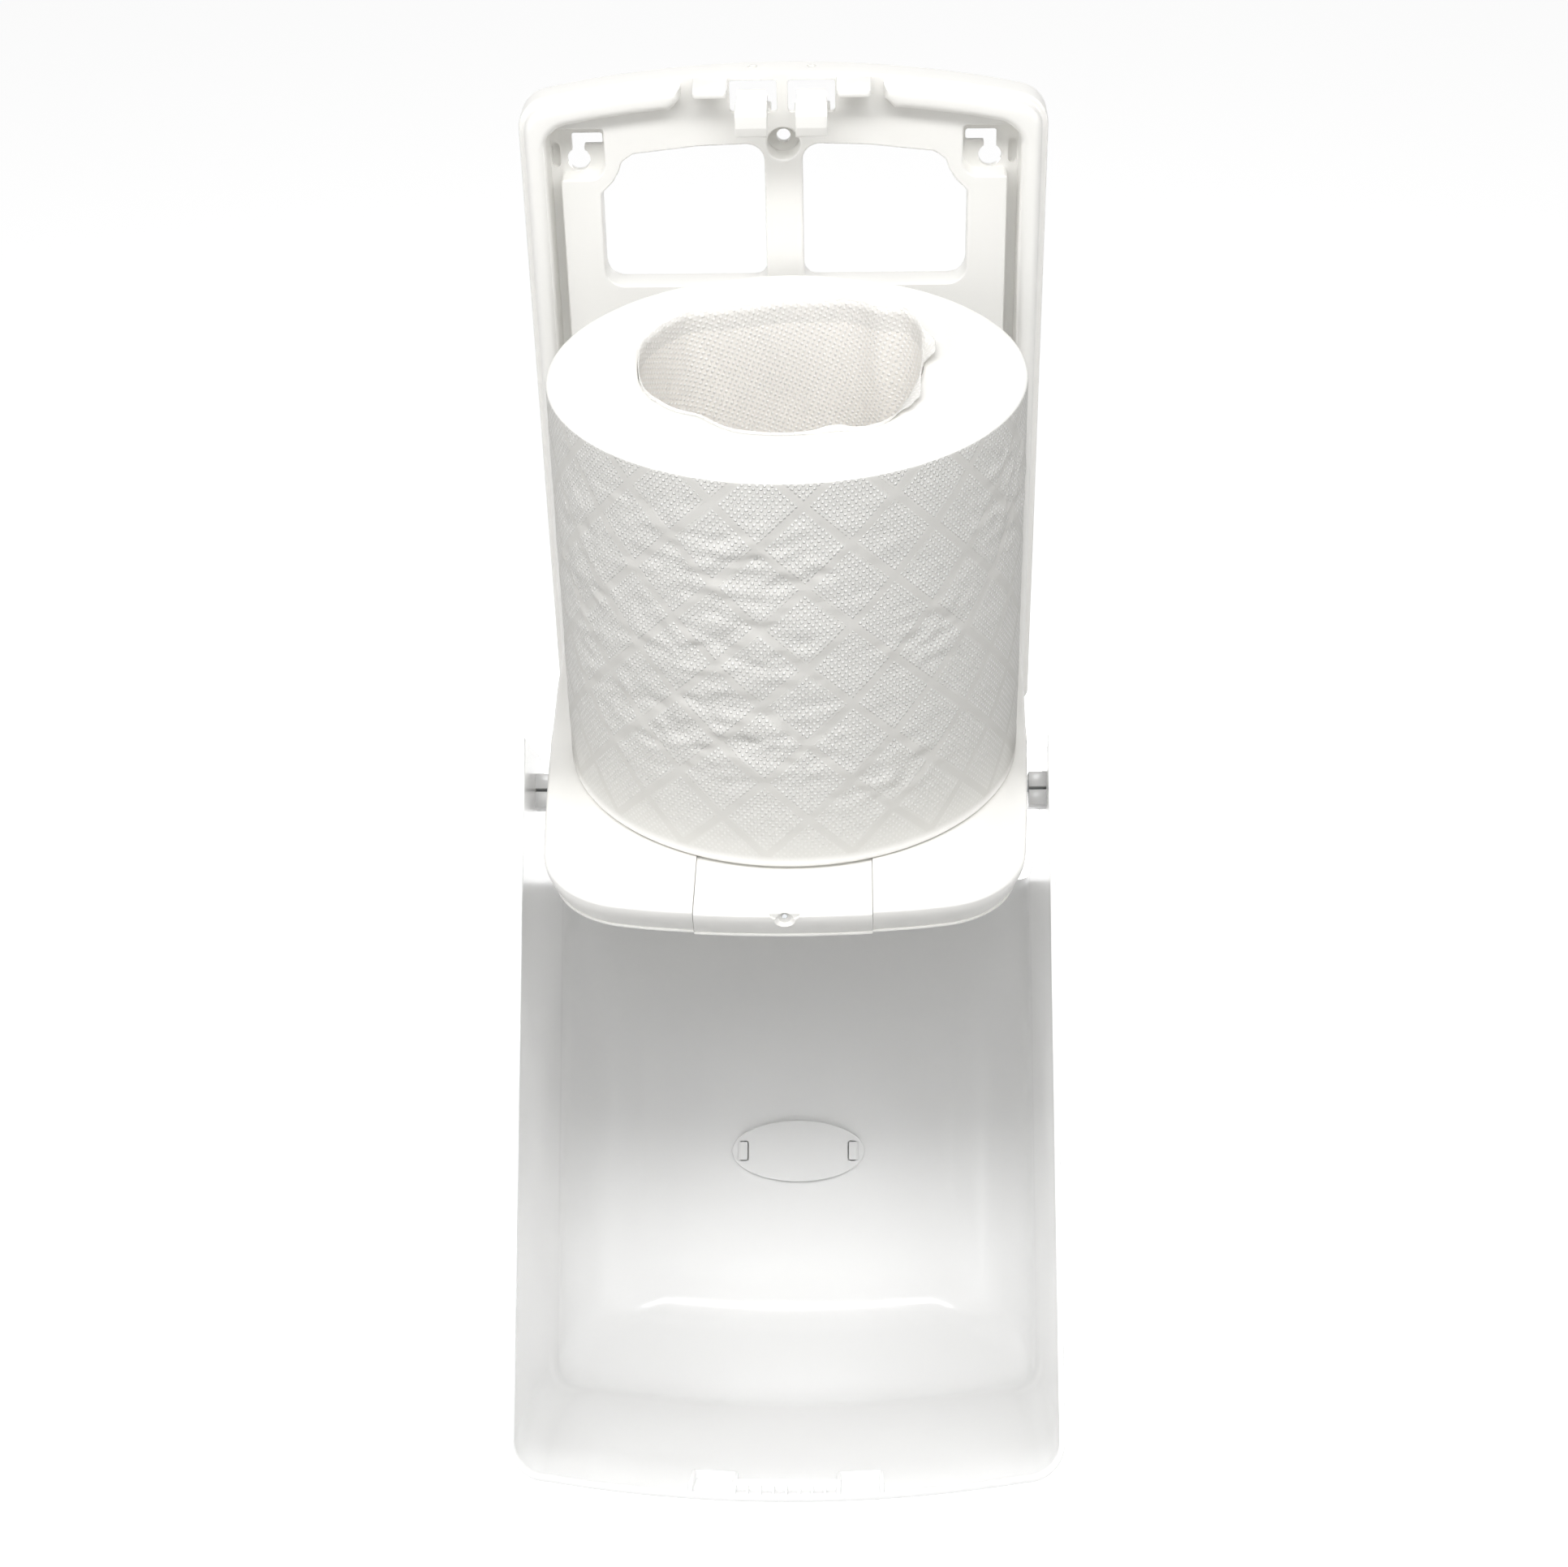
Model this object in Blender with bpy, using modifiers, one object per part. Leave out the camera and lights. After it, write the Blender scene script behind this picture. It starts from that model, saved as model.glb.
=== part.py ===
"""Centre-pull paper roll dispenser, open, with a part-used roll on its shelf.

Metres, +Z up. The origin lies on the wall face of the back plate, on the centre line, level with
the top of the shelf. +Y points into the wall, -Y at the user and +X to the user's right. The cover
is drawn in its closed place and then swung open about its hinge, which is how it is photographed.
"""
import math

import bmesh
import bpy
from mathutils import Matrix, Vector

# Driving sizes
PLATE_HALF_WIDTH = 0.1110
PLATE_CROWN = 0.2608
PLATE_BOTTOM = -0.0470
PLATE_DEPTH = 0.0130
PLATE_ARCH_RADIUS = 0.5050
PLATE_CORNER_RADIUS = 0.0140
PLATE_FOOT_RADIUS = 0.0060
WALL = 0.0025
SHELF_FRONT = 0.2455
SHELF_SIDE_SETBACK = 0.0057
SHELF_LIP = 0.0103
ROLL_RADIUS = 0.09675
ROLL_HEIGHT = 0.1750
ROLL_GAP_BEHIND = 0.0090
ROLL_X = 0.0025
COVER_SIDE_OVERHANG = 0.0011
COVER_BULGE = 0.0055
COVER_CROWN = 0.2653
COVER_ARCH_RADIUS = 0.6000
COVER_FRONT = 0.2540
COVER_OPEN_DEG = 137.0
HINGE_Y = -0.0980
HINGE_Z = -0.0385
JOINT_GAP = 0.0003
OVERRUN = 0.0020
MERGE_DISTANCE = 0.0001

# Places that follow from the driving sizes
ROLL_Y = -(PLATE_DEPTH + ROLL_GAP_BEHIND + ROLL_RADIUS)
SHELF_HALF_WIDTH_BACK = PLATE_HALF_WIDTH - SHELF_SIDE_SETBACK
COVER_HALF_WIDTH = PLATE_HALF_WIDTH + COVER_SIDE_OVERHANG
ARC_STEPS = 6
ROUND_SIDES = 32

parts = None
cutters = None


def clear_scene():
    """Empty the file and make one collection for the pieces and one for the cutting shapes."""
    global parts, cutters
    for old in list(bpy.data.objects):
        bpy.data.objects.remove(old, do_unlink=True)
    parts = bpy.data.collections.new("centre_pull_dispenser")
    cutters = bpy.data.collections.new("cutters")
    bpy.context.scene.collection.children.link(parts)
    bpy.context.scene.collection.children.link(cutters)


def plastic(name, color, roughness, metallic=0.0):
    """A Principled material in one plain colour."""
    material = bpy.data.materials.new(name)
    material.use_nodes = True
    shader = material.node_tree.nodes["Principled BSDF"]
    shader.inputs["Base Color"].default_value = (*color, 1.0)
    shader.inputs["Roughness"].default_value = roughness
    shader.inputs["Metallic"].default_value = metallic
    return material


def add_object(name, bm, cutter=False, material=None, smooth_deg=35.0):
    """Turn a bmesh into an object of the right collection, with its normals facing out."""
    bmesh.ops.recalc_face_normals(bm, faces=bm.faces)
    mesh = bpy.data.meshes.new(name)
    bm.to_mesh(mesh)
    bm.free()
    obj = bpy.data.objects.new(name, mesh)
    (cutters if cutter else parts).objects.link(obj)
    if cutter:
        obj.hide_render = True
        obj.display_type = "WIRE"
    if material:
        mesh.materials.append(material)
    mesh.shade_smooth()
    mesh.set_sharp_from_angle(angle=math.radians(smooth_deg))
    return obj


def add_box(bm, low, high):
    """Add a box between two corners to a bmesh."""
    centre = (Vector(low) + Vector(high)) / 2
    size = Vector(high) - Vector(low)
    place = Matrix.Translation(centre) @ Matrix.Diagonal((*size, 1.0))
    bmesh.ops.create_cube(bm, size=1.0, matrix=place)


def box(name, low, high, **options):
    """A box object between two corners."""
    bm = bmesh.new()
    add_box(bm, low, high)
    return add_object(name, bm, **options)


def add_rod(bm, start, end, radius, end_radius=None, sides=ROUND_SIDES):
    """Add a round rod or a cone between two points to a bmesh."""
    start = Vector(start)
    run = Vector(end) - start
    turn = Vector((0.0, 0.0, 1.0)).rotation_difference(run).to_matrix().to_4x4()
    place = Matrix.Translation(start + run / 2) @ turn
    tip = radius if end_radius is None else end_radius
    bmesh.ops.create_cone(bm, cap_ends=True, cap_tris=False, segments=sides, radius1=radius,
                          radius2=tip, depth=run.length, matrix=place)


def rod(name, start, end, radius, end_radius=None, sides=ROUND_SIDES, **options):
    """A round rod or cone object between two points."""
    bm = bmesh.new()
    add_rod(bm, start, end, radius, end_radius, sides)
    return add_object(name, bm, **options)


def add_prism(bm, outline, axis, low, high, top_weight=False):
    """Add a flat outline pushed along an axis. The outline's two numbers are the other two axes."""
    order = {"X": (1, 2, 0), "Y": (0, 2, 1), "Z": (0, 1, 2)}[axis]

    def place(point, along):
        xyz = [0.0, 0.0, 0.0]
        xyz[order[0]], xyz[order[1]], xyz[order[2]] = point[0], point[1], along
        return xyz

    base = bm.faces.new([bm.verts.new(place(point, low)) for point in outline])
    pushed = bmesh.ops.extrude_face_region(bm, geom=[base])["geom"]
    moved = [item for item in pushed if isinstance(item, bmesh.types.BMVert)]
    step = [0.0, 0.0, 0.0]
    step[order[2]] = high - low
    bmesh.ops.translate(bm, verts=moved, vec=step)
    if top_weight:
        layer = bm.edges.layers.float.new("bevel_weight_edge")
        moved = set(moved)
        for edge in bm.edges:
            if edge.verts[0] in moved and edge.verts[1] in moved:
                edge[layer] = 1.0


def prism(name, outline, axis, low, high, top_weight=False, **options):
    """An object made of a flat outline pushed along an axis."""
    bm = bmesh.new()
    add_prism(bm, outline, axis, low, high, top_weight)
    return add_object(name, bm, **options)


def rounded(points, radii, steps=ARC_STEPS):
    """A closed outline with an arc of its own radius at each corner."""
    result = []
    count = len(points)
    for i, corner in enumerate(points):
        radius = radii[i] if isinstance(radii, (list, tuple)) else radii
        corner = Vector(corner)
        if radius <= 0.0:
            result.append(corner)
            continue
        before = (Vector(points[i - 1]) - corner).normalized()
        after = (Vector(points[(i + 1) % count]) - corner).normalized()
        half = before.angle(after) / 2
        reach = radius / math.tan(half)
        centre = corner + (before + after).normalized() * (radius / math.sin(half))
        start = corner + before * reach - centre
        sweep = start.angle_signed(corner + after * reach - centre)
        for k in range(steps + 1):
            angle = -sweep * k / steps
            result.append(centre + Matrix.Rotation(angle, 2) @ start)
    return [tuple(point) for point in result]


def arched_outline(half_width, crown, bottom, arch_radius, corner_radius, foot_radius, steps=8):
    """Plate outline: straight sides, an arched top and round corners, from below left round."""
    centre_z = crown - arch_radius
    corner_x = half_width - corner_radius
    reach = arch_radius - corner_radius
    corner_z = centre_z + math.sqrt(reach ** 2 - corner_x ** 2)
    arch_angle = math.asin(corner_x / reach)
    right = []
    for k in range(steps + 1):
        angle = math.pi / 2 * k / steps
        foot = (half_width - foot_radius + foot_radius * math.sin(angle),
                bottom + foot_radius - foot_radius * math.cos(angle))
        right.append(foot)
    for k in range(steps + 1):
        angle = (math.pi / 2 - arch_angle) * k / steps
        right.append((corner_x + corner_radius * math.cos(angle),
                      corner_z + corner_radius * math.sin(angle)))
    for k in range(1, steps):
        angle = arch_angle * (1 - k / steps)
        right.append((arch_radius * math.sin(angle), centre_z + arch_radius * math.cos(angle)))
    left = [(-x, z) for x, z in reversed(right)]
    return right + [(0.0, crown)] + left


def arch_height(x, crown, arch_radius):
    """Height of an arched edge at a distance from the centre line."""
    return crown - arch_radius + math.sqrt(arch_radius ** 2 - x ** 2)


def combine(target, tool, operation):
    """Cut a tool out of a piece, or join it on, with an exact Boolean."""
    modifier = target.modifiers.new(f"{operation.lower()}_{tool.name}", "BOOLEAN")
    modifier.operation = operation
    modifier.solver = "EXACT"
    modifier.object = tool


def bevel(obj, width, segments=2, limit="ANGLE", angle_deg=50.0):
    """Round a piece's sharp edges."""
    modifier = obj.modifiers.new("rounded_edges", "BEVEL")
    modifier.width = width
    modifier.segments = segments
    modifier.limit_method = limit
    modifier.angle_limit = math.radians(angle_deg)


def hinge_frame(name, place, open_deg, members):
    """Hang pieces and their tools on an empty that stands on their joint's axis."""
    empty = bpy.data.objects.new(name, None)
    parts.objects.link(empty)
    empty.location = place
    empty.rotation_euler = (math.radians(open_deg), 0.0, 0.0)
    for member in members:
        member.parent = empty
        member.matrix_parent_inverse = Matrix.Translation(-Vector(place))


# Back plate: a shallow moulded tray, open at the wall side
BEAD_INSET = 0.0026
BEAD_WIDTH = 0.0090
BEAD_HEIGHT = 0.0075
BEAD_ROUND = 0.0034
BEAD_END_X = 0.0422
BEAD_END_CHAMFER = 0.0045
BEAD_END_Z = -0.0300
RECESS_FLOOR = 0.0030
RECESS_WIDTH = 0.0239
RECESS_SILL_Z = 0.2148
RECESS_HEIGHT = 0.0222
RECESS_ROUND = 0.0070
GROOVE_WIDTH = 0.0049
GROOVE_BOTTOM_Z = 0.0060
WINDOW_INNER_X = 0.0080
WINDOW_BEAD_GAP = 0.0216
WINDOW_SILL_Z = 0.1665
WINDOW_HEIGHT = 0.0634
WINDOW_SHARES = [(0.0, 0.0), (1.0, 0.0), (1.0, 0.658), (0.924, 0.741), (0.881, 0.820),
                 (0.866, 0.880), (0.796, 0.935), (0.400, 0.985), (0.0, 1.0)]
WINDOW_ROUNDS = [0.0055, 0.0080, 0.0030, 0.0030, 0.0060, 0.0040, 0.0040, 0.0300, 0.0075]
WINDOW_WALL = 0.0020
CUTOUT_INNER_X = 0.0023
CUTOUT_OUTER_X = 0.0220
CUTOUT_BOTTOM_Z = 0.2436
CUTOUT_ROUND = 0.0012
KEYHOLE_INSET = 0.0121
KEYHOLE_RISE = 0.0052
KEYHOLE_RADIUS = 0.0051
KEY_SLOT = 0.0053
KEY_SLOT_RISE = 0.0093
KEY_SLOT_REACH = 0.0105
SIDE_SLOT_INSET = 0.0024
SIDE_SLOT_RISE = 0.0022
SIDE_SLOT_LENGTH = 0.0105
SIDE_SLOT_WIDTH = 0.0036
SCREW_Z = 0.2298
SCREW_HOLE_RADIUS = 0.0030
SCREW_WELL_RADIUS = 0.0058
SCREW_WELL_FLARE = 0.0012
SCREW_BOSS_WALL = 0.0020
PRONG_X = 0.0124
PRONG_Y = -0.0054
PRONG_RADIUS = 0.0020
GUIDE_CENTRE_X = 0.02975
GUIDE_WIDTH = 0.0145
GUIDE_LENGTH = 0.0142
GUIDE_ROOT_Z = 0.2590
GUIDE_DROP = 0.0022
GUIDE_THICKNESS = 0.0028
BEAD_INNER_X = PLATE_HALF_WIDTH - BEAD_INSET - BEAD_WIDTH
RECESS_INNER_X = BEAD_INNER_X - RECESS_WIDTH
GROOVE_INNER_X = BEAD_INNER_X - GROOVE_WIDTH
WINDOW_WIDTH = BEAD_INNER_X - WINDOW_BEAD_GAP - WINDOW_INNER_X
KEYHOLE_X = BEAD_INNER_X - KEYHOLE_INSET
KEY_SLOT_END_X = KEYHOLE_X - KEY_SLOT_REACH
SIDE_SLOT_X = BEAD_INNER_X - SIDE_SLOT_INSET
KEYHOLE_Z = RECESS_SILL_Z + KEYHOLE_RISE
KEY_SLOT_Z = KEYHOLE_Z + KEY_SLOT_RISE
SIDE_SLOT_LOW_Z = RECESS_SILL_Z + SIDE_SLOT_RISE
PAD_HALF_WIDTH = 0.0200
PAD_HALF_HEIGHT = 0.0300
HOOK_SLOT_X = 0.0600
HOOK_WIDTH = 0.0200
HOOK_THICKNESS = 0.0024
HOOK_Z = -0.0200
HOOK_RISE = 0.0060
LATCH_PIVOT_Z = 0.2465
LATCH_BARREL_RADIUS = 0.0022
LATCH_BLOCK_TOP_Z = LATCH_PIVOT_Z - LATCH_BARREL_RADIUS - JOINT_GAP
LATCH_BLOCK_HEIGHT = 0.0060
LATCH_BLOCK_HALF = 0.0075


def mirrored(outline):
    """The same outline on the other side of the centre line."""
    return [(-x, z) for x, z in reversed(outline)]


def window_outline(grow=0.0):
    """One window, as shares of its width and height, grown or shrunk for its return wall."""
    low = Vector((WINDOW_INNER_X - grow, WINDOW_SILL_Z - grow))
    size = Vector((WINDOW_WIDTH + 2 * grow, WINDOW_HEIGHT + 2 * grow))
    corners = [(low.x + a * size.x, low.y + b * size.y) for a, b in WINDOW_SHARES]
    return rounded(corners, [radius + grow for radius in WINDOW_ROUNDS], steps=3)


def recess_outline(grow=0.0):
    """The deep corner pocket round a keyhole, with the groove that runs down beside the bead."""
    inner = RECESS_INNER_X - grow
    outer = BEAD_INNER_X + grow
    top = RECESS_SILL_Z + RECESS_HEIGHT + grow
    corners = [(inner, top), (inner, RECESS_SILL_Z - grow),
               (GROOVE_INNER_X - grow, RECESS_SILL_Z - grow),
               (GROOVE_INNER_X - grow, GROOVE_BOTTOM_Z - grow), (outer, GROOVE_BOTTOM_Z - grow),
               (outer, top)]
    small = RECESS_ROUND / 4
    radii = [small, RECESS_ROUND, 0.0, 0.0, small, RECESS_ROUND / 2]
    return rounded(corners, radii, steps=4)


def bead_outline():
    """The raised rim of one side, from its chamfered top end round the corner and down."""
    outer = arched_outline(PLATE_HALF_WIDTH - BEAD_INSET, PLATE_CROWN - BEAD_INSET, BEAD_END_Z,
                           PLATE_ARCH_RADIUS - BEAD_INSET, PLATE_CORNER_RADIUS - BEAD_INSET, 0.0)
    inset = BEAD_INSET + BEAD_WIDTH
    inner = arched_outline(PLATE_HALF_WIDTH - inset, PLATE_CROWN - inset, BEAD_END_Z,
                           PLATE_ARCH_RADIUS - inset, PLATE_CORNER_RADIUS - BEAD_INSET, 0.0)
    reach = BEAD_END_X + BEAD_END_CHAMFER
    outside = [point for point in outer if point[0] > reach and point[1] > BEAD_END_Z]
    inside = [point for point in inner if point[0] > reach and point[1] > BEAD_END_Z]
    outer_top = arch_height(BEAD_END_X, PLATE_CROWN - BEAD_INSET, PLATE_ARCH_RADIUS - BEAD_INSET)
    inner_top = arch_height(reach, PLATE_CROWN - inset, PLATE_ARCH_RADIUS - inset)
    tail = [(PLATE_HALF_WIDTH - inset, BEAD_END_Z), (PLATE_HALF_WIDTH - BEAD_INSET, BEAD_END_Z)]
    end = [(BEAD_END_X, outer_top), (BEAD_END_X, inner_top + BEAD_END_CHAMFER), (reach, inner_top)]
    return tail + outside + end + list(reversed(inside))


def guide_outline():
    """Side view of a guide tongue: it slopes down a little along the cover's closing path."""
    root = -(PLATE_DEPTH - WALL / 2)
    tip = root - GUIDE_LENGTH
    return [(root, GUIDE_ROOT_Z), (tip, GUIDE_ROOT_Z - GUIDE_DROP),
            (tip, GUIDE_ROOT_Z - GUIDE_DROP - GUIDE_THICKNESS),
            (root, GUIDE_ROOT_Z - GUIDE_THICKNESS - GUIDE_DROP / 2)]


def make_back_plate(white):
    outline = arched_outline(PLATE_HALF_WIDTH, PLATE_CROWN, PLATE_BOTTOM, PLATE_ARCH_RADIUS,
                             PLATE_CORNER_RADIUS, PLATE_FOOT_RADIUS)
    plate = prism("back_plate", outline, "Y", -PLATE_DEPTH, 0.0, material=white)

    hollow_outline = arched_outline(PLATE_HALF_WIDTH - WALL, PLATE_CROWN - WALL,
                                    PLATE_BOTTOM + WALL, PLATE_ARCH_RADIUS - WALL,
                                    PLATE_CORNER_RADIUS - WALL, PLATE_FOOT_RADIUS - WALL)
    hollow = prism("plate_hollow", hollow_outline, "Y", -(PLATE_DEPTH - WALL), OVERRUN, cutter=True)
    for outline_of in (window_outline, recess_outline):
        keep = bmesh.new()
        shape = outline_of(WINDOW_WALL)
        for side in (shape, mirrored(shape)):
            add_prism(keep, side, "Y", -PLATE_DEPTH, 2 * OVERRUN)
        kept = add_object(f"plate_kept_{outline_of.__name__}", keep, cutter=True)
        combine(hollow, kept, "DIFFERENCE")
    boss = bmesh.new()
    add_rod(boss, (0.0, -PLATE_DEPTH, SCREW_Z), (0.0, 2 * OVERRUN, SCREW_Z),
            SCREW_WELL_RADIUS + SCREW_BOSS_WALL)
    combine(hollow, add_object("plate_kept_boss", boss, cutter=True), "DIFFERENCE")
    solid = bmesh.new()
    add_box(solid, (-PAD_HALF_WIDTH, -PLATE_DEPTH, -PAD_HALF_HEIGHT),
            (PAD_HALF_WIDTH, 2 * OVERRUN, PAD_HALF_HEIGHT))
    for side in (-1, 1):
        add_box(solid, (side * PRONG_X - LATCH_BLOCK_HALF, -PLATE_DEPTH,
                        LATCH_BLOCK_TOP_Z - LATCH_BLOCK_HEIGHT),
                (side * PRONG_X + LATCH_BLOCK_HALF, 2 * OVERRUN, LATCH_BLOCK_TOP_Z))
    combine(hollow, add_object("plate_kept_pads", solid, cutter=True), "DIFFERENCE")
    combine(plate, hollow, "DIFFERENCE")

    beads = bmesh.new()
    for side in (bead_outline(), mirrored(bead_outline())):
        add_prism(beads, side, "Y", -(PLATE_DEPTH + BEAD_HEIGHT), -(PLATE_DEPTH - WALL / 2))
    bead = add_object("plate_beads", beads, cutter=True)
    bevel(bead, BEAD_ROUND, segments=3)
    combine(plate, bead, "UNION")

    guides = bmesh.new()
    for side in (-1, 1):
        add_prism(guides, guide_outline(), "X", side * GUIDE_CENTRE_X - GUIDE_WIDTH / 2,
                  side * GUIDE_CENTRE_X + GUIDE_WIDTH / 2)
    guide = add_object("plate_guides", guides, cutter=True)
    bevel(guide, GUIDE_THICKNESS / 4)
    combine(plate, guide, "UNION")

    recess = bmesh.new()
    for side in (recess_outline(), mirrored(recess_outline())):
        add_prism(recess, side, "Y", -(PLATE_DEPTH + OVERRUN), -RECESS_FLOOR)
    combine(plate, add_object("plate_recesses", recess, cutter=True), "DIFFERENCE")

    holes = bmesh.new()
    front = -(PLATE_DEPTH + BEAD_HEIGHT + OVERRUN)
    for side in (window_outline(), mirrored(window_outline())):
        add_prism(holes, side, "Y", front, OVERRUN)
    cutout_top = PLATE_CROWN - WALL
    latch_gap = [(CUTOUT_INNER_X, CUTOUT_BOTTOM_Z), (CUTOUT_OUTER_X, CUTOUT_BOTTOM_Z),
                 (CUTOUT_OUTER_X, cutout_top), (CUTOUT_INNER_X, cutout_top)]
    latch_gap = rounded(latch_gap, CUTOUT_ROUND, steps=2)
    for side in (latch_gap, mirrored(latch_gap)):
        add_prism(holes, side, "Y", front, -(PLATE_DEPTH - WALL - OVERRUN))
    combine(plate, add_object("plate_openings", holes, cutter=True), "DIFFERENCE")

    keyholes = bmesh.new()
    for side in (-1, 1):
        add_rod(keyholes, (side * KEYHOLE_X, -(RECESS_FLOOR + OVERRUN), KEYHOLE_Z),
                (side * KEYHOLE_X, OVERRUN, KEYHOLE_Z), KEYHOLE_RADIUS, sides=24)
    combine(plate, add_object("plate_keyholes", keyholes, cutter=True), "DIFFERENCE")
    slots = bmesh.new()
    for side in (-1, 1):
        outer_x = KEYHOLE_X + KEY_SLOT / 2
        inner_x = KEYHOLE_X - KEY_SLOT / 2
        top_z = KEY_SLOT_Z + KEY_SLOT / 2
        low_z = KEY_SLOT_Z - KEY_SLOT / 2
        shape = [(inner_x, KEYHOLE_Z), (outer_x, KEYHOLE_Z), (outer_x, top_z),
                 (KEY_SLOT_END_X, top_z), (KEY_SLOT_END_X, low_z), (inner_x, low_z)]
        shape = shape if side > 0 else mirrored(shape)
        add_prism(slots, shape, "Y", -(RECESS_FLOOR + OVERRUN), OVERRUN)
        edge = SIDE_SLOT_WIDTH / 2
        oblong = [(SIDE_SLOT_X - edge, SIDE_SLOT_LOW_Z), (SIDE_SLOT_X + edge, SIDE_SLOT_LOW_Z),
                  (SIDE_SLOT_X + edge, SIDE_SLOT_LOW_Z + SIDE_SLOT_LENGTH),
                  (SIDE_SLOT_X - edge, SIDE_SLOT_LOW_Z + SIDE_SLOT_LENGTH)]
        oblong = rounded(oblong, edge * 0.9, steps=3)
        oblong = oblong if side > 0 else mirrored(oblong)
        add_prism(slots, oblong, "Y", -(RECESS_FLOOR + OVERRUN), OVERRUN)
    combine(plate, add_object("plate_slots", slots, cutter=True), "DIFFERENCE")

    well = bmesh.new()
    add_rod(well, (0.0, -RECESS_FLOOR, SCREW_Z), (0.0, -(PLATE_DEPTH + OVERRUN), SCREW_Z),
            SCREW_WELL_RADIUS, SCREW_WELL_RADIUS + SCREW_WELL_FLARE)
    combine(plate, add_object("plate_screw_well", well, cutter=True), "DIFFERENCE")
    rounds = bmesh.new()
    add_rod(rounds, (0.0, -PLATE_DEPTH, SCREW_Z), (0.0, OVERRUN, SCREW_Z), SCREW_HOLE_RADIUS)
    for side in (-1, 1):
        add_rod(rounds, (side * PRONG_X, PRONG_Y, PLATE_CROWN - WALL - OVERRUN),
                (side * PRONG_X, PRONG_Y, PLATE_CROWN + OVERRUN), PRONG_RADIUS, sides=16)
    combine(plate, add_object("plate_round_holes", rounds, cutter=True), "DIFFERENCE")

    hook_slots = bmesh.new()
    for side in (-1, 1):
        add_box(hook_slots, (side * HOOK_SLOT_X - HOOK_WIDTH / 2 - JOINT_GAP,
                             -(PLATE_DEPTH + OVERRUN), HOOK_Z - JOINT_GAP),
                (side * HOOK_SLOT_X + HOOK_WIDTH / 2 + JOINT_GAP, -(PLATE_DEPTH - WALL - OVERRUN),
                 HOOK_Z + HOOK_THICKNESS + HOOK_RISE + JOINT_GAP))
    combine(plate, add_object("plate_hook_slots", hook_slots, cutter=True), "DIFFERENCE")
    return plate


# Shelf: the tray that carries the roll, with two cheeks below it for the cover's hinge
SHELF_THICKNESS = 0.0025
SHELF_TOP_ROUND = 0.0012
SHELF_CORNER_RADIUS = 0.0400
SHELF_SIDE_SHARES = [(0.0, 1.0), (0.266, 0.9935), (0.528, 0.9755), (0.696, 0.9555),
                     (0.948, 0.9140)]
SHELF_BOW = 0.0110
CHEEK_SETBACK = 0.0015
CHEEK_OUTER_X = SHELF_HALF_WIDTH_BACK - CHEEK_SETBACK
CHEEK_THICKNESS = 0.0025
CHEEK_FRONT_Y = -0.1180
CHEEK_ROUND = 0.0075
BACK_WALL_BOTTOM_Z = -0.0455
HINGE_BOSS_RADIUS = 0.0062
HINGE_BOSS_LENGTH = 0.0060
PIN_RADIUS = 0.0026
PIN_HEAD_RADIUS = 0.0042
PIN_HEAD_LENGTH = 0.0018
INSERT_HALF_WIDTH = 0.0356
INSERT_BACK_Y = -0.0640
RUNNER_GAP = 0.0034
RUNNER_LEDGE = 0.0055
RUNNER_WALL = 0.0020
RUNNER_THICKNESS = 0.0020
CROSSBAR_FRONT = 0.0080
CROSSBAR_DEPTH = 0.0060
INSERT_SCREW_Z = -0.0038
SCREW_SHANK_RADIUS = 0.0012
SCREW_SHANK_LENGTH = 0.0108
SCREW_HEAD_RADIUS = 0.0029
SCREW_HEAD_LENGTH = 0.0017
SCREW_RECESS_RADIUS = 0.0044
SCREW_RECESS_DEPTH = 0.0030


def shelf_outline(inset=0.0):
    """Plan of the shelf: sides that draw in towards the front, round corners and a bowed front."""
    back = -(PLATE_DEPTH + JOINT_GAP) - inset
    depth = SHELF_FRONT - PLATE_DEPTH
    half = SHELF_HALF_WIDTH_BACK
    side = [(half * b - inset, back - a * depth) for a, b in SHELF_SIDE_SHARES]
    side[-1] = (side[-1][0], -SHELF_FRONT + SHELF_BOW + inset)
    front = []
    for k in (2, 1):
        x = side[-1][0] * k / 4
        front.append((x, -SHELF_FRONT + inset + SHELF_BOW * (k / 4) ** 2))
    right = side + front
    points = right + [(0.0, -SHELF_FRONT + inset)] + [(-x, y) for x, y in reversed(right)]
    radii = [0.0] * len(points)
    corner = len(side) - 1
    radii[corner] = SHELF_CORNER_RADIUS - inset
    radii[len(points) - 1 - corner] = SHELF_CORNER_RADIUS - inset
    return rounded(points, radii, steps=8)


def cheek_outline():
    """Side view of a cheek under the shelf, from the plate forward round the hinge."""
    back = -(PLATE_DEPTH + JOINT_GAP)
    low = HINGE_Z - CHEEK_ROUND
    points = [(back, -SHELF_THICKNESS / 2), (back, BACK_WALL_BOTTOM_Z), (HINGE_Y, low),
              (HINGE_Y - CHEEK_ROUND, low), (CHEEK_FRONT_Y, -SHELF_LIP),
              (CHEEK_FRONT_Y, -SHELF_THICKNESS / 2)]
    return rounded(points, [0.0, 0.0, 0.0, CHEEK_ROUND * 0.8, 0.0, 0.0], steps=4)


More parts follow.
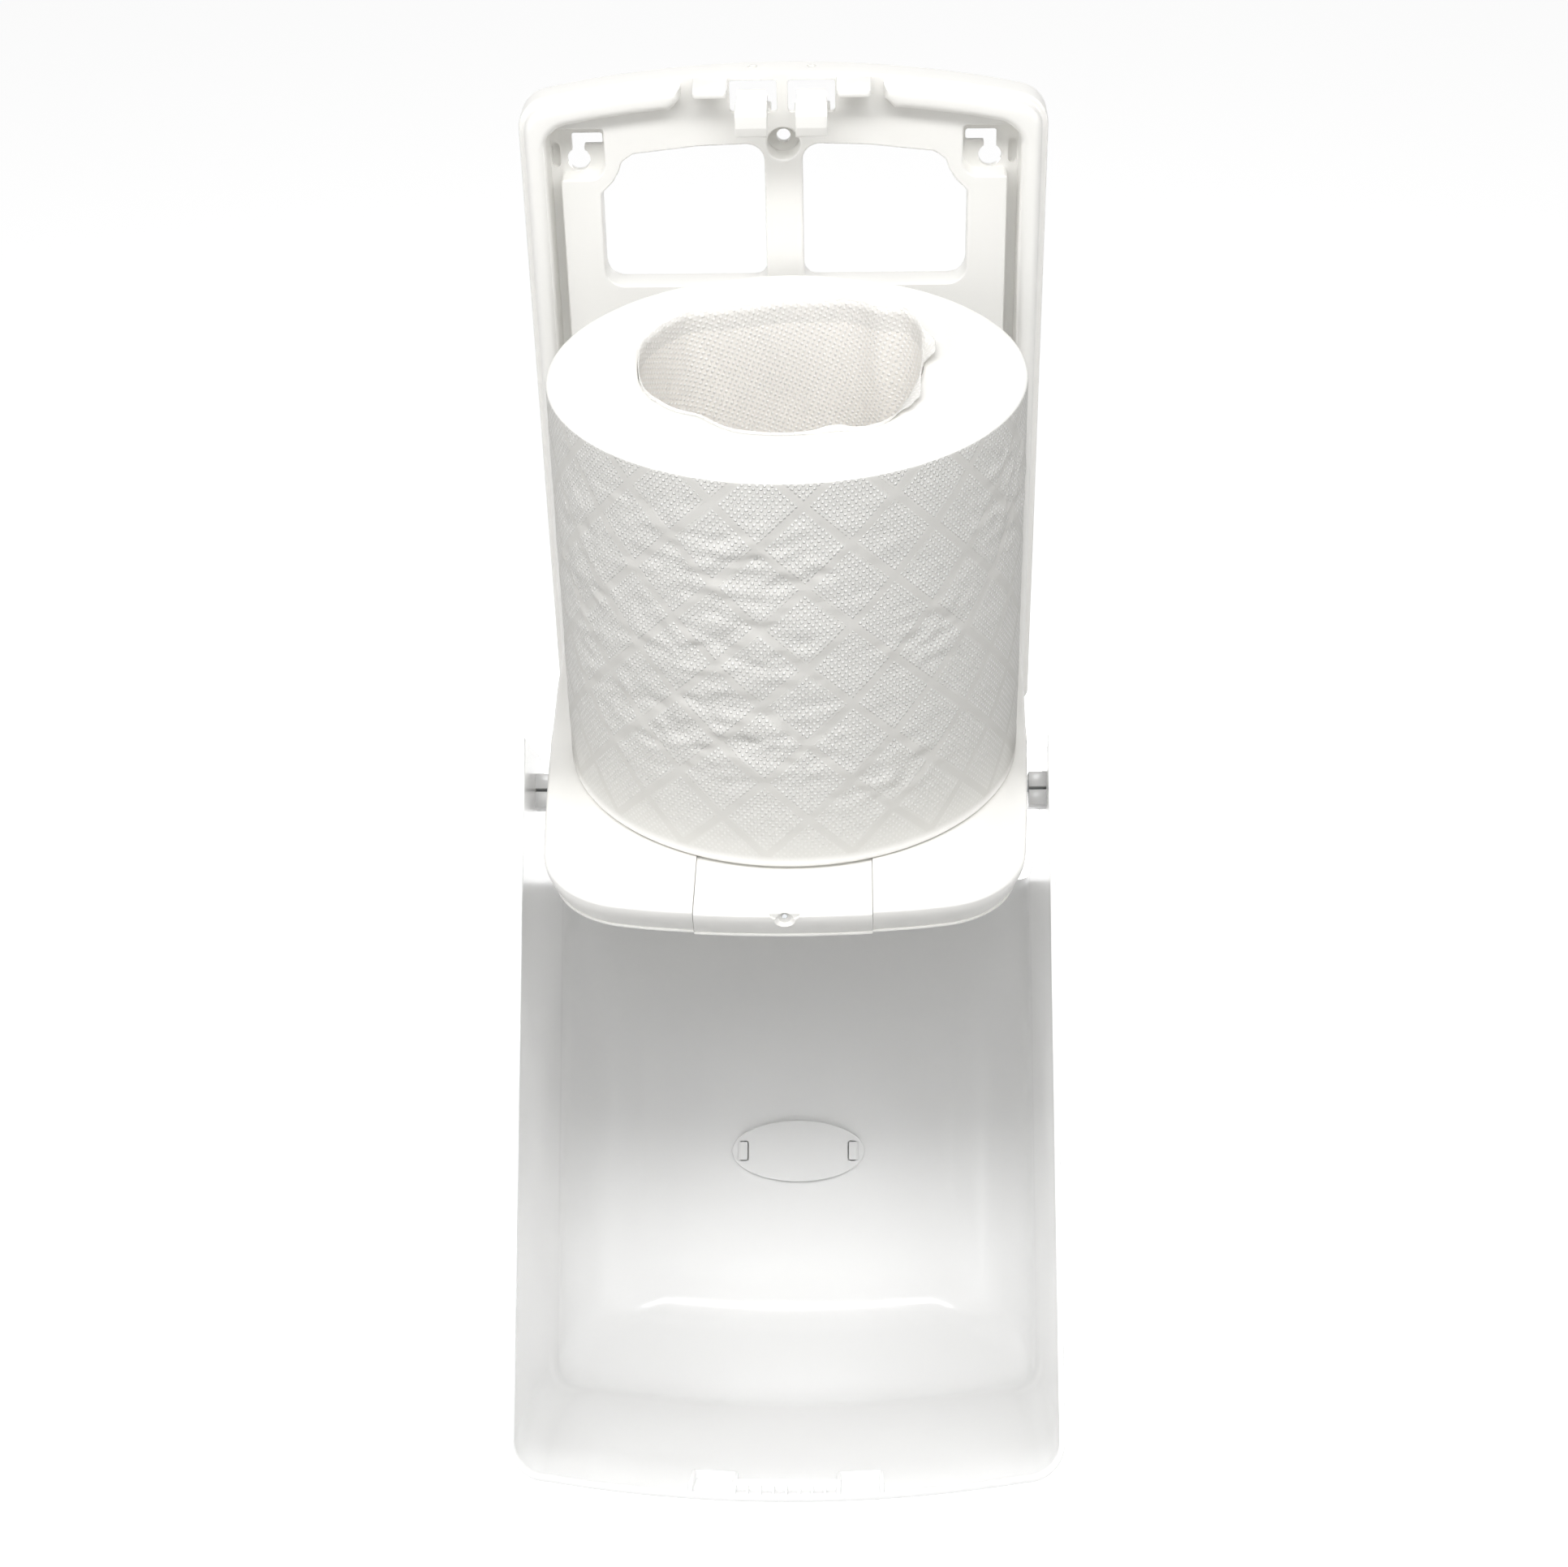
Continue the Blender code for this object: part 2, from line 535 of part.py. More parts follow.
def make_shelf(white):
    shelf = prism("shelf", shelf_outline(), "Z", -SHELF_LIP, 0.0, top_weight=True, material=white)
    bevel(shelf, SHELF_TOP_ROUND, segments=3, limit="WEIGHT")
    hollow = prism("shelf_hollow", shelf_outline(WALL), "Z", -(SHELF_LIP + OVERRUN),
                   -SHELF_THICKNESS, cutter=True)
    combine(shelf, hollow, "DIFFERENCE")

    under = bmesh.new()
    back = -(PLATE_DEPTH + JOINT_GAP)
    add_box(under, (-CHEEK_OUTER_X, back - WALL, BACK_WALL_BOTTOM_Z),
            (CHEEK_OUTER_X, back, -SHELF_THICKNESS / 2))
    combine(shelf, add_object("shelf_back_wall", under, cutter=True), "UNION")
    cheeks = bmesh.new()
    for side in (-1, 1):
        outer, inner = side * CHEEK_OUTER_X, side * (CHEEK_OUTER_X - CHEEK_THICKNESS)
        add_prism(cheeks, cheek_outline(), "X", min(outer, inner), max(outer, inner))
    combine(shelf, add_object("shelf_cheeks", cheeks, cutter=True), "UNION")
    bosses = bmesh.new()
    for side in (-1, 1):
        add_rod(bosses, (side * (CHEEK_OUTER_X - HINGE_BOSS_LENGTH), HINGE_Y, HINGE_Z),
                (side * (CHEEK_OUTER_X - CHEEK_THICKNESS / 2), HINGE_Y, HINGE_Z),
                HINGE_BOSS_RADIUS, sides=24)
    combine(shelf, add_object("shelf_hinge_bosses", bosses, cutter=True), "UNION")

    hooks = bmesh.new()
    skin_back = -(PLATE_DEPTH - WALL)
    for side in (-1, 1):
        left = side * HOOK_SLOT_X - HOOK_WIDTH / 2
        right = side * HOOK_SLOT_X + HOOK_WIDTH / 2
        shape = [(back - WALL / 2, HOOK_Z), (skin_back + JOINT_GAP + HOOK_THICKNESS, HOOK_Z),
                 (skin_back + JOINT_GAP + HOOK_THICKNESS, HOOK_Z + HOOK_THICKNESS + HOOK_RISE),
                 (skin_back + JOINT_GAP, HOOK_Z + HOOK_THICKNESS + HOOK_RISE),
                 (skin_back + JOINT_GAP, HOOK_Z + HOOK_THICKNESS),
                 (back - WALL / 2, HOOK_Z + HOOK_THICKNESS)]
        add_prism(hooks, shape, "X", left, right)
    combine(shelf, add_object("shelf_hooks", hooks, cutter=True), "UNION")

    opening = bmesh.new()
    edge = INSERT_HALF_WIDTH + JOINT_GAP
    add_box(opening, (-edge, -(SHELF_FRONT + OVERRUN), -(SHELF_LIP + OVERRUN)),
            (edge, INSERT_BACK_Y + JOINT_GAP, OVERRUN))
    combine(shelf, add_object("shelf_opening", opening, cutter=True), "DIFFERENCE")

    runners = bmesh.new()
    wall_x = INSERT_HALF_WIDTH + RUNNER_GAP
    ledge_top = -(SHELF_THICKNESS + JOINT_GAP * 2 + INSERT_FLANGE)
    front_y = -(SHELF_FRONT - CROSSBAR_FRONT)
    for side in (-1, 1):
        points = [(wall_x, -SHELF_THICKNESS / 2), (wall_x, ledge_top), (wall_x - RUNNER_LEDGE, ledge_top),
                  (wall_x - RUNNER_LEDGE, ledge_top - RUNNER_THICKNESS),
                  (wall_x + RUNNER_WALL, ledge_top - RUNNER_THICKNESS),
                  (wall_x + RUNNER_WALL, -SHELF_THICKNESS / 2)]
        points = points if side > 0 else mirrored(points)
        add_prism(runners, points, "Y", front_y, INSERT_BACK_Y)
    combine(shelf, add_object("shelf_runners", runners, cutter=True), "UNION")
    bar = bmesh.new()
    bar_top = ledge_top - JOINT_GAP
    add_box(bar, (-(wall_x + RUNNER_WALL), front_y, ledge_top - RUNNER_THICKNESS),
            (wall_x + RUNNER_WALL, front_y + CROSSBAR_DEPTH, bar_top))
    combine(shelf, add_object("shelf_crossbar", bar, cutter=True), "UNION")
    boss = bmesh.new()
    add_box(boss, (-BOSS_HALF_WIDTH, front_y, ledge_top - RUNNER_THICKNESS),
            (BOSS_HALF_WIDTH, front_y + CROSSBAR_DEPTH, INSERT_SCREW_Z + BOSS_RISE))
    combine(shelf, add_object("shelf_screw_boss", boss, cutter=True), "UNION")

    notches = bmesh.new()
    bead_inner = BEAD_INNER_X - JOINT_GAP
    for side in (-1, 1):
        low_x, high_x = sorted((side * bead_inner, side * (PLATE_HALF_WIDTH + OVERRUN)))
        add_box(notches, (low_x, -(PLATE_DEPTH + BEAD_HEIGHT + JOINT_GAP), PLATE_BOTTOM - OVERRUN),
                (high_x, 0.0, OVERRUN))
    combine(shelf, add_object("shelf_bead_notches", notches, cutter=True), "DIFFERENCE")

    bores = bmesh.new()
    add_rod(bores, (0.0, front_y - OVERRUN, INSERT_SCREW_Z),
            (0.0, front_y + CROSSBAR_DEPTH + OVERRUN, INSERT_SCREW_Z),
            SCREW_SHANK_RADIUS + JOINT_GAP, sides=16)
    for side in (-1, 1):
        add_rod(bores, (side * (CHEEK_OUTER_X - HINGE_BOSS_LENGTH - OVERRUN), HINGE_Y, HINGE_Z),
                (side * (CHEEK_OUTER_X + OVERRUN), HINGE_Y, HINGE_Z), PIN_RADIUS + JOINT_GAP,
                sides=24)
    combine(shelf, add_object("shelf_bores", bores, cutter=True), "DIFFERENCE")
    return shelf


def make_hinge_pin(name, side, steel):
    """A headed pin pushed out through the cheek into the cover's lug."""
    head_x = CHEEK_OUTER_X - HINGE_BOSS_LENGTH - JOINT_GAP
    bm = bmesh.new()
    add_rod(bm, (side * (head_x - PIN_HEAD_LENGTH / 2), HINGE_Y, HINGE_Z),
            (side * (lug_bore_end() - JOINT_GAP), HINGE_Y, HINGE_Z), PIN_RADIUS, sides=24)
    pin = add_object(name, bm, material=steel)
    head = rod(f"{name}_head", (side * (head_x - PIN_HEAD_LENGTH), HINGE_Y, HINGE_Z),
               (side * head_x, HINGE_Y, HINGE_Z), PIN_HEAD_RADIUS, sides=24, cutter=True)
    combine(pin, head, "UNION")
    return pin


# Nozzle insert: the panel that slides in from the front and holds the tear nozzle
INSERT_DROP = 0.0006
INSERT_THICKNESS = 0.0024
INSERT_FLANGE = 0.0022
INSERT_FLANGE_REACH = 0.0030
NOZZLE_FLANGE_RADIUS = 0.0280
NOZZLE_FLANGE_THICKNESS = 0.0020
NOZZLE_TOP_RADIUS = 0.0235
NOZZLE_TIP_RADIUS = 0.0085
NOZZLE_LENGTH = 0.0300
NOZZLE_WALL = 0.0018
NOZZLE_SLITS = 8
NOZZLE_SLIT_WIDTH = 0.0014
NOZZLE_SLIT_LENGTH = 0.0110
CLIP_COUNT = 4
CLIP_WIDTH = 0.0080
CLIP_THICKNESS = 0.0016
CLIP_TOE = 0.0016
BOSS_HALF_WIDTH = 0.0050
BOSS_RISE = 0.0021
BOSS_POCKET_GAP = 0.0006


def make_nozzle_insert(white):
    top = -INSERT_DROP
    low = top - INSERT_THICKNESS
    panel_outline = []
    for x, y in shelf_outline():
        panel_outline.append((max(-INSERT_HALF_WIDTH, min(INSERT_HALF_WIDTH, x)), y))
    panel_outline = [point for point in panel_outline if point[1] < -SHELF_FRONT * 0.9]
    front = [point for point in panel_outline if abs(point[0]) < INSERT_HALF_WIDTH * 0.999]
    edge_y = -SHELF_FRONT + SHELF_BOW * (INSERT_HALF_WIDTH / (SHELF_HALF_WIDTH_BACK * 0.914)) ** 2
    outline = [(INSERT_HALF_WIDTH, INSERT_BACK_Y), (INSERT_HALF_WIDTH, edge_y)] + front
    outline += [(-INSERT_HALF_WIDTH, edge_y), (-INSERT_HALF_WIDTH, INSERT_BACK_Y)]
    insert = prism("nozzle_insert", outline, "Z", -SHELF_LIP, top, top_weight=True, material=white)
    bevel(insert, SHELF_TOP_ROUND / 3, segments=2, limit="WEIGHT")
    under = bmesh.new()
    add_box(under, (-(INSERT_HALF_WIDTH + OVERRUN), -(SHELF_FRONT - SHELF_BOW / 4 - WALL),
                    -(SHELF_LIP + OVERRUN)),
            (INSERT_HALF_WIDTH + OVERRUN, INSERT_BACK_Y + OVERRUN, low))
    combine(insert, add_object("insert_hollow", under, cutter=True), "DIFFERENCE")

    flanges = bmesh.new()
    flange_top = -(SHELF_THICKNESS + JOINT_GAP)
    front_y = -(SHELF_FRONT - CROSSBAR_FRONT)
    for side in (-1, 1):
        inner = side * (INSERT_HALF_WIDTH - WALL)
        outer = side * (INSERT_HALF_WIDTH + INSERT_FLANGE_REACH)
        add_box(flanges, (min(inner, outer), front_y, flange_top - INSERT_FLANGE),
                (max(inner, outer), INSERT_BACK_Y, flange_top))
    combine(insert, add_object("insert_flanges", flanges, cutter=True), "UNION")

    clips = bmesh.new()
    seat = low - JOINT_GAP
    toe_top = seat - NOZZLE_FLANGE_THICKNESS - JOINT_GAP
    wall_r = NOZZLE_FLANGE_RADIUS + JOINT_GAP
    for k in range(CLIP_COUNT):
        turn = Matrix.Translation((0.0, ROLL_Y, 0.0)) @ Matrix.Rotation(
            math.pi * (2 * k + 1) / CLIP_COUNT, 4, "Z")
        shape = [(wall_r, low + WALL / 2), (wall_r, toe_top), (wall_r - CLIP_TOE, toe_top),
                 (wall_r - CLIP_TOE, toe_top - CLIP_THICKNESS),
                 (wall_r + CLIP_THICKNESS, toe_top - CLIP_THICKNESS),
                 (wall_r + CLIP_THICKNESS, low + WALL / 2)]
        clip = bmesh.new()
        add_prism(clip, shape, "Y", -CLIP_WIDTH / 2, CLIP_WIDTH / 2)
        bmesh.ops.transform(clip, matrix=turn, verts=clip.verts)
        loose = bpy.data.meshes.new("clip")
        clip.to_mesh(loose)
        clip.free()
        clips.from_mesh(loose)
        bpy.data.meshes.remove(loose)
    combine(insert, add_object("insert_clips", clips, cutter=True), "UNION")

    lug = bmesh.new()
    add_box(lug, (-BOSS_HALF_WIDTH, -(SHELF_FRONT - WALL / 2), -SHELF_LIP),
            (BOSS_HALF_WIDTH, front_y - JOINT_GAP, low + WALL / 2))
    combine(insert, add_object("insert_screw_lug", lug, cutter=True), "UNION")

    cuts = bmesh.new()
    add_rod(cuts, (0.0, ROLL_Y, low - OVERRUN), (0.0, ROLL_Y, top + OVERRUN),
            NOZZLE_TOP_RADIUS - NOZZLE_WALL)
    add_box(cuts, (-(BOSS_HALF_WIDTH + BOSS_POCKET_GAP), front_y - JOINT_GAP / 2, low - OVERRUN),
            (BOSS_HALF_WIDTH + BOSS_POCKET_GAP, front_y + CROSSBAR_DEPTH + BOSS_POCKET_GAP,
             INSERT_SCREW_Z + BOSS_RISE + JOINT_GAP))
    combine(insert, add_object("insert_cuts", cuts, cutter=True), "DIFFERENCE")
    recess = bmesh.new()
    add_rod(recess, (0.0, -(SHELF_FRONT - SCREW_RECESS_DEPTH), INSERT_SCREW_Z),
            (0.0, -(SHELF_FRONT + OVERRUN), INSERT_SCREW_Z), SCREW_RECESS_RADIUS, sides=24)
    combine(insert, add_object("insert_screw_recess", recess, cutter=True), "DIFFERENCE")
    bore = bmesh.new()
    add_rod(bore, (0.0, -(SHELF_FRONT + OVERRUN), INSERT_SCREW_Z),
            (0.0, front_y + OVERRUN, INSERT_SCREW_Z), SCREW_SHANK_RADIUS + JOINT_GAP, sides=16)
    combine(insert, add_object("insert_screw_bore", bore, cutter=True), "DIFFERENCE")
    return insert


def make_tear_nozzle(grey):
    """A flanged cone with a slit tip, turned about the roll's axis and clipped below the panel."""
    seat = -(INSERT_DROP + INSERT_THICKNESS + JOINT_GAP)
    low = seat - NOZZLE_FLANGE_THICKNESS
    tip = seat - NOZZLE_LENGTH
    slope = NOZZLE_WALL * 1.1
    profile = [(NOZZLE_FLANGE_RADIUS, seat), (NOZZLE_FLANGE_RADIUS, low),
               (NOZZLE_TOP_RADIUS, low), (NOZZLE_TIP_RADIUS, tip),
               (NOZZLE_TIP_RADIUS - slope, tip), (NOZZLE_TOP_RADIUS - NOZZLE_WALL, seat)]
    bm = bmesh.new()
    ring = [bm.verts.new((r, 0.0, z)) for r, z in profile]
    for first, second in zip(ring, ring[1:] + ring[:1]):
        bm.edges.new((first, second))
    mesh = bpy.data.meshes.new("tear_nozzle")
    bm.to_mesh(mesh)
    bm.free()
    nozzle = bpy.data.objects.new("tear_nozzle", mesh)
    parts.objects.link(nozzle)
    mesh.materials.append(grey)
    nozzle.location = (0.0, ROLL_Y, 0.0)
    screw = nozzle.modifiers.new("turned", "SCREW")
    screw.steps = ROUND_SIDES
    screw.render_steps = ROUND_SIDES
    screw.use_merge_vertices = True
    screw.merge_threshold = MERGE_DISTANCE
    screw.use_normal_calculate = True
    for k in range(NOZZLE_SLITS // 2):
        turn = Matrix.Translation((0.0, ROLL_Y, 0.0)) @ Matrix.Rotation(
            2 * math.pi * (k + 0.5) / NOZZLE_SLITS, 4, "Z")
        single = bmesh.new()
        add_box(single, (-NOZZLE_TOP_RADIUS, -NOZZLE_SLIT_WIDTH / 2, tip - OVERRUN),
                (NOZZLE_TOP_RADIUS, NOZZLE_SLIT_WIDTH / 2, tip + NOZZLE_SLIT_LENGTH))
        bmesh.ops.transform(single, matrix=turn, verts=single.verts)
        slit = add_object(f"nozzle_slit_{k}", single, cutter=True)
        combine(nozzle, slit, "DIFFERENCE")
    return nozzle


def make_insert_screw(steel):
    """A small pan-head screw through the insert's front edge into the shelf's crossbar."""
    head_back = -(SHELF_FRONT - SCREW_RECESS_DEPTH) - JOINT_GAP
    head_front = head_back - SCREW_HEAD_LENGTH
    screw = rod("insert_screw", (0.0, head_back - SCREW_HEAD_LENGTH / 2, INSERT_SCREW_Z),
                (0.0, head_back + SCREW_SHANK_LENGTH, INSERT_SCREW_Z), SCREW_SHANK_RADIUS,
                sides=16, material=steel)
    head = rod("insert_screw_head", (0.0, head_back, INSERT_SCREW_Z),
               (0.0, head_front, INSERT_SCREW_Z), SCREW_HEAD_RADIUS, SCREW_HEAD_RADIUS * 0.8,
               sides=24, cutter=True)
    combine(screw, head, "UNION")
    cross = bmesh.new()
    arm = SCREW_HEAD_RADIUS * 0.55
    slot = SCREW_HEAD_RADIUS * 0.12
    deep = head_front + SCREW_HEAD_LENGTH * 0.55
    add_box(cross, (-arm, head_front - OVERRUN, INSERT_SCREW_Z - slot),
            (arm, deep, INSERT_SCREW_Z + slot))
    combine(screw, add_object("screw_cross_level", cross, cutter=True), "DIFFERENCE")
    upright = bmesh.new()
    add_box(upright, (-slot, head_front - OVERRUN, INSERT_SCREW_Z - arm),
            (slot, deep, INSERT_SCREW_Z + arm))
    combine(screw, add_object("screw_cross_upright", upright, cutter=True), "DIFFERENCE")
    return screw


# Latch tongues: sprung hooks in the plate's two gaps, pressed down by a two-pronged key
LATCH_PIVOT_Y = -0.0050
LATCH_X = 0.0124
LATCH_ARM_HALF = 0.0060
LATCH_NOSE_HALF = 0.00665
LATCH_REACH = 0.0335
LATCH_TOOTH_TOP = 0.0116
LATCH_PROFILE_SHARES = [(0.0, 0.190), (0.269, 0.345), (0.600, 0.500), (0.603, 1.0), (0.665, 1.0),
                        (0.701, 0.880), (0.701, 0.655), (0.955, 0.517), (0.990, 0.380),
                        (1.0, -0.040), (0.975, -0.360), (0.925, -0.450), (0.880, -0.330),
                        (0.850, -0.020), (0.746, 0.040), (0.269, 0.010), (0.0, -0.185)]


def make_latch_tongue(name, side, white):
    """One tongue: a round root, an arm through the plate, a tooth, a ramp and a turned-down nose."""
    outline = [(LATCH_PIVOT_Y - a * LATCH_REACH, LATCH_PIVOT_Z + b * LATCH_TOOTH_TOP)
               for a, b in LATCH_PROFILE_SHARES]
    centre = side * LATCH_X
    tongue = prism(name, outline, "X", centre - LATCH_ARM_HALF, centre + LATCH_ARM_HALF,
                   material=white)
    bevel(tongue, LATCH_BARREL_RADIUS / 6, segments=1)
    nose_outline = [point for point, share in zip(outline, LATCH_PROFILE_SHARES) if share[0] > 0.7]
    nose_outline = nose_outline[1:]
    nose = prism(f"{name}_nose", nose_outline, "X", centre - LATCH_NOSE_HALF,
                 centre + LATCH_NOSE_HALF, cutter=True)
    bevel(nose, LATCH_BARREL_RADIUS / 5, segments=2)
    combine(tongue, nose, "UNION")
    barrel = rod(f"{name}_root", (centre - LATCH_ARM_HALF, LATCH_PIVOT_Y, LATCH_PIVOT_Z),
                 (centre + LATCH_ARM_HALF, LATCH_PIVOT_Y, LATCH_PIVOT_Z), LATCH_BARREL_RADIUS,
                 sides=16, cutter=True)
    combine(tongue, barrel, "UNION")
    hinge_frame(f"{name}_axis", (centre, LATCH_PIVOT_Y, LATCH_PIVOT_Z), 0.0,
                [tongue, nose, barrel])
    return tongue


# Cover: one moulded shell, drawn closed
COVER_WALL = 0.0026
COVER_RIM_GAP = 0.0008
COVER_RIM_Y = -(PLATE_DEPTH + COVER_RIM_GAP)
COVER_REAR_BOTTOM_Z = -0.0470
COVER_LOW_Y = -0.1120
COVER_LOW_Z = -0.0560
COVER_FRONT_BOTTOM_Z = -0.0125
COVER_CORNER_RADIUS = 0.0160
COVER_PLAN_RADIUS = 0.0400
COVER_TOP_BEND_Y = -0.2080
COVER_TOP_BEND_Z = 0.2405
COVER_BEND_DROP = 0.0385
COVER_FRONT_BEND_Z = COVER_TOP_BEND_Z - COVER_BEND_DROP
COVER_BEND_RADIUS = 0.0240
COVER_FRONT_BOW = 0.0055
COVER_RINGS_ALONG = 8
COVER_RINGS_ROUND = 9
COVER_SIDE_ROWS = 9
COVER_CORNER_ROWS = 6
COVER_TOP_ROWS = 8


def open_path(points, radii, steps):
    """An open line through points with an arc at each inner corner, as one list of places."""
    ring = rounded(list(points), [0.0] + list(radii) + [0.0], steps)
    return [Vector(point) for point in ring]


def resample(path, count):
    """The path again, with its places evenly spaced along it."""
    lengths = [0.0]
    for first, second in zip(path, path[1:]):
        lengths.append(lengths[-1] + (second - first).length)
    result = []
    for k in range(count + 1):
        goal = lengths[-1] * k / count
        index = 0
        while index < len(lengths) - 2 and lengths[index + 1] < goal:
            index += 1
        span = lengths[index + 1] - lengths[index]
        result.append(path[index].lerp(path[index + 1], (goal - lengths[index]) / span))
    return result


def cover_stations():
    """Places along the side wall (y, half width) and along the top wall (y, height) together."""
    side, top, low = [], [], []
    corner_y = -COVER_FRONT + COVER_PLAN_RADIUS
    for k in range(COVER_RINGS_ALONG):
        share = k / COVER_RINGS_ALONG
        y = COVER_RIM_Y + (corner_y - COVER_RIM_Y) * share
        side.append(Vector((y, side_half_width(y))))
        y_top = COVER_RIM_Y + (COVER_TOP_BEND_Y + COVER_BEND_RADIUS / 2 - COVER_RIM_Y) * share
        slope = (COVER_CROWN - COVER_TOP_BEND_Z) / (COVER_RIM_Y - COVER_TOP_BEND_Y)
        top.append(Vector((y_top, COVER_CROWN - slope * (COVER_RIM_Y - y_top))))
        low.append(bottom_edge(y))
    half = side_half_width(corner_y)
    start_top = top[-1].lerp(Vector((COVER_TOP_BEND_Y, COVER_TOP_BEND_Z)), 0.35)
    bend = open_path([start_top, (COVER_TOP_BEND_Y, COVER_TOP_BEND_Z), (-COVER_FRONT, COVER_FRONT_BEND_Z),
                      (-COVER_FRONT, COVER_FRONT_BEND_Z - COVER_BEND_RADIUS / 2)],
                     [COVER_BEND_RADIUS, COVER_BEND_RADIUS], 6)
    bend = resample(bend, COVER_RINGS_ROUND)
    for k in range(COVER_RINGS_ROUND + 1):
        angle = math.pi / 2 * k / COVER_RINGS_ROUND
        y = corner_y - COVER_PLAN_RADIUS * math.sin(angle)
        side.append(Vector((y + front_bow(half - COVER_PLAN_RADIUS) * math.sin(angle),
                            half - COVER_PLAN_RADIUS * (1 - math.cos(angle)))))
        top.append(bend[k])
        low.append(bottom_edge(y))
    return side, top, low


def lug_bore_end():
    """How far out from the centre line the pin's bore in the cover's lug reaches."""
    return side_half_width(HINGE_Y) - COVER_WALL - JOINT_GAP


def side_half_width(y):
    """Half width of the cover, a little barrelled between its rim and its front corners."""
    share = (COVER_RIM_Y - y) / (COVER_FRONT + COVER_RIM_Y)
    return COVER_HALF_WIDTH + COVER_BULGE * math.sin(math.pi * min(1.0, share * 0.95))


def bottom_edge(y):
    """Height of the cover's lower edge: down to the hinge, then up to the front."""
    if y > COVER_LOW_Y:
        share = (COVER_RIM_Y - y) / (COVER_RIM_Y - COVER_LOW_Y)
        return COVER_REAR_BOTTOM_Z + (COVER_LOW_Z - COVER_REAR_BOTTOM_Z) * share
    share = min(1.0, (COVER_LOW_Y - y) / (COVER_FRONT - COVER_PLAN_RADIUS + COVER_LOW_Y))
    ease = share * share * (3 - 2 * share)
    return COVER_LOW_Z + (COVER_FRONT_BOTTOM_Z - COVER_LOW_Z) * ease


def front_bow(x):
    """How far the front wall falls back from its centre line at a distance from it."""
    return COVER_FRONT_BOW * (x / (COVER_HALF_WIDTH - COVER_PLAN_RADIUS)) ** 2


def cover_ring(side, top, low):
    """One ring of the cover, from its lower left edge over the top to its lower right edge."""
    half, crown = side.y, top.y
    radius = COVER_CORNER_RADIUS
    centre_z = arch_height(half - radius, crown, COVER_ARCH_RADIUS) - radius
    right = []
    for k in range(COVER_SIDE_ROWS):
        share = k / COVER_SIDE_ROWS
        z = low + (centre_z - low) * share
        right.append((half, side.x, z))
    for k in range(COVER_CORNER_ROWS + 1):
        angle = math.pi / 2 * k / COVER_CORNER_ROWS
        ease = math.sin(angle) ** 2
        right.append((half - radius * (1 - math.cos(angle)), side.x + (top.x - side.x) * ease,
                      centre_z + radius * math.sin(angle)))
    flat = half - radius
    for k in range(1, COVER_TOP_ROWS // 2 + 1):
        x = flat * (1 - k / (COVER_TOP_ROWS // 2))
        right.append((x, top.x, arch_height(x, crown, COVER_ARCH_RADIUS)))
    left = [(-x, y, z) for x, y, z in right[:-1]]
    return left + list(reversed(right))


def make_cover_shell(white):
    """The shell as rings from the rim to the front, closed by a patch, and given its wall."""
    side, top, low = cover_stations()
    bm = bmesh.new()
    rings = [[bm.verts.new(place) for place in cover_ring(*station)]
             for station in zip(side, top, low)]
    for first, second in zip(rings, rings[1:]):
        for i in range(len(first) - 1):
            bm.faces.new((first[i], first[i + 1], second[i + 1], second[i]))
    last = rings[-1]
    rows = COVER_SIDE_ROWS + COVER_CORNER_ROWS // 2
    across = len(last) - 1 - 2 * rows
    grid = [[None] * (across + 1) for _ in range(rows + 1)]
    for i in range(rows + 1):
        grid[i][0] = last[i]
        grid[i][across] = last[len(last) - 1 - i]
    for j in range(across + 1):
        grid[rows][j] = last[rows + j]
    for i in range(rows):
        left, right = grid[i][0].co, grid[i][across].co
        for j in range(1, across):
            share = j / across
            column = grid[rows][j].co.x / grid[rows][across].co.x
            x = column * right.x
            z = left.z + (grid[rows][j].co.z - grid[rows][0].co.z) * (i / rows) ** 4
            edge = left.y + (grid[rows][j].co.y - grid[rows][0].co.y) * (i / rows)
            y = edge - (front_bow(right.x) - front_bow(x)) * (1 - (i / rows) ** 4)
            grid[i][j] = bm.verts.new((x, y, z if share else left.z))
    for i in range(rows):
        for j in range(across):
            bm.faces.new((grid[i][j], grid[i][j + 1], grid[i + 1][j + 1], grid[i + 1][j]))
    cover = add_object("cover", bm, material=white)
    thick = cover.modifiers.new("wall", "SOLIDIFY")
    thick.thickness = COVER_WALL
    thick.offset = -1.0
    thick.use_even_offset = True
    return cover


# Fittings on the inside of the cover
CATCH_BACK_Y = -0.0220
CATCH_THICKNESS = 0.0024
CATCH_BOTTOM_Z = 0.2569
WEB_COUNT = 7
WEB_PITCH = 0.0052
WEB_THICKNESS = 0.0012
WEB_BOTTOM_Z = 0.2588
POCKET_HALF_INNER = 0.0078
POCKET_WALL = 0.0018
POCKET_RIB_HEIGHT = 0.0025
POCKET_LENGTH = 0.0260
SINK = 0.0008
LUG_GAP = 0.0024
LUG_HALF = 0.0075
LUG_RISE = 0.0020
LUG_SLIT = 0.0030
OVAL_DROP = 0.0826
OVAL_Z = COVER_FRONT_BEND_Z - OVAL_DROP
OVAL_HALF_WIDTH = 0.0328
OVAL_HALF_HEIGHT = 0.0150
OVAL_RECESS = 0.0016
OVAL_PAD = 0.0014
SNAP_SLOT_X = 0.0282
SNAP_SLOT_HALF_WIDTH = 0.0016
SNAP_SLOT_HALF_HEIGHT = 0.0050
BADGE_THICKNESS = 0.0014
SNAP_LEG_HALF = 0.0040
SNAP_LEG_THICKNESS = 0.0012
SNAP_HOOK = 0.0010


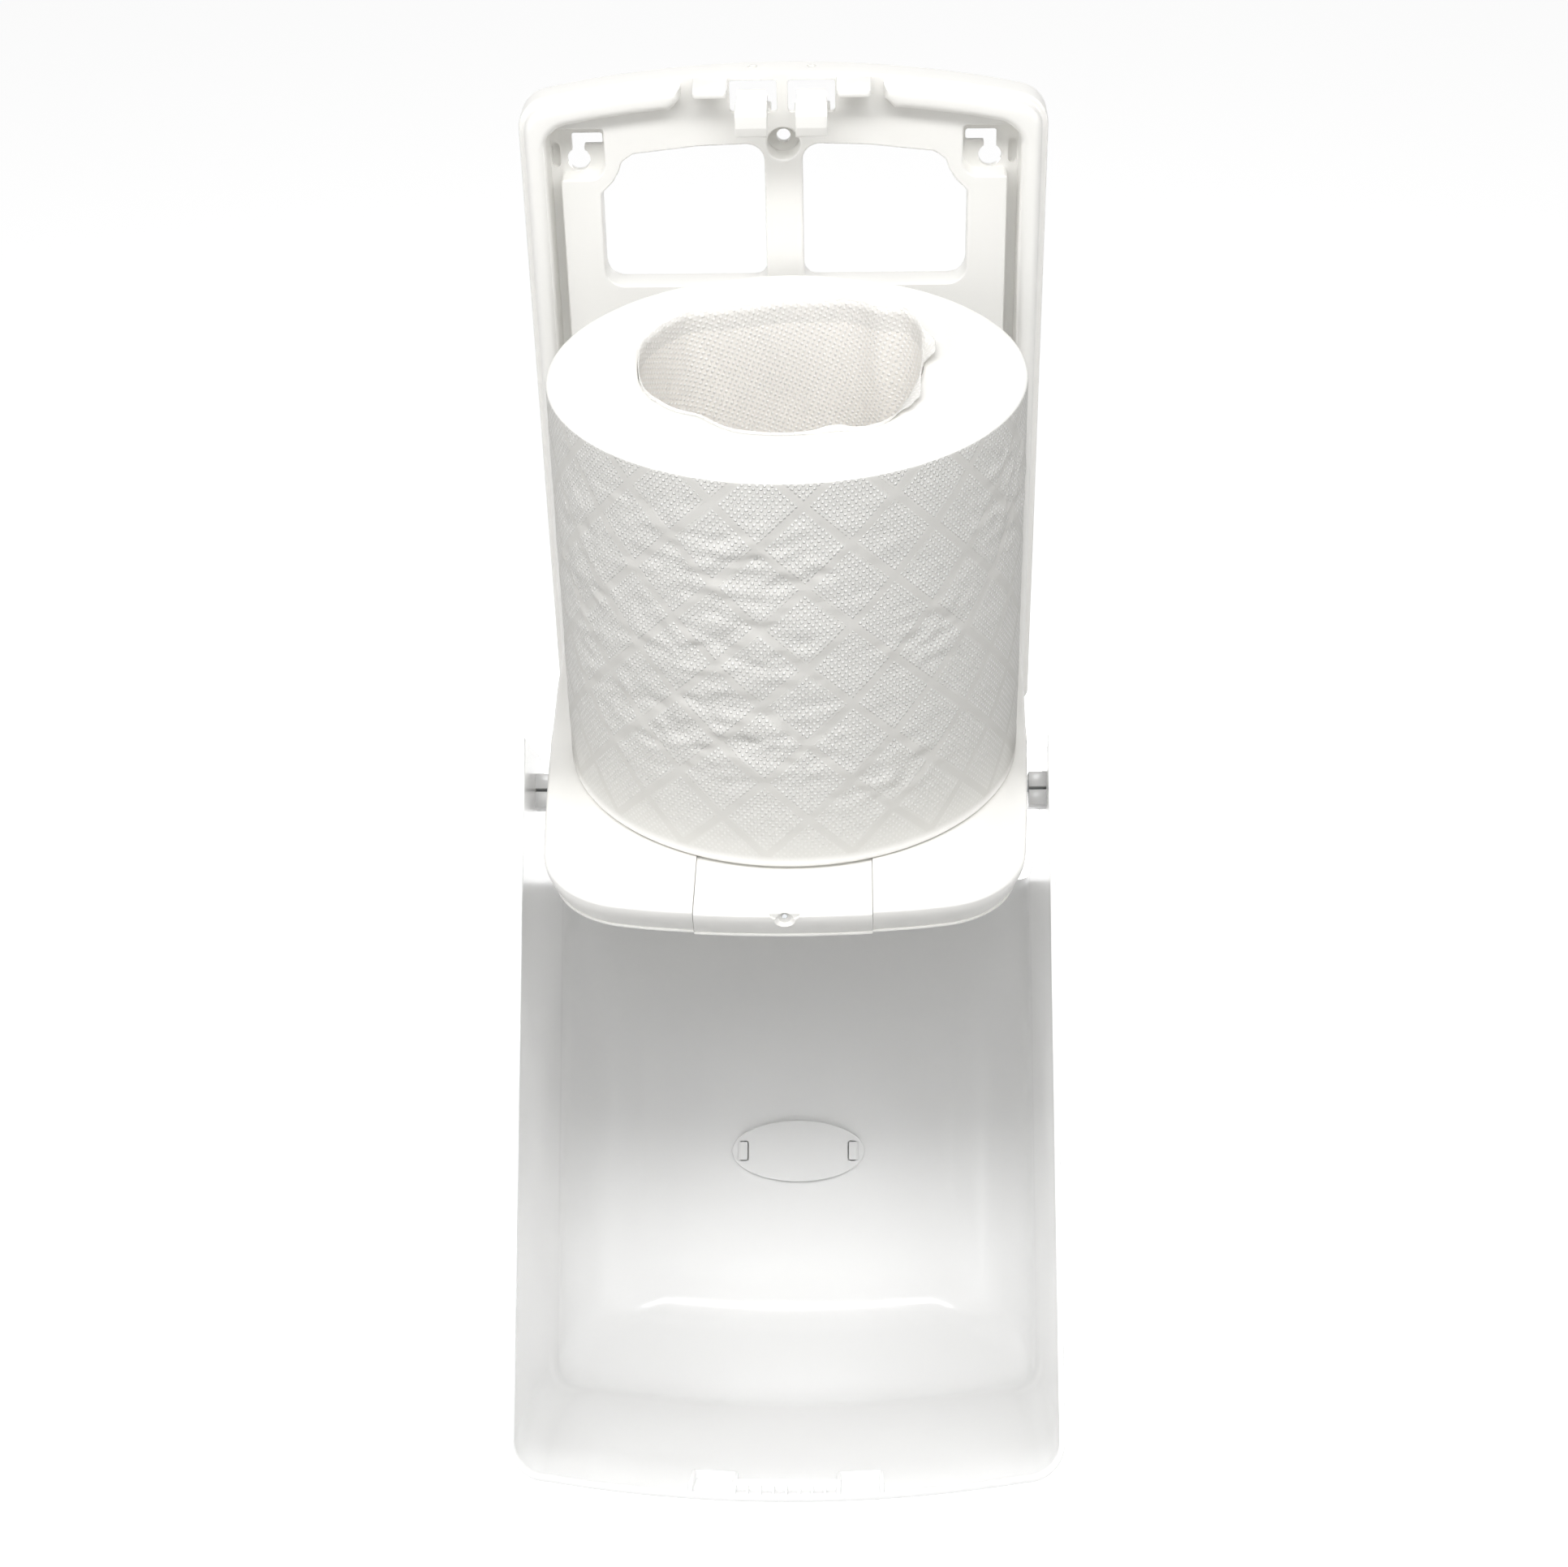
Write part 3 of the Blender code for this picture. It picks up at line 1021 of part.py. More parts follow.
def ellipse(half_width, half_height, centre_z, count=40):
    """An oval outline."""
    return [(half_width * math.cos(2 * math.pi * k / count),
             centre_z + half_height * math.sin(2 * math.pi * k / count)) for k in range(count)]


def cover_top_inner(y):
    """Height of the inside of the top wall on the centre line."""
    slope = (COVER_CROWN - COVER_TOP_BEND_Z) / (COVER_RIM_Y - COVER_TOP_BEND_Y)
    return COVER_CROWN - COVER_WALL - slope * (COVER_RIM_Y - y)


def pocket_rib(x, mouth, end):
    """Side view of a rib that hangs from the top wall, at a distance from the centre line."""
    drop = COVER_CROWN - arch_height(x, COVER_CROWN, COVER_ARCH_RADIUS)
    high_mouth = cover_top_inner(mouth) - drop
    high_end = cover_top_inner(end) - drop
    return [(mouth, high_mouth + SINK), (end, high_end + SINK),
            (end, high_end - POCKET_RIB_HEIGHT), (mouth, high_mouth - POCKET_RIB_HEIGHT)]


def make_cover(white):
    cover = make_cover_shell(white)
    tools = []

    def join(name, bm, operation="UNION"):
        tool = add_object(name, bm, cutter=True)
        combine(cover, tool, operation)
        tools.append(tool)

    catch = bmesh.new()
    catch_half = GUIDE_CENTRE_X - POCKET_HALF_INNER - POCKET_WALL / 2
    add_box(catch, (-catch_half, CATCH_BACK_Y - CATCH_THICKNESS, CATCH_BOTTOM_Z),
            (catch_half, CATCH_BACK_Y, cover_top_inner(CATCH_BACK_Y) + SINK))
    join("cover_catch_rail", catch)
    webs = bmesh.new()
    for k in range(WEB_COUNT):
        x = (k - (WEB_COUNT - 1) / 2) * WEB_PITCH
        add_box(webs, (x - WEB_THICKNESS / 2, CATCH_BACK_Y - CATCH_THICKNESS / 2, WEB_BOTTOM_Z),
                (x + WEB_THICKNESS / 2, COVER_RIM_Y - SINK,
                 cover_top_inner(CATCH_BACK_Y) + SINK))
    join("cover_webs", webs)
    pockets = bmesh.new()
    mouth, end = COVER_RIM_Y - SINK, COVER_RIM_Y - POCKET_LENGTH
    for side in (-1, 1):
        for edge in (-1, 1):
            near = side * GUIDE_CENTRE_X + edge * POCKET_HALF_INNER
            far = near + edge * POCKET_WALL
            add_prism(pockets, pocket_rib(far, mouth, end - POCKET_WALL), "X", *sorted((near, far)))
    join("cover_guide_pockets", pockets)
    stops = bmesh.new()
    for side in (-1, 1):
        centre = side * GUIDE_CENTRE_X
        add_prism(stops, pocket_rib(centre, end, end - POCKET_WALL), "X",
                  centre - POCKET_HALF_INNER - POCKET_WALL / 2,
                  centre + POCKET_HALF_INNER + POCKET_WALL / 2)
    join("cover_pocket_ends", stops)

    lugs = bmesh.new()
    lug_inner = CHEEK_OUTER_X + LUG_GAP
    for side in (-1, 1):
        wall_x = side_half_width(HINGE_Y) - COVER_WALL + SINK
        low_x, high_x = sorted((side * lug_inner, side * wall_x))
        add_box(lugs, (low_x, HINGE_Y - LUG_HALF, HINGE_Z + LUG_RISE - LUG_HALF),
                (high_x, HINGE_Y + LUG_HALF, HINGE_Z + LUG_RISE + LUG_HALF))
    join("cover_lugs", lugs)
    bores = bmesh.new()
    for side in (-1, 1):
        add_rod(bores, (side * (lug_inner - OVERRUN), HINGE_Y, HINGE_Z),
                (side * lug_bore_end(), HINGE_Y, HINGE_Z), PIN_RADIUS + JOINT_GAP, sides=24)
    join("cover_lug_bores", bores, "DIFFERENCE")
    slits = bmesh.new()
    for side in (-1, 1):
        low_x, high_x = sorted((side * (lug_inner - OVERRUN), side * lug_bore_end()))
        add_box(slits, (low_x, HINGE_Y, HINGE_Z + LUG_RISE - LUG_SLIT / 2),
                (high_x, HINGE_Y + LUG_HALF + OVERRUN, HINGE_Z + LUG_RISE + LUG_SLIT / 2))
    join("cover_lug_slits", slits, "DIFFERENCE")

    pad = bmesh.new()
    inner_face = -(COVER_FRONT - COVER_WALL)
    add_prism(pad, ellipse(OVAL_HALF_WIDTH, OVAL_HALF_HEIGHT, OVAL_Z), "Y",
              inner_face - SINK, inner_face + OVAL_PAD)
    join("cover_oval_pad", pad)
    recess = bmesh.new()
    rim = OVAL_HALF_WIDTH - COVER_WALL / 2
    add_prism(recess, ellipse(rim, OVAL_HALF_HEIGHT - COVER_WALL / 2, OVAL_Z), "Y",
              -(COVER_FRONT + OVERRUN), -(COVER_FRONT - OVAL_RECESS))
    join("cover_oval_recess", recess, "DIFFERENCE")
    snaps = bmesh.new()
    for side in (-1, 1):
        add_box(snaps, (side * SNAP_SLOT_X - SNAP_SLOT_HALF_WIDTH, -(COVER_FRONT + OVERRUN),
                        OVAL_Z - SNAP_SLOT_HALF_HEIGHT),
                (side * SNAP_SLOT_X + SNAP_SLOT_HALF_WIDTH, inner_face + OVAL_PAD + OVERRUN,
                 OVAL_Z + SNAP_SLOT_HALF_HEIGHT))
    join("cover_snap_slots", snaps, "DIFFERENCE")
    return cover, tools


def make_badge(white):
    """The blank oval plate that snaps into the front of the cover."""
    seat = -(COVER_FRONT - OVAL_RECESS) - JOINT_GAP
    half_width = OVAL_HALF_WIDTH - COVER_WALL / 2 - JOINT_GAP
    half_height = OVAL_HALF_HEIGHT - COVER_WALL / 2 - JOINT_GAP
    badge = prism("oval_badge", ellipse(half_width, half_height, OVAL_Z), "Y",
                  seat - BADGE_THICKNESS, seat, material=white)
    inside = -(COVER_FRONT - COVER_WALL) + OVAL_PAD + JOINT_GAP
    legs = bmesh.new()
    for side in (-1, 1):
        leg_x = side * SNAP_SLOT_X
        shape = [(leg_x - side * SNAP_LEG_THICKNESS / 2, seat - BADGE_THICKNESS / 2),
                 (leg_x - side * SNAP_LEG_THICKNESS / 2, inside + SNAP_HOOK * 2),
                 (leg_x + side * SNAP_LEG_THICKNESS / 2, inside + SNAP_HOOK * 2),
                 (leg_x + side * (SNAP_SLOT_HALF_WIDTH + SNAP_HOOK), inside + SNAP_HOOK / 2),
                 (leg_x + side * (SNAP_SLOT_HALF_WIDTH + SNAP_HOOK), inside),
                 (leg_x + side * SNAP_LEG_THICKNESS / 2, inside),
                 (leg_x + side * SNAP_LEG_THICKNESS / 2, seat - BADGE_THICKNESS / 2)]
        add_prism(legs, shape, "Z", OVAL_Z - SNAP_LEG_HALF, OVAL_Z + SNAP_LEG_HALF)
    tool = add_object("badge_legs", legs, cutter=True)
    combine(badge, tool, "UNION")
    return badge, [tool]


# Paper roll: the wound sheet with its torn-out middle, and the loose turns inside it
ROLL_EDGE_ROUND = 0.0012
BORE_SHARES = [0.560, 0.571, 0.600, 0.639, 0.647, 0.595, 0.615, 0.615, 0.597, 0.589, 0.582,
               0.587, 0.618, 0.668, 0.670, 0.665, 0.655, 0.631, 0.615, 0.608, 0.601, 0.584,
               0.565, 0.535, 0.555, 0.578, 0.580, 0.580, 0.581, 0.590, 0.626, 0.628, 0.594,
               0.563, 0.548, 0.550]
TURN_GAP = 0.0006
TURN_THICKNESS = 0.0010
TURN_STAND_SHARES = [0.50, 0.52, 0.62, 0.85, 1.00, 0.95, 0.85, 0.75, 0.66, 0.62, 0.60, 0.55,
                     0.50, 0.45, 0.40, 0.35, 0.30, 0.20, 0.12, 0.10, 0.10, 0.10, 0.08, 0.06,
                     0.06, 0.06, 0.06, 0.06, 0.10, 0.30, 0.15, 0.20, 0.35, 0.45, 0.50, 0.50]
TURN_STAND = 0.0085
TURN_BOTTOM_Z = 0.0600


def bore_outline(inset=0.0):
    """The uneven outline of the torn middle, as shares of the roll's radius round the circle."""
    count = len(BORE_SHARES)
    result = []
    for k, share in enumerate(BORE_SHARES):
        angle = 2 * math.pi * k / count
        radius = ROLL_RADIUS * share - inset
        result.append((ROLL_X + radius * math.cos(angle), ROLL_Y + radius * math.sin(angle)))
    return result


def make_roll(paper):
    low, high = JOINT_GAP, JOINT_GAP + ROLL_HEIGHT
    bm = bmesh.new()
    add_rod(bm, (ROLL_X, ROLL_Y, low), (ROLL_X, ROLL_Y, high), ROLL_RADIUS, sides=72)
    roll = add_object("paper_roll", bm, material=paper)
    bevel(roll, ROLL_EDGE_ROUND, segments=2, angle_deg=60.0)
    bore = prism("roll_bore", bore_outline(), "Z", low - OVERRUN, high + OVERRUN, cutter=True)
    combine(roll, bore, "DIFFERENCE")
    return roll


def make_loose_turns(paper):
    """The innermost turns, which have come away from the roll and stand a little above it."""
    outer = bore_outline(TURN_GAP)
    inner = bore_outline(TURN_GAP + TURN_THICKNESS)
    top = JOINT_GAP + ROLL_HEIGHT
    bm = bmesh.new()
    loops = []
    for ring, with_top in ((outer, False), (outer, True), (inner, True), (inner, False)):
        loop = []
        for (x, y), share in zip(ring, TURN_STAND_SHARES):
            z = top + TURN_STAND * share if with_top else TURN_BOTTOM_Z
            loop.append(bm.verts.new((x, y, z)))
        loops.append(loop)
    for first, second in zip(loops, loops[1:] + loops[:1]):
        for i in range(len(first)):
            j = (i + 1) % len(first)
            bm.faces.new((first[i], first[j], second[j], second[i]))
    return add_object("loose_inner_turns", bm, material=paper)


def build():
    clear_scene()
    white = plastic("white_abs", (0.86, 0.86, 0.84), 0.32)
    grey = plastic("white_acetal", (0.82, 0.82, 0.80), 0.40)
    steel = plastic("zinc_plated_steel", (0.62, 0.63, 0.65), 0.30, metallic=1.0)
    paper = plastic("tissue_paper", (0.83, 0.82, 0.79), 0.95)
    make_back_plate(white)
    make_shelf(white)
    make_nozzle_insert(white)
    make_tear_nozzle(grey)
    make_insert_screw(steel)
    make_hinge_pin("hinge_pin_left", -1, steel)
    make_hinge_pin("hinge_pin_right", 1, steel)
    make_latch_tongue("latch_tongue_left", -1, white)
    make_latch_tongue("latch_tongue_right", 1, white)
    cover, cover_tools = make_cover(white)
    badge, badge_tools = make_badge(white)
    hinge_frame("cover_axis", (0.0, HINGE_Y, HINGE_Z), COVER_OPEN_DEG,
                [cover, badge] + cover_tools + badge_tools)
    make_roll(paper)
    make_loose_turns(paper)


build()
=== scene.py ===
"""Looks of the centre-pull paper roll dispenser, open, with a part-used roll on its shelf.

Metres, +Z up. The origin lies on the wall face of the back plate, on the centre line, level with
the top of the shelf. +Y points into the wall, -Y at the user and +X to the user's right.
"""

import math

import bmesh
import bpy
import numpy as np
from mathutils import Matrix, Vector, geometry, noise


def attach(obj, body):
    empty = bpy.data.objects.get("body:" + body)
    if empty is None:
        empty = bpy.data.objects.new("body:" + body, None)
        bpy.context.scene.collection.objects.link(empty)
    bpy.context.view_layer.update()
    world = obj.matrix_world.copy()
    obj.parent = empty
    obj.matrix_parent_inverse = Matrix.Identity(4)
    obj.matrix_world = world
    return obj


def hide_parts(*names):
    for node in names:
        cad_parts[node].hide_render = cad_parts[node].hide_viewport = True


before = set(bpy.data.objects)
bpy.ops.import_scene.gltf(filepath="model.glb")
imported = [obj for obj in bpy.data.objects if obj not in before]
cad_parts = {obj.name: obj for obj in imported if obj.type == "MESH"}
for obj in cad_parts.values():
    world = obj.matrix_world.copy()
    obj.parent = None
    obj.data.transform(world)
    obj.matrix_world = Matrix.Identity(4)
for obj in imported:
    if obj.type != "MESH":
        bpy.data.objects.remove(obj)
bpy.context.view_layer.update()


# Camera. The photographer stood a little to the right, about a metre away, and looked down by
# some 34 degrees. The place, the turn and the focal length were solved from the mouldings' edges.
IMAGE_WIDTH = 1932
FOCAL_PIXELS = 3351.6
SENSOR = 36.0
CAMERA_PLACE = (0.02928, -1.11134, 0.64195)
YAW, PITCH, ROLL = (math.radians(a) for a in (1.819, 33.792, 1.276))


def placed(name, data):
    """A new object in the scene for a mesh, a lamp or a camera."""
    made = bpy.data.objects.new(name, data)
    bpy.context.scene.collection.objects.link(made)
    return made


ahead = Vector((-math.sin(YAW) * math.cos(PITCH), math.cos(YAW) * math.cos(PITCH),
                -math.sin(PITCH)))
level_right = Vector((math.cos(YAW), math.sin(YAW), 0.0))
level_down = ahead.cross(level_right)
right = math.cos(ROLL) * level_right + math.sin(ROLL) * level_down
down = math.cos(ROLL) * level_down - math.sin(ROLL) * level_right
lens = bpy.data.cameras.new("camera")
lens.sensor_width = SENSOR
lens.lens = FOCAL_PIXELS / IMAGE_WIDTH * SENSOR
camera = placed("camera", lens)
camera.matrix_world = Matrix([(right[i], -down[i], -ahead[i], CAMERA_PLACE[i])
                              for i in range(3)] + [(0, 0, 0, 1)])
bpy.context.scene.camera = camera


# Back plate. One white ABS moulding that hangs on the wall: a shallow tray with a thick rounded
# rim, two windows, keyhole pockets and a gap for each latch tongue.
ABS_WHITE = "F1F0ED"
ABS_IOR = 1.54
# Noise per metre: the melt's drift over some 110 mm, and the wear of handling over some 18 mm.
FLOW_SCALE, HANDLING_SCALE = 9.0, 55.0


def linear(hex_colour):
    """An sRGB hex value as the linear colour that Blender's nodes take."""
    shares = [int(hex_colour[i:i + 2], 16) / 255 for i in (0, 2, 4)]
    return tuple(s / 12.92 if s <= 0.04045 else ((s + 0.055) / 1.055) ** 2.4
                 for s in shares) + (1.0,)


def add(tree, kind, inputs=(), **settings):
    """Add a node. Inputs pairs a socket's name or number with a value, a node or its output."""
    made = tree.nodes.new(kind)
    for name, value in settings.items():
        setattr(made, name, value)
    for socket, value in dict(inputs).items():
        if isinstance(value, bpy.types.Node):
            value = value.outputs[0]
        if isinstance(value, bpy.types.NodeSocket):
            tree.links.new(value, made.inputs[socket])
        else:
            made.inputs[socket].default_value = value
    return made


def new_material(name):
    """An empty material and its node tree."""
    made = bpy.data.materials.new(name)
    made.use_nodes = True
    made.node_tree.nodes.clear()
    return made, made.node_tree


def moulded_abs(name, colour, shade, roughness, sheen_span, grain_mm, grain_depth):
    """White ABS from a polished or spark-finished tool.

    The eye gets an even, slightly warm white, a soft gloss whose sharpness drifts a little with
    the melt flow, and a fine grain that only shows where light grazes it.
    """
    made, tree = new_material(name)
    place = add(tree, "ShaderNodeTexCoord").outputs["Object"]
    flow = add(tree, "ShaderNodeTexNoise", {"Vector": place, "Scale": FLOW_SCALE,
                                            "Detail": 3.0, "Roughness": 0.5})
    tint = add(tree, "ShaderNodeMix", {"Factor": flow, "A": linear(colour), "B": linear(shade)},
               data_type="RGBA").outputs["Result"]
    handling = add(tree, "ShaderNodeTexNoise", {"Vector": place, "Scale": HANDLING_SCALE,
                                                "Detail": 4.0, "Roughness": 0.6})
    gloss = add(tree, "ShaderNodeMapRange", {"Value": handling, "From Min": 0.3, "From Max": 0.7,
                                             "To Min": roughness, "To Max": roughness + sheen_span})
    grain = add(tree, "ShaderNodeTexNoise", {"Vector": place, "Scale": 1000.0 / grain_mm,
                                             "Detail": 2.0, "Roughness": 0.55})
    bump = add(tree, "ShaderNodeBump", {"Height": grain, "Strength": 0.35,
                                        "Distance": grain_depth})
    shader = add(tree, "ShaderNodeBsdfPrincipled", {"Base Color": tint, "Roughness": gloss,
                                                    "Normal": bump, "IOR": ABS_IOR})
    add(tree, "ShaderNodeOutputMaterial", {"Surface": shader})
    return made


satin_abs = moulded_abs("satin_moulded_abs", ABS_WHITE, "EFEEEA", 0.30, 0.04, 0.9, 0.00001)


def coat(obj, material):
    """Give the whole piece one material."""
    obj.data.materials.clear()
    obj.data.materials.append(material)


def smooth(share):
    """Ease a share from 0 to 1 in and out."""
    share = min(1.0, max(0.0, share))
    return share * share * (3 - 2 * share)


def rounded(points, radii, steps=6, closed=True):
    """A line through points with an arc of its own radius at each corner."""
    places, count = [Vector(point) for point in points], len(points)
    made = []
    for i, corner in enumerate(places):
        radius = radii[i] if isinstance(radii, (list, tuple)) else radii
        if radius <= 0.0 or (not closed and i in (0, count - 1)):
            made.append(corner.copy())
            continue
        before = (places[i - 1] - corner).normalized()
        after = (places[(i + 1) % count] - corner).normalized()
        half = before.angle(after) / 2
        centre = corner + (before + after).normalized() * (radius / math.sin(half))
        start = corner + before * (radius / math.tan(half)) - centre
        sweep = start.angle_signed(corner + after * (radius / math.tan(half)) - centre)
        made += [centre + Matrix.Rotation(-sweep * k / steps, 2) @ start for k in range(steps + 1)]
    return made


def as_mesh(name, bm):
    """Turn a bmesh into a plain mesh and free it."""
    mesh = bpy.data.meshes.new(name)
    bm.to_mesh(mesh)
    bm.free()
    return mesh


def shaded(piece, sharp_deg=35.0):
    """Smooth shading that leaves each edge sharper than the angle crisp."""
    piece.data.shade_smooth()
    piece.data.set_sharp_from_angle(angle=math.radians(sharp_deg))
    return piece


def finish_mesh(name, bm, material, sharp_deg=40.0):
    """Turn a bmesh into a smooth-shaded piece of one material, its faces outwards."""
    bmesh.ops.recalc_face_normals(bm, faces=bm.faces)
    piece = placed(name, as_mesh(name, bm))
    coat(piece, material)
    return shaded(piece, sharp_deg)


def bake_modifiers(piece):
    """Turn a piece and its modifiers into a plain mesh, and drop what cut it."""
    made = bpy.data.meshes.new_from_object(
        piece.evaluated_get(bpy.context.evaluated_depsgraph_get()))
    tools = [m.object for m in piece.modifiers if m.type == "BOOLEAN"]
    piece.modifiers.clear()
    piece.data = made
    for tool in tools:
        bpy.data.objects.remove(tool)
    return piece


def add_band(bm, first, second):
    """Close the strip between two rings of corners."""
    for i in range(len(first)):
        j = (i + 1) % len(first)
        bm.faces.new((first[i], first[j], second[j], second[i]))


def add_slab(bm, low, high):
    """A closed solid between two rings of places."""
    near, far = ([bm.verts.new(place) for place in ring] for ring in (low, high))
    bm.faces.new(near)
    bm.faces.new(far[::-1])
    add_band(bm, near, far)
    return bm


def add_prism(bm, outline, axis, low, high):
    """Extrude an outline along an axis. A Y prism takes (x, z), an X prism (y, z), a Z one (x, y)."""
    def place(a, b, depth):
        return {"X": (depth, a, b), "Y": (a, depth, b), "Z": (a, b, depth)}[axis]
    return add_slab(bm, *([place(a, b, depth) for a, b in outline] for depth in (low, high)))


def add_rod(bm, start, end, radius, end_radius=None):
    """A round bar or cone between two points."""
    start, end = Vector(start), Vector(end)
    axis = end - start
    turn = axis.to_track_quat("Z", "Y").to_matrix().to_4x4()
    bmesh.ops.create_cone(bm, cap_ends=True, segments=ROUND_SIDES, radius1=radius,
                          radius2=radius if end_radius is None else end_radius,
                          depth=axis.length, matrix=Matrix.Translation((start + end) / 2) @ turn)
    return bm


def cut(piece, bm, operation="DIFFERENCE", crossing=False):
    """Take a shape from a piece, or add it. Crossing is for pieces whose own shells cross."""
    bmesh.ops.recalc_face_normals(bm, faces=bm.faces)
    change = piece.modifiers.new("change", "BOOLEAN")
    change.operation = operation
    change.solver = "EXACT"
    change.use_self = crossing
    change.object = placed("tool", as_mesh("tool", bm))
    return bake_modifiers(piece)


def soften(piece, width, segments=2, angle_deg=50.0):
    """Round a piece's sharp edges, as its tool does."""
    edge = piece.modifiers.new("edge", "BEVEL")
    edge.width = width
    edge.segments = segments
    edge.angle_limit = math.radians(angle_deg)
    return shaded(bake_modifiers(piece))


def finish_moulding(name, bm, body, material, width, place=None):
    """A small moulded detail with softened edges that rides on a body."""
    piece = soften(finish_mesh(name, bm, material), width)
    if place is not None:
        piece.data.transform(place)
    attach(piece, body)
    return piece


PLATE_HALF_WIDTH = 0.1110
PLATE_CROWN = 0.2608
PLATE_BOTTOM = -0.0470
PLATE_DEPTH = 0.0130
PLATE_ARCH_RADIUS = 0.5050
PLATE_CORNER_RADIUS = 0.0140
PLATE_FOOT_RADIUS = 0.0060
PLATE_EDGE = 0.0010
WALL = 0.0025
HOLLOW_INSET = 0.0018
DRAFT = 0.00015
FILLET = 0.0003
BEAD_INSET = 0.0026
BEAD_WIDTH = 0.0090
BEAD_HEIGHT = 0.0075
BEAD_ROUND = 0.0034
BEAD_END_X = 0.0422
BEAD_END_CHAMFER = 0.0045
BEAD_END_Z = -0.0300
BEAD_INNER_X = PLATE_HALF_WIDTH - BEAD_INSET - BEAD_WIDTH
RECESS_FLOOR = 0.0030
RECESS_INNER_X = 0.0755
RECESS_SILL_Z = 0.2148
RECESS_HEIGHT = 0.0222
RECESS_ROUND = 0.0070
RECESS_EDGE = 0.0008
GROOVE_INNER_X = 0.0945
GROOVE_BOTTOM_Z = 0.0060
WINDOW_INNER_X = 0.0080
WINDOW_WIDTH = 0.0698
WINDOW_SILL_Z = 0.1665
WINDOW_HEIGHT = 0.0634
WINDOW_SHARES = ((0.0, 0.0), (1.0, 0.0), (1.0, 0.658), (0.924, 0.741), (0.881, 0.820),
                 (0.866, 0.880), (0.796, 0.935), (0.400, 0.985), (0.0, 1.0))
WINDOW_ROUNDS = (0.0055, 0.0080, 0.0030, 0.0030, 0.0060, 0.0040, 0.0040, 0.0300, 0.0075)
WINDOW_WALL = 0.0020
WINDOW_EDGE = 0.0008
LATCH_X = 0.0124
CUTOUT = ((0.0023, 0.2436), (0.0220, 0.2572))
CUTOUT_ROUND = 0.0012
CUTOUT_EDGE = 0.0004
WELL_RADIUS = 0.0058
WELL_FLARE = 0.0012
SCREW_Z = 0.2298
SCREW_HOLE_RADIUS = 0.0030
BOSS_WALL = 0.0020
PAD_HALF_WIDTH = 0.0200
PAD_HALF_HEIGHT = 0.0300
KEYHOLE_X = 0.0873
KEYHOLE_Z = 0.2203
KEYHOLE_RADIUS = 0.0049
KEY_SLOT = 0.0053
KEY_SLOT_Z = 0.2293
KEY_SLOT_END_X = 0.0768
KEY_SLOT_ROUND = 0.0012
SIDE_SLOT_X = 0.0969
SIDE_SLOT_DEPTH = 0.0020
SIDE_SLOT_LOW_Z = 0.2170
SIDE_SLOT_LENGTH = 0.0105
SIDE_SLOT_WIDTH = 0.0036
PRONG_Y = -0.0054
PRONG_RADIUS = 0.0020
HOOK_SLOT_X = 0.0600
HOOK_SLOT_HALF = 0.0103
HOOK_SLOT_LOW_Z, HOOK_SLOT_HIGH_Z = -0.0203, -0.0113
LATCH_BLOCK_HALF = 0.0075
LATCH_BLOCK_LOW_Z, LATCH_BLOCK_HIGH_Z = 0.2380, 0.2440
GUIDE_CENTRE_X = 0.02975
GUIDE_WIDTH = 0.0145
GUIDE_LENGTH = 0.0142
GUIDE_ROOT_Z = 0.2590
GUIDE_DROP = 0.0022
GUIDE_THICKNESS = 0.0028
GUIDE_ROUND = 0.0020
ARCH_STEPS = 40
CORNER_STEPS = 8
ROUND_SIDES = 48
SINK = 0.0008
OVERRUN = 0.0020
SMALL_ROUND = 0.0004
# Rings drawn beside an edge of the plate, as shares of its rounding, and its sharpest soft edge.
EDGE_SHARES = (0.1, 0.3, 0.6, 1.0, 1.3)
PLATE_SHARP_DEG = 32.0
# How much of the arch a top corner takes, in its own radii, and the longest mitre of a shifted line.
ARCH_TRIM = 1.4
MITRE_SHARE = 0.25


def rectangle(half_width, half_height, centre, radius):
    """An upright rectangle with round corners."""
    x, z = centre
    return rounded([(x - half_width, z - half_height), (x + half_width, z - half_height),
                    (x + half_width, z + half_height), (x - half_width, z + half_height)], radius)


def mirrored(outline):
    """The same outline on the other side of the centre line."""
    return [(-x, z) for x, z in reversed([tuple(point) for point in outline])]


def arch_line(half, crown, radius):
    """The arched top from right to left, on its own radius."""
    return [(x, crown - radius + math.sqrt(radius ** 2 - x ** 2))
            for x in (half * (1 - 2 * k / ARCH_STEPS) for k in range(ARCH_STEPS + 1))]


def plate_outline(inset=0.0, low=PLATE_BOTTOM):
    """Front view of the plate: straight sides and an arched top with round corners."""
    half, corner = PLATE_HALF_WIDTH - inset, PLATE_CORNER_RADIUS - min(inset, BEAD_INSET)
    near = [point for point in arch_line(half, PLATE_CROWN - inset, PLATE_ARCH_RADIUS - inset)
            if abs(point[0]) < half - corner * ARCH_TRIM]
    edge = arch_line(half, PLATE_CROWN - inset, PLATE_ARCH_RADIUS - inset)[0]
    points = [(-half, low + inset), (half, low + inset), edge] + near + [(-edge[0], edge[1])]
    foot = max(0.0, PLATE_FOOT_RADIUS - inset)
    return rounded(points, [foot, foot, corner] + [0.0] * len(near) + [corner], CORNER_STEPS)


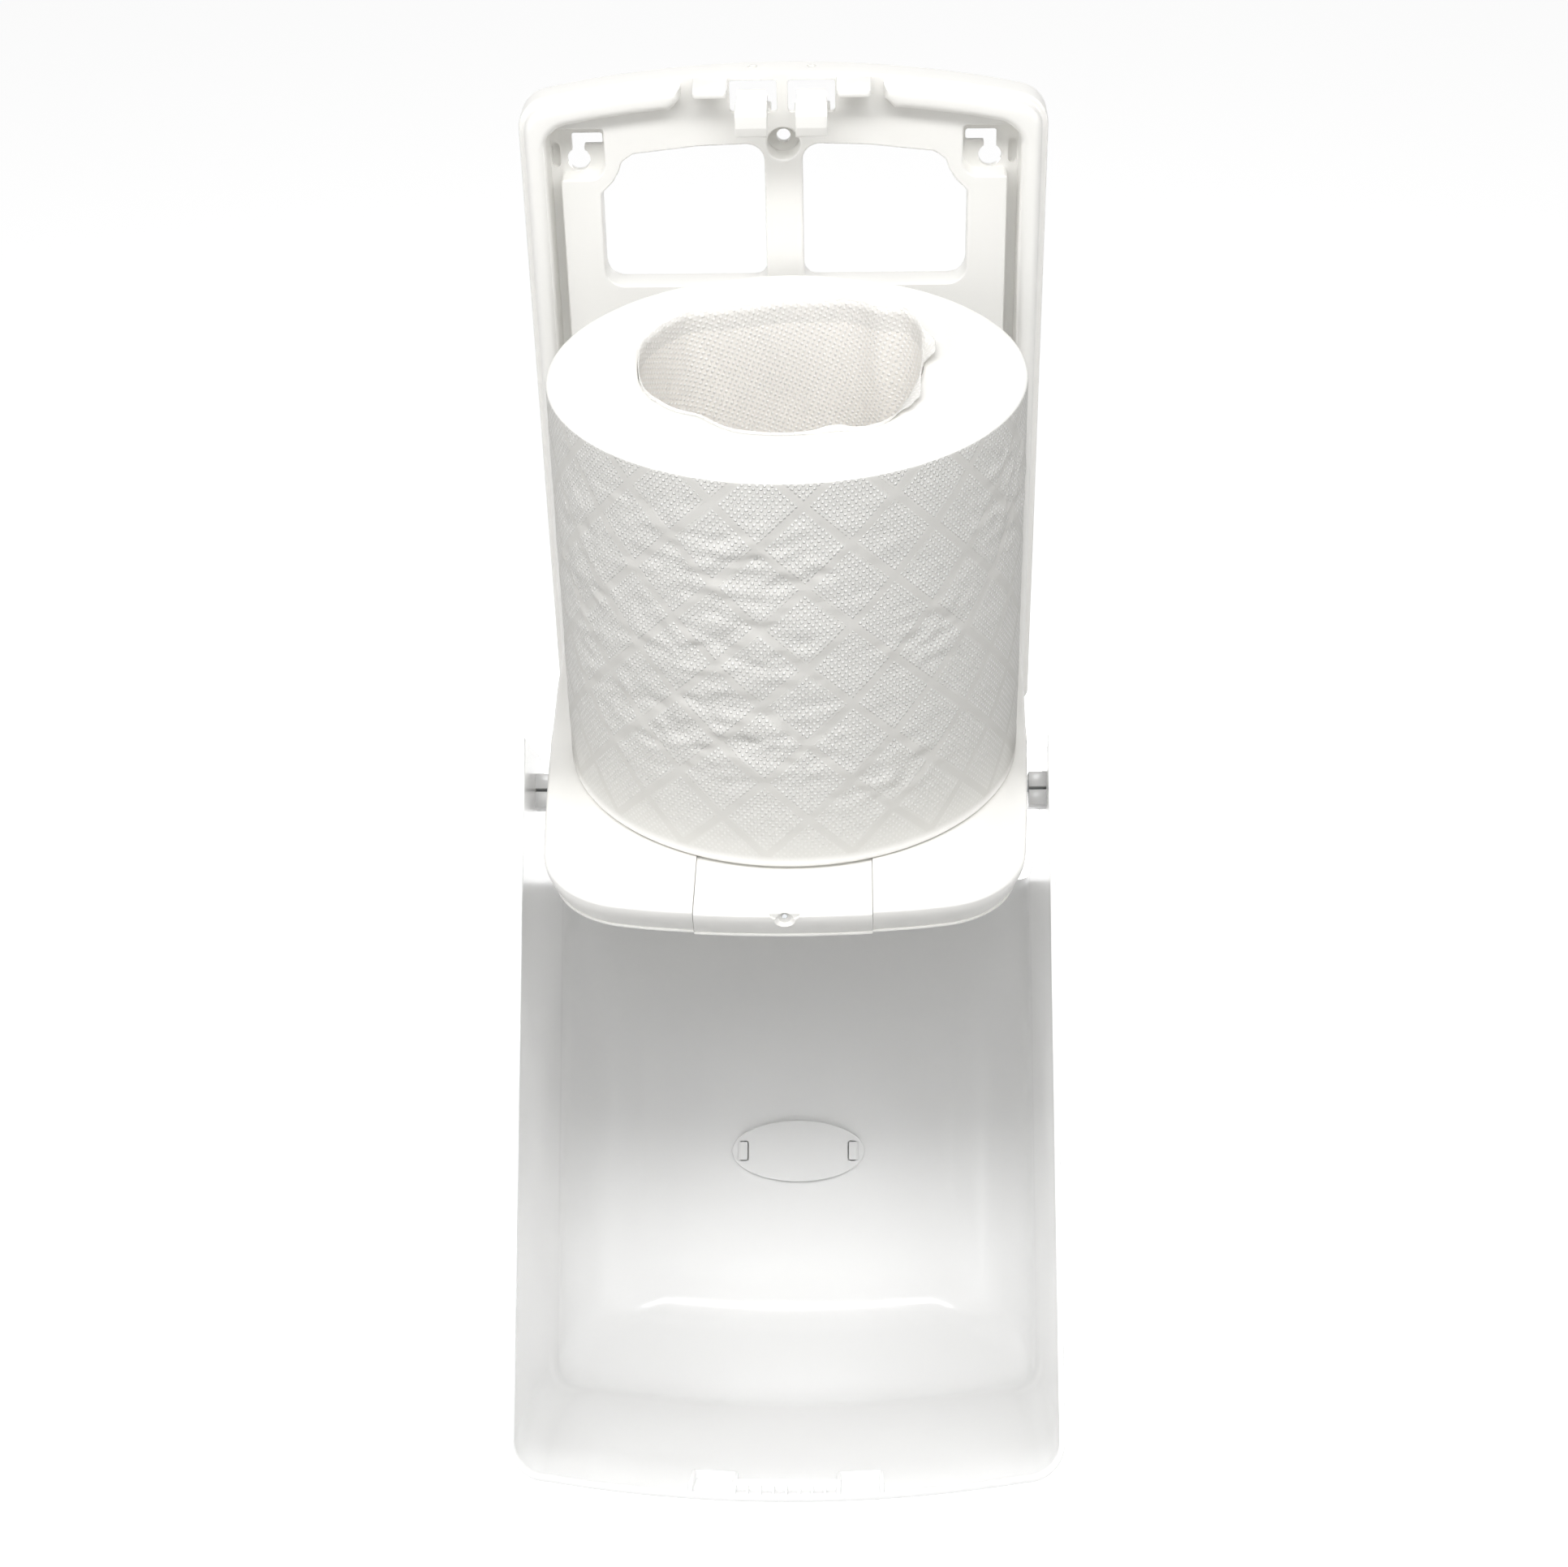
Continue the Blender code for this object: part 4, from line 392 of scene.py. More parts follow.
def bead_outline():
    """The raised rim of the right side, from its chamfered top end round the corner and down."""
    inset, reach = BEAD_INSET + BEAD_WIDTH, BEAD_END_X + BEAD_END_CHAMFER
    outside = [p for p in plate_outline(BEAD_INSET) if p[0] > BEAD_END_X and p[1] > BEAD_END_Z]
    inside = [p for p in plate_outline(inset) if p[0] > reach and p[1] > BEAD_END_Z]
    tail = [(BEAD_INNER_X, BEAD_END_Z), (PLATE_HALF_WIDTH - BEAD_INSET, BEAD_END_Z)]
    end = [(BEAD_END_X, outside[-1][1]), (BEAD_END_X, inside[-1][1] + BEAD_END_CHAMFER),
           (reach, inside[-1][1])]
    return tail + outside + end + [tuple(p) for p in reversed(inside)]


def window_outline(grow=0.0):
    """The right window, as shares of its width and height, grown for its return wall."""
    corners = [(WINDOW_INNER_X - grow + a * (WINDOW_WIDTH + 2 * grow),
                WINDOW_SILL_Z - grow + b * (WINDOW_HEIGHT + 2 * grow)) for a, b in WINDOW_SHARES]
    return rounded(corners, [radius + grow for radius in WINDOW_ROUNDS], CORNER_STEPS)


def recess_outline(grow=0.0):
    """The corner pocket round the right keyhole, with the groove that runs down by the bead."""
    inner, outer = RECESS_INNER_X - grow, BEAD_INNER_X + grow
    low, top = RECESS_SILL_Z - grow, RECESS_SILL_Z + RECESS_HEIGHT + grow
    groove = GROOVE_INNER_X - grow
    corners = [(inner, top), (inner, low), (groove, low), (groove, GROOVE_BOTTOM_Z - grow),
               (outer, GROOVE_BOTTOM_Z - grow), (outer, top)]
    return rounded(corners, [RECESS_ROUND / 4, RECESS_ROUND, RECESS_EDGE * 2, RECESS_EDGE,
                             RECESS_EDGE, RECESS_ROUND / 2], CORNER_STEPS)


def ring_outline(radius, centre):
    """A circle."""
    return [(centre[0] + radius * math.cos(2 * math.pi * k / ROUND_SIDES),
             centre[1] + radius * math.sin(2 * math.pi * k / ROUND_SIDES))
            for k in range(ROUND_SIDES)]


def shifted(outline, inward):
    """The outline moved inwards along its own normals, or outwards below zero."""
    places = np.array([tuple(point) for point in outline])
    keep = np.linalg.norm(places - np.roll(places, 1, 0), axis=1) > 1e-6
    places = places[keep]
    ahead, behind = np.roll(places, -1, 0) - places, places - np.roll(places, 1, 0)
    turn = np.sum(places[:, 0] * np.roll(places[:, 1], -1)
                  - np.roll(places[:, 0], -1) * places[:, 1])
    normals = [np.stack([-way[:, 1], way[:, 0]], 1) / np.linalg.norm(way, axis=1)[:, None]
               * math.copysign(1.0, turn) for way in (ahead, behind)]
    middle = normals[0] + normals[1]
    middle /= np.maximum(MITRE_SHARE, np.sum(middle * normals[0], 1))[:, None]
    return places + middle * inward


def depth_inside(points, outline):
    """How far each point lies inside an outline, below zero outside."""
    ends = np.array([tuple(point) for point in outline])
    starts = np.roll(ends, 1, 0)
    span = ends - starts
    length = np.maximum(1e-18, np.sum(span ** 2, 1))
    offset = points[:, None, :] - starts[None]
    share = np.clip(np.sum(offset * span, 2) / length, 0, 1)
    nearest = np.sqrt(np.min(np.sum((offset - share[..., None] * span) ** 2, 2), 1))
    crosses = (starts[None, :, 1] > points[:, None, 1]) != (ends[None, :, 1] > points[:, None, 1])
    with np.errstate(divide="ignore", invalid="ignore"):
        at = starts[:, 0] + (points[:, None, 1] - starts[:, 1]) * span[:, 0] / span[:, 1]
    inside = np.sum(crosses & (points[:, None, 0] < at), 1) % 2 == 1
    return np.where(inside, nearest, -nearest)


def quarter_round(distance, radius):
    """How far a rounded edge has fallen, at a distance in from where it meets the wall."""
    share = np.clip(1 - distance / radius, 0, 1)
    return radius * (1 - np.sqrt(1 - share ** 2))


BEAD = bead_outline()
RECESS = recess_outline()
WINDOW = window_outline()
LATCH_GAP = rounded([CUTOUT[0], (CUTOUT[1][0], CUTOUT[0][1]), CUTOUT[1],
                     (CUTOUT[0][0], CUTOUT[1][1])], CUTOUT_ROUND, 4)
SCREW_HOLE = ring_outline(SCREW_HOLE_RADIUS, (0.0, SCREW_Z))
PAD = [(-PAD_HALF_WIDTH, -PAD_HALF_HEIGHT), (PAD_HALF_WIDTH, -PAD_HALF_HEIGHT),
       (PAD_HALF_WIDTH, PAD_HALF_HEIGHT), (-PAD_HALF_WIDTH, PAD_HALF_HEIGHT)]


def plate_front(points):
    """Front surface: skin, bead, corner pockets, well and the rounded edges of each opening."""
    folded = np.stack([np.abs(points[:, 0]), points[:, 1]], 1)
    y = np.full(len(points), -PLATE_DEPTH)
    y += quarter_round(depth_inside(points, plate_outline()), PLATE_EDGE)
    inward = depth_inside(folded, BEAD)
    arc = np.clip(1 - (inward - DRAFT) / BEAD_ROUND, 0, 1)
    rise = (BEAD_HEIGHT - BEAD_ROUND) * np.clip(inward / DRAFT, 0, 1)
    y -= rise + np.where(inward > DRAFT, BEAD_ROUND * np.sqrt(1 - arc ** 2), 0.0)
    foot = np.where(inward <= 0, quarter_round(-inward, FILLET), 0.0)
    y -= foot
    for inside, floor in ((depth_inside(folded, RECESS), -RECESS_FLOOR),
                          (WELL_RADIUS + WELL_FLARE - np.hypot(points[:, 0],
                                                               points[:, 1] - SCREW_Z),
                           -RECESS_FLOOR)):
        fall = floor - y
        edge = quarter_round(-inside, RECESS_EDGE)
        steep = RECESS_EDGE + (fall - RECESS_EDGE - FILLET) * np.clip(inside / DRAFT, 0, 1)
        base = fall - quarter_round(inside - DRAFT, FILLET)
        y += np.where(inside < 0, edge, np.where(inside < DRAFT, steep, base))
    for outline, edge in ((WINDOW, WINDOW_EDGE), (LATCH_GAP, CUTOUT_EDGE)):
        y += np.where(y < -PLATE_DEPTH / 2, quarter_round(-depth_inside(folded, outline), edge),
                      0.0)
    return y


def plate_back(points):
    """Back surface: hollow, except for the rim, the openings' walls, the boss and the pad."""
    folded = np.stack([np.abs(points[:, 0]), points[:, 1]], 1)
    inside = depth_inside(points, plate_outline(HOLLOW_INSET))
    for kept in (window_outline(WINDOW_WALL), recess_outline(WINDOW_WALL), PAD):
        inside = np.minimum(inside, -depth_inside(folded, kept))
    inside = np.minimum(inside, np.hypot(points[:, 0], points[:, 1] - SCREW_Z)
                        - WELL_RADIUS - BOSS_WALL)
    return -(PLATE_DEPTH - WALL) * np.clip(inside / DRAFT, 0, 1)


def both_sides(outline):
    """The outline and its mirror image."""
    return [[tuple(point) for point in outline], mirrored(outline)]


def surface_between(loops, height):
    """Triangles over the plate between its openings, with the given loops as edges."""
    places, edges = [], []
    for loop in loops:
        first = len(places)
        places += [Vector(tuple(point)) for point in loop]
        edges += [(first + i, first + (i + 1) % len(loop)) for i in range(len(loop))]
    places, _, faces = geometry.delaunay_2d_cdt(places, edges, [], 0, 1e-7)[:3]
    flat = np.array([tuple(place) for place in places])
    faces = np.array(faces)
    centres = flat[faces].mean(1)
    folded = np.stack([np.abs(centres[:, 0]), centres[:, 1]], 1)
    keep = depth_inside(centres, plate_outline()) > 0
    for opening in (WINDOW, LATCH_GAP):
        keep &= depth_inside(folded, opening) < 0
    keep &= depth_inside(centres, SCREW_HOLE) < 0
    return np.stack([flat[:, 0], height(flat), flat[:, 1]], 1), faces[keep]


borders = [plate_outline(), SCREW_HOLE] + both_sides(WINDOW) + both_sides(LATCH_GAP)
front_loops, back_loops = list(borders), list(borders)
front_loops += [shifted(plate_outline(), PLATE_EDGE * share) for share in EDGE_SHARES]
bead_steps = [-FILLET * 2, -FILLET, -FILLET / 3, 0.0, DRAFT]
bead_steps += [DRAFT + BEAD_ROUND * (1 - math.cos(math.radians(a))) for a in range(15, 91, 15)]
recess_steps = [-RECESS_EDGE * share for share in (1.4, 1.0, 0.6, 0.3, 0.1, 0.0)]
recess_steps += [DRAFT, DRAFT + FILLET / 4, DRAFT + FILLET]
for outline, steps in ((BEAD, bead_steps), (RECESS, recess_steps),
                       (WINDOW, [-WINDOW_EDGE * k for k in EDGE_SHARES]),
                       (LATCH_GAP, [-CUTOUT_EDGE * k for k in (0.1, 0.4, 1.0, 1.5)])):
    for step in steps:
        for side in both_sides(outline):
            front_loops.append(shifted(side, step))
for step in recess_steps:
    front_loops.append(ring_outline(WELL_RADIUS + WELL_FLARE - step, (0.0, SCREW_Z)))
for step in (0.0, DRAFT):
    back_loops.append(shifted(plate_outline(HOLLOW_INSET), step))
    back_loops += [shifted(PAD, -step),
                   ring_outline(WELL_RADIUS + BOSS_WALL + step, (0.0, SCREW_Z))]
    for kept in (window_outline(WINDOW_WALL), recess_outline(WINDOW_WALL)):
        for side in both_sides(kept):
            back_loops.append(shifted(side, -step))

plate_mesh = bmesh.new()
rims = []
for loops, height in ((front_loops, plate_front), (back_loops, plate_back)):
    places, faces = surface_between(loops, height)
    verts = [plate_mesh.verts.new(place) for place in places]
    for face in faces:
        plate_mesh.faces.new([verts[i] for i in face])
    rims.append({(round(vert.co.x, 6), round(vert.co.z, 6)): vert for vert in verts
                 if any(len(edge.link_faces) == 1 for edge in vert.link_edges)})
front_rim, back_rim = rims
for edge in [edge for edge in plate_mesh.edges if len(edge.link_faces) == 1]:
    first, second = edge.verts
    keys = [(round(vert.co.x, 6), round(vert.co.z, 6)) for vert in (first, second)]
    if front_rim.get(keys[0]) == first and front_rim.get(keys[1]) == second:
        plate_mesh.faces.new((first, second, back_rim[keys[1]], back_rim[keys[0]]))
loose = [vert for vert in plate_mesh.verts if not vert.link_faces]
bmesh.ops.delete(plate_mesh, geom=loose, context="VERTS")
plate = finish_mesh("wall_plate", plate_mesh, satin_abs, PLATE_SHARP_DEG)

holes = bmesh.new()
for side in (-1, 1):
    add_rod(holes, (side * KEYHOLE_X, -(RECESS_FLOOR + OVERRUN), KEYHOLE_Z),
            (side * KEYHOLE_X, OVERRUN, KEYHOLE_Z), KEYHOLE_RADIUS)
    add_rod(holes, (side * LATCH_X, PRONG_Y, PLATE_CROWN - WALL - OVERRUN),
            (side * LATCH_X, PRONG_Y, PLATE_CROWN + OVERRUN), PRONG_RADIUS)
    half = SIDE_SLOT_WIDTH / 2
    oblong = rectangle(half, SIDE_SLOT_LENGTH / 2, (side * SIDE_SLOT_X,
                                                    SIDE_SLOT_LOW_Z + SIDE_SLOT_LENGTH / 2),
                       half * 0.9)
    add_prism(holes, oblong, "Y", -(RECESS_FLOOR + OVERRUN), SIDE_SLOT_DEPTH - RECESS_FLOOR)
    hook_slot = rectangle(HOOK_SLOT_HALF, (HOOK_SLOT_HIGH_Z - HOOK_SLOT_LOW_Z) / 2,
                          (side * HOOK_SLOT_X, (HOOK_SLOT_HIGH_Z + HOOK_SLOT_LOW_Z) / 2), 0.0)
    add_prism(holes, hook_slot, "Y", -(PLATE_DEPTH + OVERRUN), -(PLATE_DEPTH - WALL - OVERRUN))
cut(plate, holes)
slots = bmesh.new()
for side in (-1, 1):
    inner, outer = KEYHOLE_X - KEY_SLOT / 2, KEYHOLE_X + KEY_SLOT / 2
    low, top = KEY_SLOT_Z - KEY_SLOT / 2, KEY_SLOT_Z + KEY_SLOT / 2
    shape = [(inner, KEYHOLE_Z), (outer, KEYHOLE_Z), (outer, top), (KEY_SLOT_END_X, top),
             (KEY_SLOT_END_X, low), (inner, low)]
    shape = rounded(shape, [0.0, 0.0] + [KEY_SLOT_ROUND] * 3 + [KEY_SLOT_ROUND / 2])
    add_prism(slots, shape if side > 0 else mirrored(shape), "Y", -(RECESS_FLOOR + OVERRUN),
              OVERRUN)
cut(plate, slots)
shaded(plate, PLATE_SHARP_DEG)
coat(plate, satin_abs)
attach(plate, "wall_unit")
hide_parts("back_plate")

guides = bmesh.new()
root = -(PLATE_DEPTH - WALL / 2)
tip = root - GUIDE_LENGTH
for side in (-1, 1):
    near, far = side * GUIDE_CENTRE_X - GUIDE_WIDTH / 2, side * GUIDE_CENTRE_X + GUIDE_WIDTH / 2
    plan = rounded([(near, root), (near, tip), (far, tip), (far, root)],
                   [0.0, GUIDE_ROUND, GUIDE_ROUND, 0.0])
    add_slab(guides, *([(x, y, GUIDE_ROOT_Z - fall - drop * (root - y) / GUIDE_LENGTH)
                        for x, y in plan]
                       for fall, drop in ((0.0, GUIDE_DROP),
                                          (GUIDE_THICKNESS + GUIDE_DROP / 2, GUIDE_DROP / 2))))
    add_prism(guides, rectangle(LATCH_BLOCK_HALF, (LATCH_BLOCK_HIGH_Z - LATCH_BLOCK_LOW_Z) / 2,
                                (side * LATCH_X, (LATCH_BLOCK_HIGH_Z + LATCH_BLOCK_LOW_Z) / 2), 0.0),
              "Y", -(PLATE_DEPTH - WALL - SINK), 0.0)
finish_moulding("plate_guide_tongues", guides, "wall_unit", satin_abs,
                SMALL_ROUND * 2)


# Latch tongues. Two sprung ABS fingers, rooted inside the plate: each comes out through its gap as
# a tooth, a ramp and a turned-down nose. A key pushes them down through the holes in the top.
LATCH_PIVOT_Y = -0.0050
LATCH_PIVOT_Z = 0.2465
LATCH_BARREL_RADIUS = 0.0022
LATCH_ARM_HALF = 0.0060
LATCH_NOSE_HALF = 0.00665
LATCH_REACH = 0.0335
LATCH_TOOTH_TOP = 0.0116
LATCH_SHARES = ((0.0, 0.190), (0.269, 0.345), (0.600, 0.500), (0.603, 1.0), (0.665, 1.0),
                (0.701, 0.880), (0.701, 0.655), (0.955, 0.517), (0.990, 0.380), (1.0, -0.040),
                (0.975, -0.360), (0.925, -0.450), (0.880, -0.330), (0.850, -0.020),
                (0.746, 0.040), (0.269, 0.010), (0.0, -0.185))
LATCH_ROUNDS = (0.0, 0.0, 0.0010, 0.0003, 0.0006, 0.0006, 0.0010, 0.0016, 0.0016, 0.0020,
                0.0011, 0.0008, 0.0010, 0.0020, 0.0015, 0.0, 0.0)
NOSE_PART = slice(6, 15)
LATCH_ARC_STEPS = 5

for side, name, body, node in ((-1, "left_latch_tongue", "latch_left", "latch_tongue_left"),
                               (1, "right_latch_tongue", "latch_right", "latch_tongue_right")):
    outline = [(LATCH_PIVOT_Y - a * LATCH_REACH, LATCH_PIVOT_Z + b * LATCH_TOOTH_TOP)
               for a, b in LATCH_SHARES]
    centre = side * LATCH_X
    arm = add_prism(bmesh.new(), rounded(outline, LATCH_ROUNDS, LATCH_ARC_STEPS), "X",
                    centre - LATCH_ARM_HALF, centre + LATCH_ARM_HALF)
    tongue = soften(finish_mesh(name, arm, satin_abs), SMALL_ROUND)
    tip = rounded(outline[NOSE_PART], LATCH_ROUNDS[NOSE_PART], LATCH_ARC_STEPS)
    nose = add_prism(bmesh.new(), shifted(tip, -DRAFT), "X", centre - LATCH_NOSE_HALF,
                     centre + LATCH_NOSE_HALF)
    nose = soften(finish_mesh("nose", nose, satin_abs), SMALL_ROUND * 1.5, 3)
    whole = bmesh.new()
    for half in (tongue, nose):
        whole.from_mesh(half.data)
    add_rod(whole, (centre - LATCH_ARM_HALF, LATCH_PIVOT_Y, LATCH_PIVOT_Z),
            (centre + LATCH_ARM_HALF, LATCH_PIVOT_Y, LATCH_PIVOT_Z), LATCH_BARREL_RADIUS)
    whole.to_mesh(tongue.data)
    whole.free()
    bpy.data.objects.remove(nose)
    shaded(tongue)
    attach(tongue, body)
    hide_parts(node)


# Shelf. The white ABS tray that the roll stands on, hooked into the plate, with a lip that slopes
# in below a rounded edge and ends in a thin rim. Two cheeks below it carry the hinge pins.
HINGE_Y = -0.0980
HINGE_Z = -0.0385
SHELF_FRONT = 0.2455
SHELF_HALF_WIDTH = 0.1053
SHELF_CORNER_RADIUS = 0.0400
SHELF_SIDE_SHARES = ((0.0, 1.0), (0.266, 0.9935), (0.528, 0.9755), (0.696, 0.9555),
                     (1.0, 0.9140))
SHELF_BOW = 0.0110
BOW_POINTS, BOW_KEPT = 12, 7
SHELF_THICKNESS = 0.0025
SHELF_EDGE = 0.0011
SHELF_LIP = 0.0132
LIP_LEAN = 0.0044
LIP_CURVE, LIP_STEPS = 1.6, 5
LIP_RIM = 0.0012
LIP_RIM_ROUND = LIP_RIM / 6
LIP_RIM_REACH = 0.0005
JOINT_GAP = 0.0003
PANEL_GAP = 0.0002
INSERT_HALF_WIDTH = 0.0357
INSERT_BACK_Y = -0.0640
CHEEK_OUTER_X = 0.1038
CHEEK_THICKNESS = 0.0025
CHEEK_FRONT_Y = -0.1180
CHEEK_ROUND = 0.0075
BACK_WALL_BOTTOM_Z = -0.0455
HINGE_BOSS_RADIUS = 0.0062
HINGE_BOSS_LENGTH = 0.0060
PIN_RADIUS = 0.0026
PIN_CLEARANCE = 0.0003
RUNNER_GAP = 0.0034
RUNNER_LEDGE = 0.0055
RUNNER_WALL = 0.0020
RUNNER_TOP_Z = -0.0053
RUNNER_LOW_Z = -0.0073
CROSSBAR_FRONT_Y = -0.2375
CROSSBAR_DEPTH = 0.0060
# Depth at which hidden ribs start, as a share of the shelf's thickness.
ROOT_SHARE = 0.6
SCREW_BOSS_HALF = 0.0050
SCREW_BOSS_TOP_Z = -0.0017
HOOK_HALF = 0.0100
HOOK_RISE = 0.0084
HOOK_THICKNESS = 0.0024
HOOK_LOW_Z = -0.0200


def shelf_outline():
    """Plan of the shelf: sides that draw in towards the front, round corners, a bowed front."""
    back, depth = -(PLATE_DEPTH + JOINT_GAP), SHELF_FRONT - PLATE_DEPTH
    side = [(SHELF_HALF_WIDTH * b, back - a * depth) for a, b in SHELF_SIDE_SHARES[:-1]]
    edge = SHELF_HALF_WIDTH * SHELF_SIDE_SHARES[-1][1]
    side.append((edge, -SHELF_FRONT + SHELF_BOW))
    front = [(edge * k / BOW_POINTS, -SHELF_FRONT + SHELF_BOW * (k / BOW_POINTS) ** 2)
             for k in range(BOW_KEPT, 0, -1)]
    half = [tuple(p) for p in rounded([(0.0, back)] + side + front + [(0.0, -SHELF_FRONT)],
                                      [0.0] * len(side) + [SHELF_CORNER_RADIUS]
                                      + [0.0] * (len(front) + 1), 16, closed=False)]
    return half[1:] + [(-x, y) for x, y in reversed(half[1:-1])]


def shelf_loft():
    """The top and its lip as one closed shell: over the edge, down the lip and up inside."""
    steps = [(SHELF_EDGE * 1.3, 0.0)]
    steps += [(SHELF_EDGE * (1 - math.sin(math.radians(a))),
               -SHELF_EDGE * (1 - math.cos(math.radians(a)))) for a in range(0, 91, 15)]
    low = -SHELF_LIP + LIP_RIM
    steps += [(LIP_LEAN * (k / LIP_STEPS) ** LIP_CURVE,
               -SHELF_EDGE + (low + SHELF_EDGE) * k / LIP_STEPS) for k in range(1, LIP_STEPS + 1)]
    lean = LIP_LEAN - LIP_RIM_REACH
    steps += [(lean, low - LIP_RIM_ROUND), (lean, -SHELF_LIP + LIP_RIM_ROUND),
              (lean + LIP_RIM_ROUND, -SHELF_LIP), (lean + WALL, -SHELF_LIP),
              (lean + WALL, -SHELF_THICKNESS - SMALL_ROUND),
              (lean + WALL + SMALL_ROUND, -SHELF_THICKNESS)]
    plan = [tuple(place) for place in shifted(shelf_outline(), 0.0)]
    back = max(y for _, y in plan)
    bm = bmesh.new()
    rings = []
    for number, (inset, z) in enumerate(steps):
        moved = shifted(plan, inset)
        rear = back - (WALL if number >= len(steps) - 3 else 0.0)
        places = [(x, rear if abs(py - back) < 1e-6 else min(y, rear), z)
                  for (x, y), (_, py) in zip(moved, plan)]
        rings.append([bm.verts.new(place) for place in places])
    for first, second in zip(rings, rings[1:]):
        add_band(bm, first, second)
    bm.faces.new(rings[0])
    bm.faces.new(rings[-1])
    return bm


def block(bm, low, high):
    """A square bar between two corners, for tools and hidden stiffeners."""
    return add_prism(bm, [(low[0], low[1]), (high[0], low[1]), (high[0], high[1]),
                          (low[0], high[1])], "Z", low[2], high[2])


shelf = finish_mesh("roll_shelf", shelf_loft(), satin_abs)
edge = INSERT_HALF_WIDTH + PANEL_GAP
opening = block(bmesh.new(), (-edge, -(SHELF_FRONT + OVERRUN), -(SHELF_LIP + OVERRUN)),
                (edge, INSERT_BACK_Y + PANEL_GAP, OVERRUN))
for side in (-1, 1):
    low_x, high_x = sorted((side * (BEAD_INNER_X - JOINT_GAP), side * (PLATE_HALF_WIDTH + OVERRUN)))
    block(opening, (low_x, -(PLATE_DEPTH + BEAD_HEIGHT + JOINT_GAP), -(SHELF_LIP + OVERRUN)),
          (high_x, 0.0, OVERRUN))
cut(shelf, opening)
shaded(shelf)
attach(shelf, "wall_unit")
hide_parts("shelf")

back = -(PLATE_DEPTH + JOINT_GAP)
cheeks = bmesh.new()
low_z = HINGE_Z - CHEEK_ROUND
side_view = rounded([(back, -SHELF_THICKNESS / 2), (back, BACK_WALL_BOTTOM_Z), (HINGE_Y, low_z),
                     (HINGE_Y - CHEEK_ROUND, low_z), (CHEEK_FRONT_Y, -SHELF_LIP),
                     (CHEEK_FRONT_Y, -SHELF_THICKNESS / 2)],
                    [0.0, 0.0, CHEEK_ROUND, CHEEK_ROUND * 0.8, 0.0, 0.0], 8)
for side in (-1, 1):
    outer, inner = side * CHEEK_OUTER_X, side * (CHEEK_OUTER_X - CHEEK_THICKNESS)
    add_prism(cheeks, side_view, "X", *sorted((inner, outer)))
    add_rod(cheeks, (side * (CHEEK_OUTER_X - HINGE_BOSS_LENGTH), HINGE_Y, HINGE_Z),
            (side * (CHEEK_OUTER_X - CHEEK_THICKNESS / 2), HINGE_Y, HINGE_Z), HINGE_BOSS_RADIUS)
cheeks = finish_mesh("shelf_hinge_cheeks", cheeks, satin_abs)
bores = bmesh.new()
for side in (-1, 1):
    add_rod(bores, (side * (CHEEK_OUTER_X - HINGE_BOSS_LENGTH - OVERRUN), HINGE_Y, HINGE_Z),
            (side * (CHEEK_OUTER_X + OVERRUN), HINGE_Y, HINGE_Z), PIN_RADIUS + PIN_CLEARANCE)
cut(cheeks, bores, crossing=True)
soften(cheeks, SMALL_ROUND)
coat(cheeks, satin_abs)
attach(cheeks, "wall_unit")

under = block(bmesh.new(), (-(CHEEK_OUTER_X - DRAFT), back - WALL + DRAFT, BACK_WALL_BOTTOM_Z),
              (CHEEK_OUTER_X - DRAFT, back - DRAFT, -SHELF_THICKNESS * ROOT_SHARE))
wall_x = INSERT_HALF_WIDTH + RUNNER_GAP
for side in (-1, 1):
    runner = [(wall_x, -SHELF_THICKNESS / 2), (wall_x, RUNNER_TOP_Z),
              (wall_x - RUNNER_LEDGE, RUNNER_TOP_Z), (wall_x - RUNNER_LEDGE, RUNNER_LOW_Z),
              (wall_x + RUNNER_WALL, RUNNER_LOW_Z), (wall_x + RUNNER_WALL, -SHELF_THICKNESS / 2)]
    add_prism(under, runner if side > 0 else mirrored(runner), "Y", CROSSBAR_FRONT_Y,
              INSERT_BACK_Y)
    skin = -(PLATE_DEPTH - WALL) + JOINT_GAP
    add_prism(under, [(back - WALL / 2, HOOK_LOW_Z), (skin + HOOK_THICKNESS, HOOK_LOW_Z),
                      (skin + HOOK_THICKNESS, HOOK_LOW_Z + HOOK_RISE),
                      (skin, HOOK_LOW_Z + HOOK_RISE), (skin, HOOK_LOW_Z + HOOK_THICKNESS),
                      (back - WALL / 2, HOOK_LOW_Z + HOOK_THICKNESS)],
              "X", side * HOOK_SLOT_X - HOOK_HALF, side * HOOK_SLOT_X + HOOK_HALF)
block(under, (-(wall_x + RUNNER_WALL), CROSSBAR_FRONT_Y, RUNNER_LOW_Z),
      (wall_x + RUNNER_WALL, CROSSBAR_FRONT_Y + CROSSBAR_DEPTH, RUNNER_TOP_Z - JOINT_GAP))
block(under, (-SCREW_BOSS_HALF, CROSSBAR_FRONT_Y, RUNNER_LOW_Z),
      (SCREW_BOSS_HALF, CROSSBAR_FRONT_Y + CROSSBAR_DEPTH, SCREW_BOSS_TOP_Z))
finish_moulding("shelf_stiffeners", under, "wall_unit", satin_abs,
                SMALL_ROUND / 2)


# Nozzle insert. An ABS panel let into the middle of the shelf, a little lower than its top, that
# slides in on two runners and is held by one small screw in a recess in its front edge.
INSERT_DROP = 0.0009
INSERT_FLANGE = 0.0022
INSERT_FLANGE_REACH = 0.0030
NOZZLE_BORE_RADIUS = 0.0217
SCREW_AT = (0.0008, -0.0030)
SCREW_RECESS_RADIUS = 0.0050
SCREW_RECESS_FLOOR = 0.0024
SCREW_RECESS_DEPTH = 0.0028
SCREW_BLOCK_BACK = 0.00448
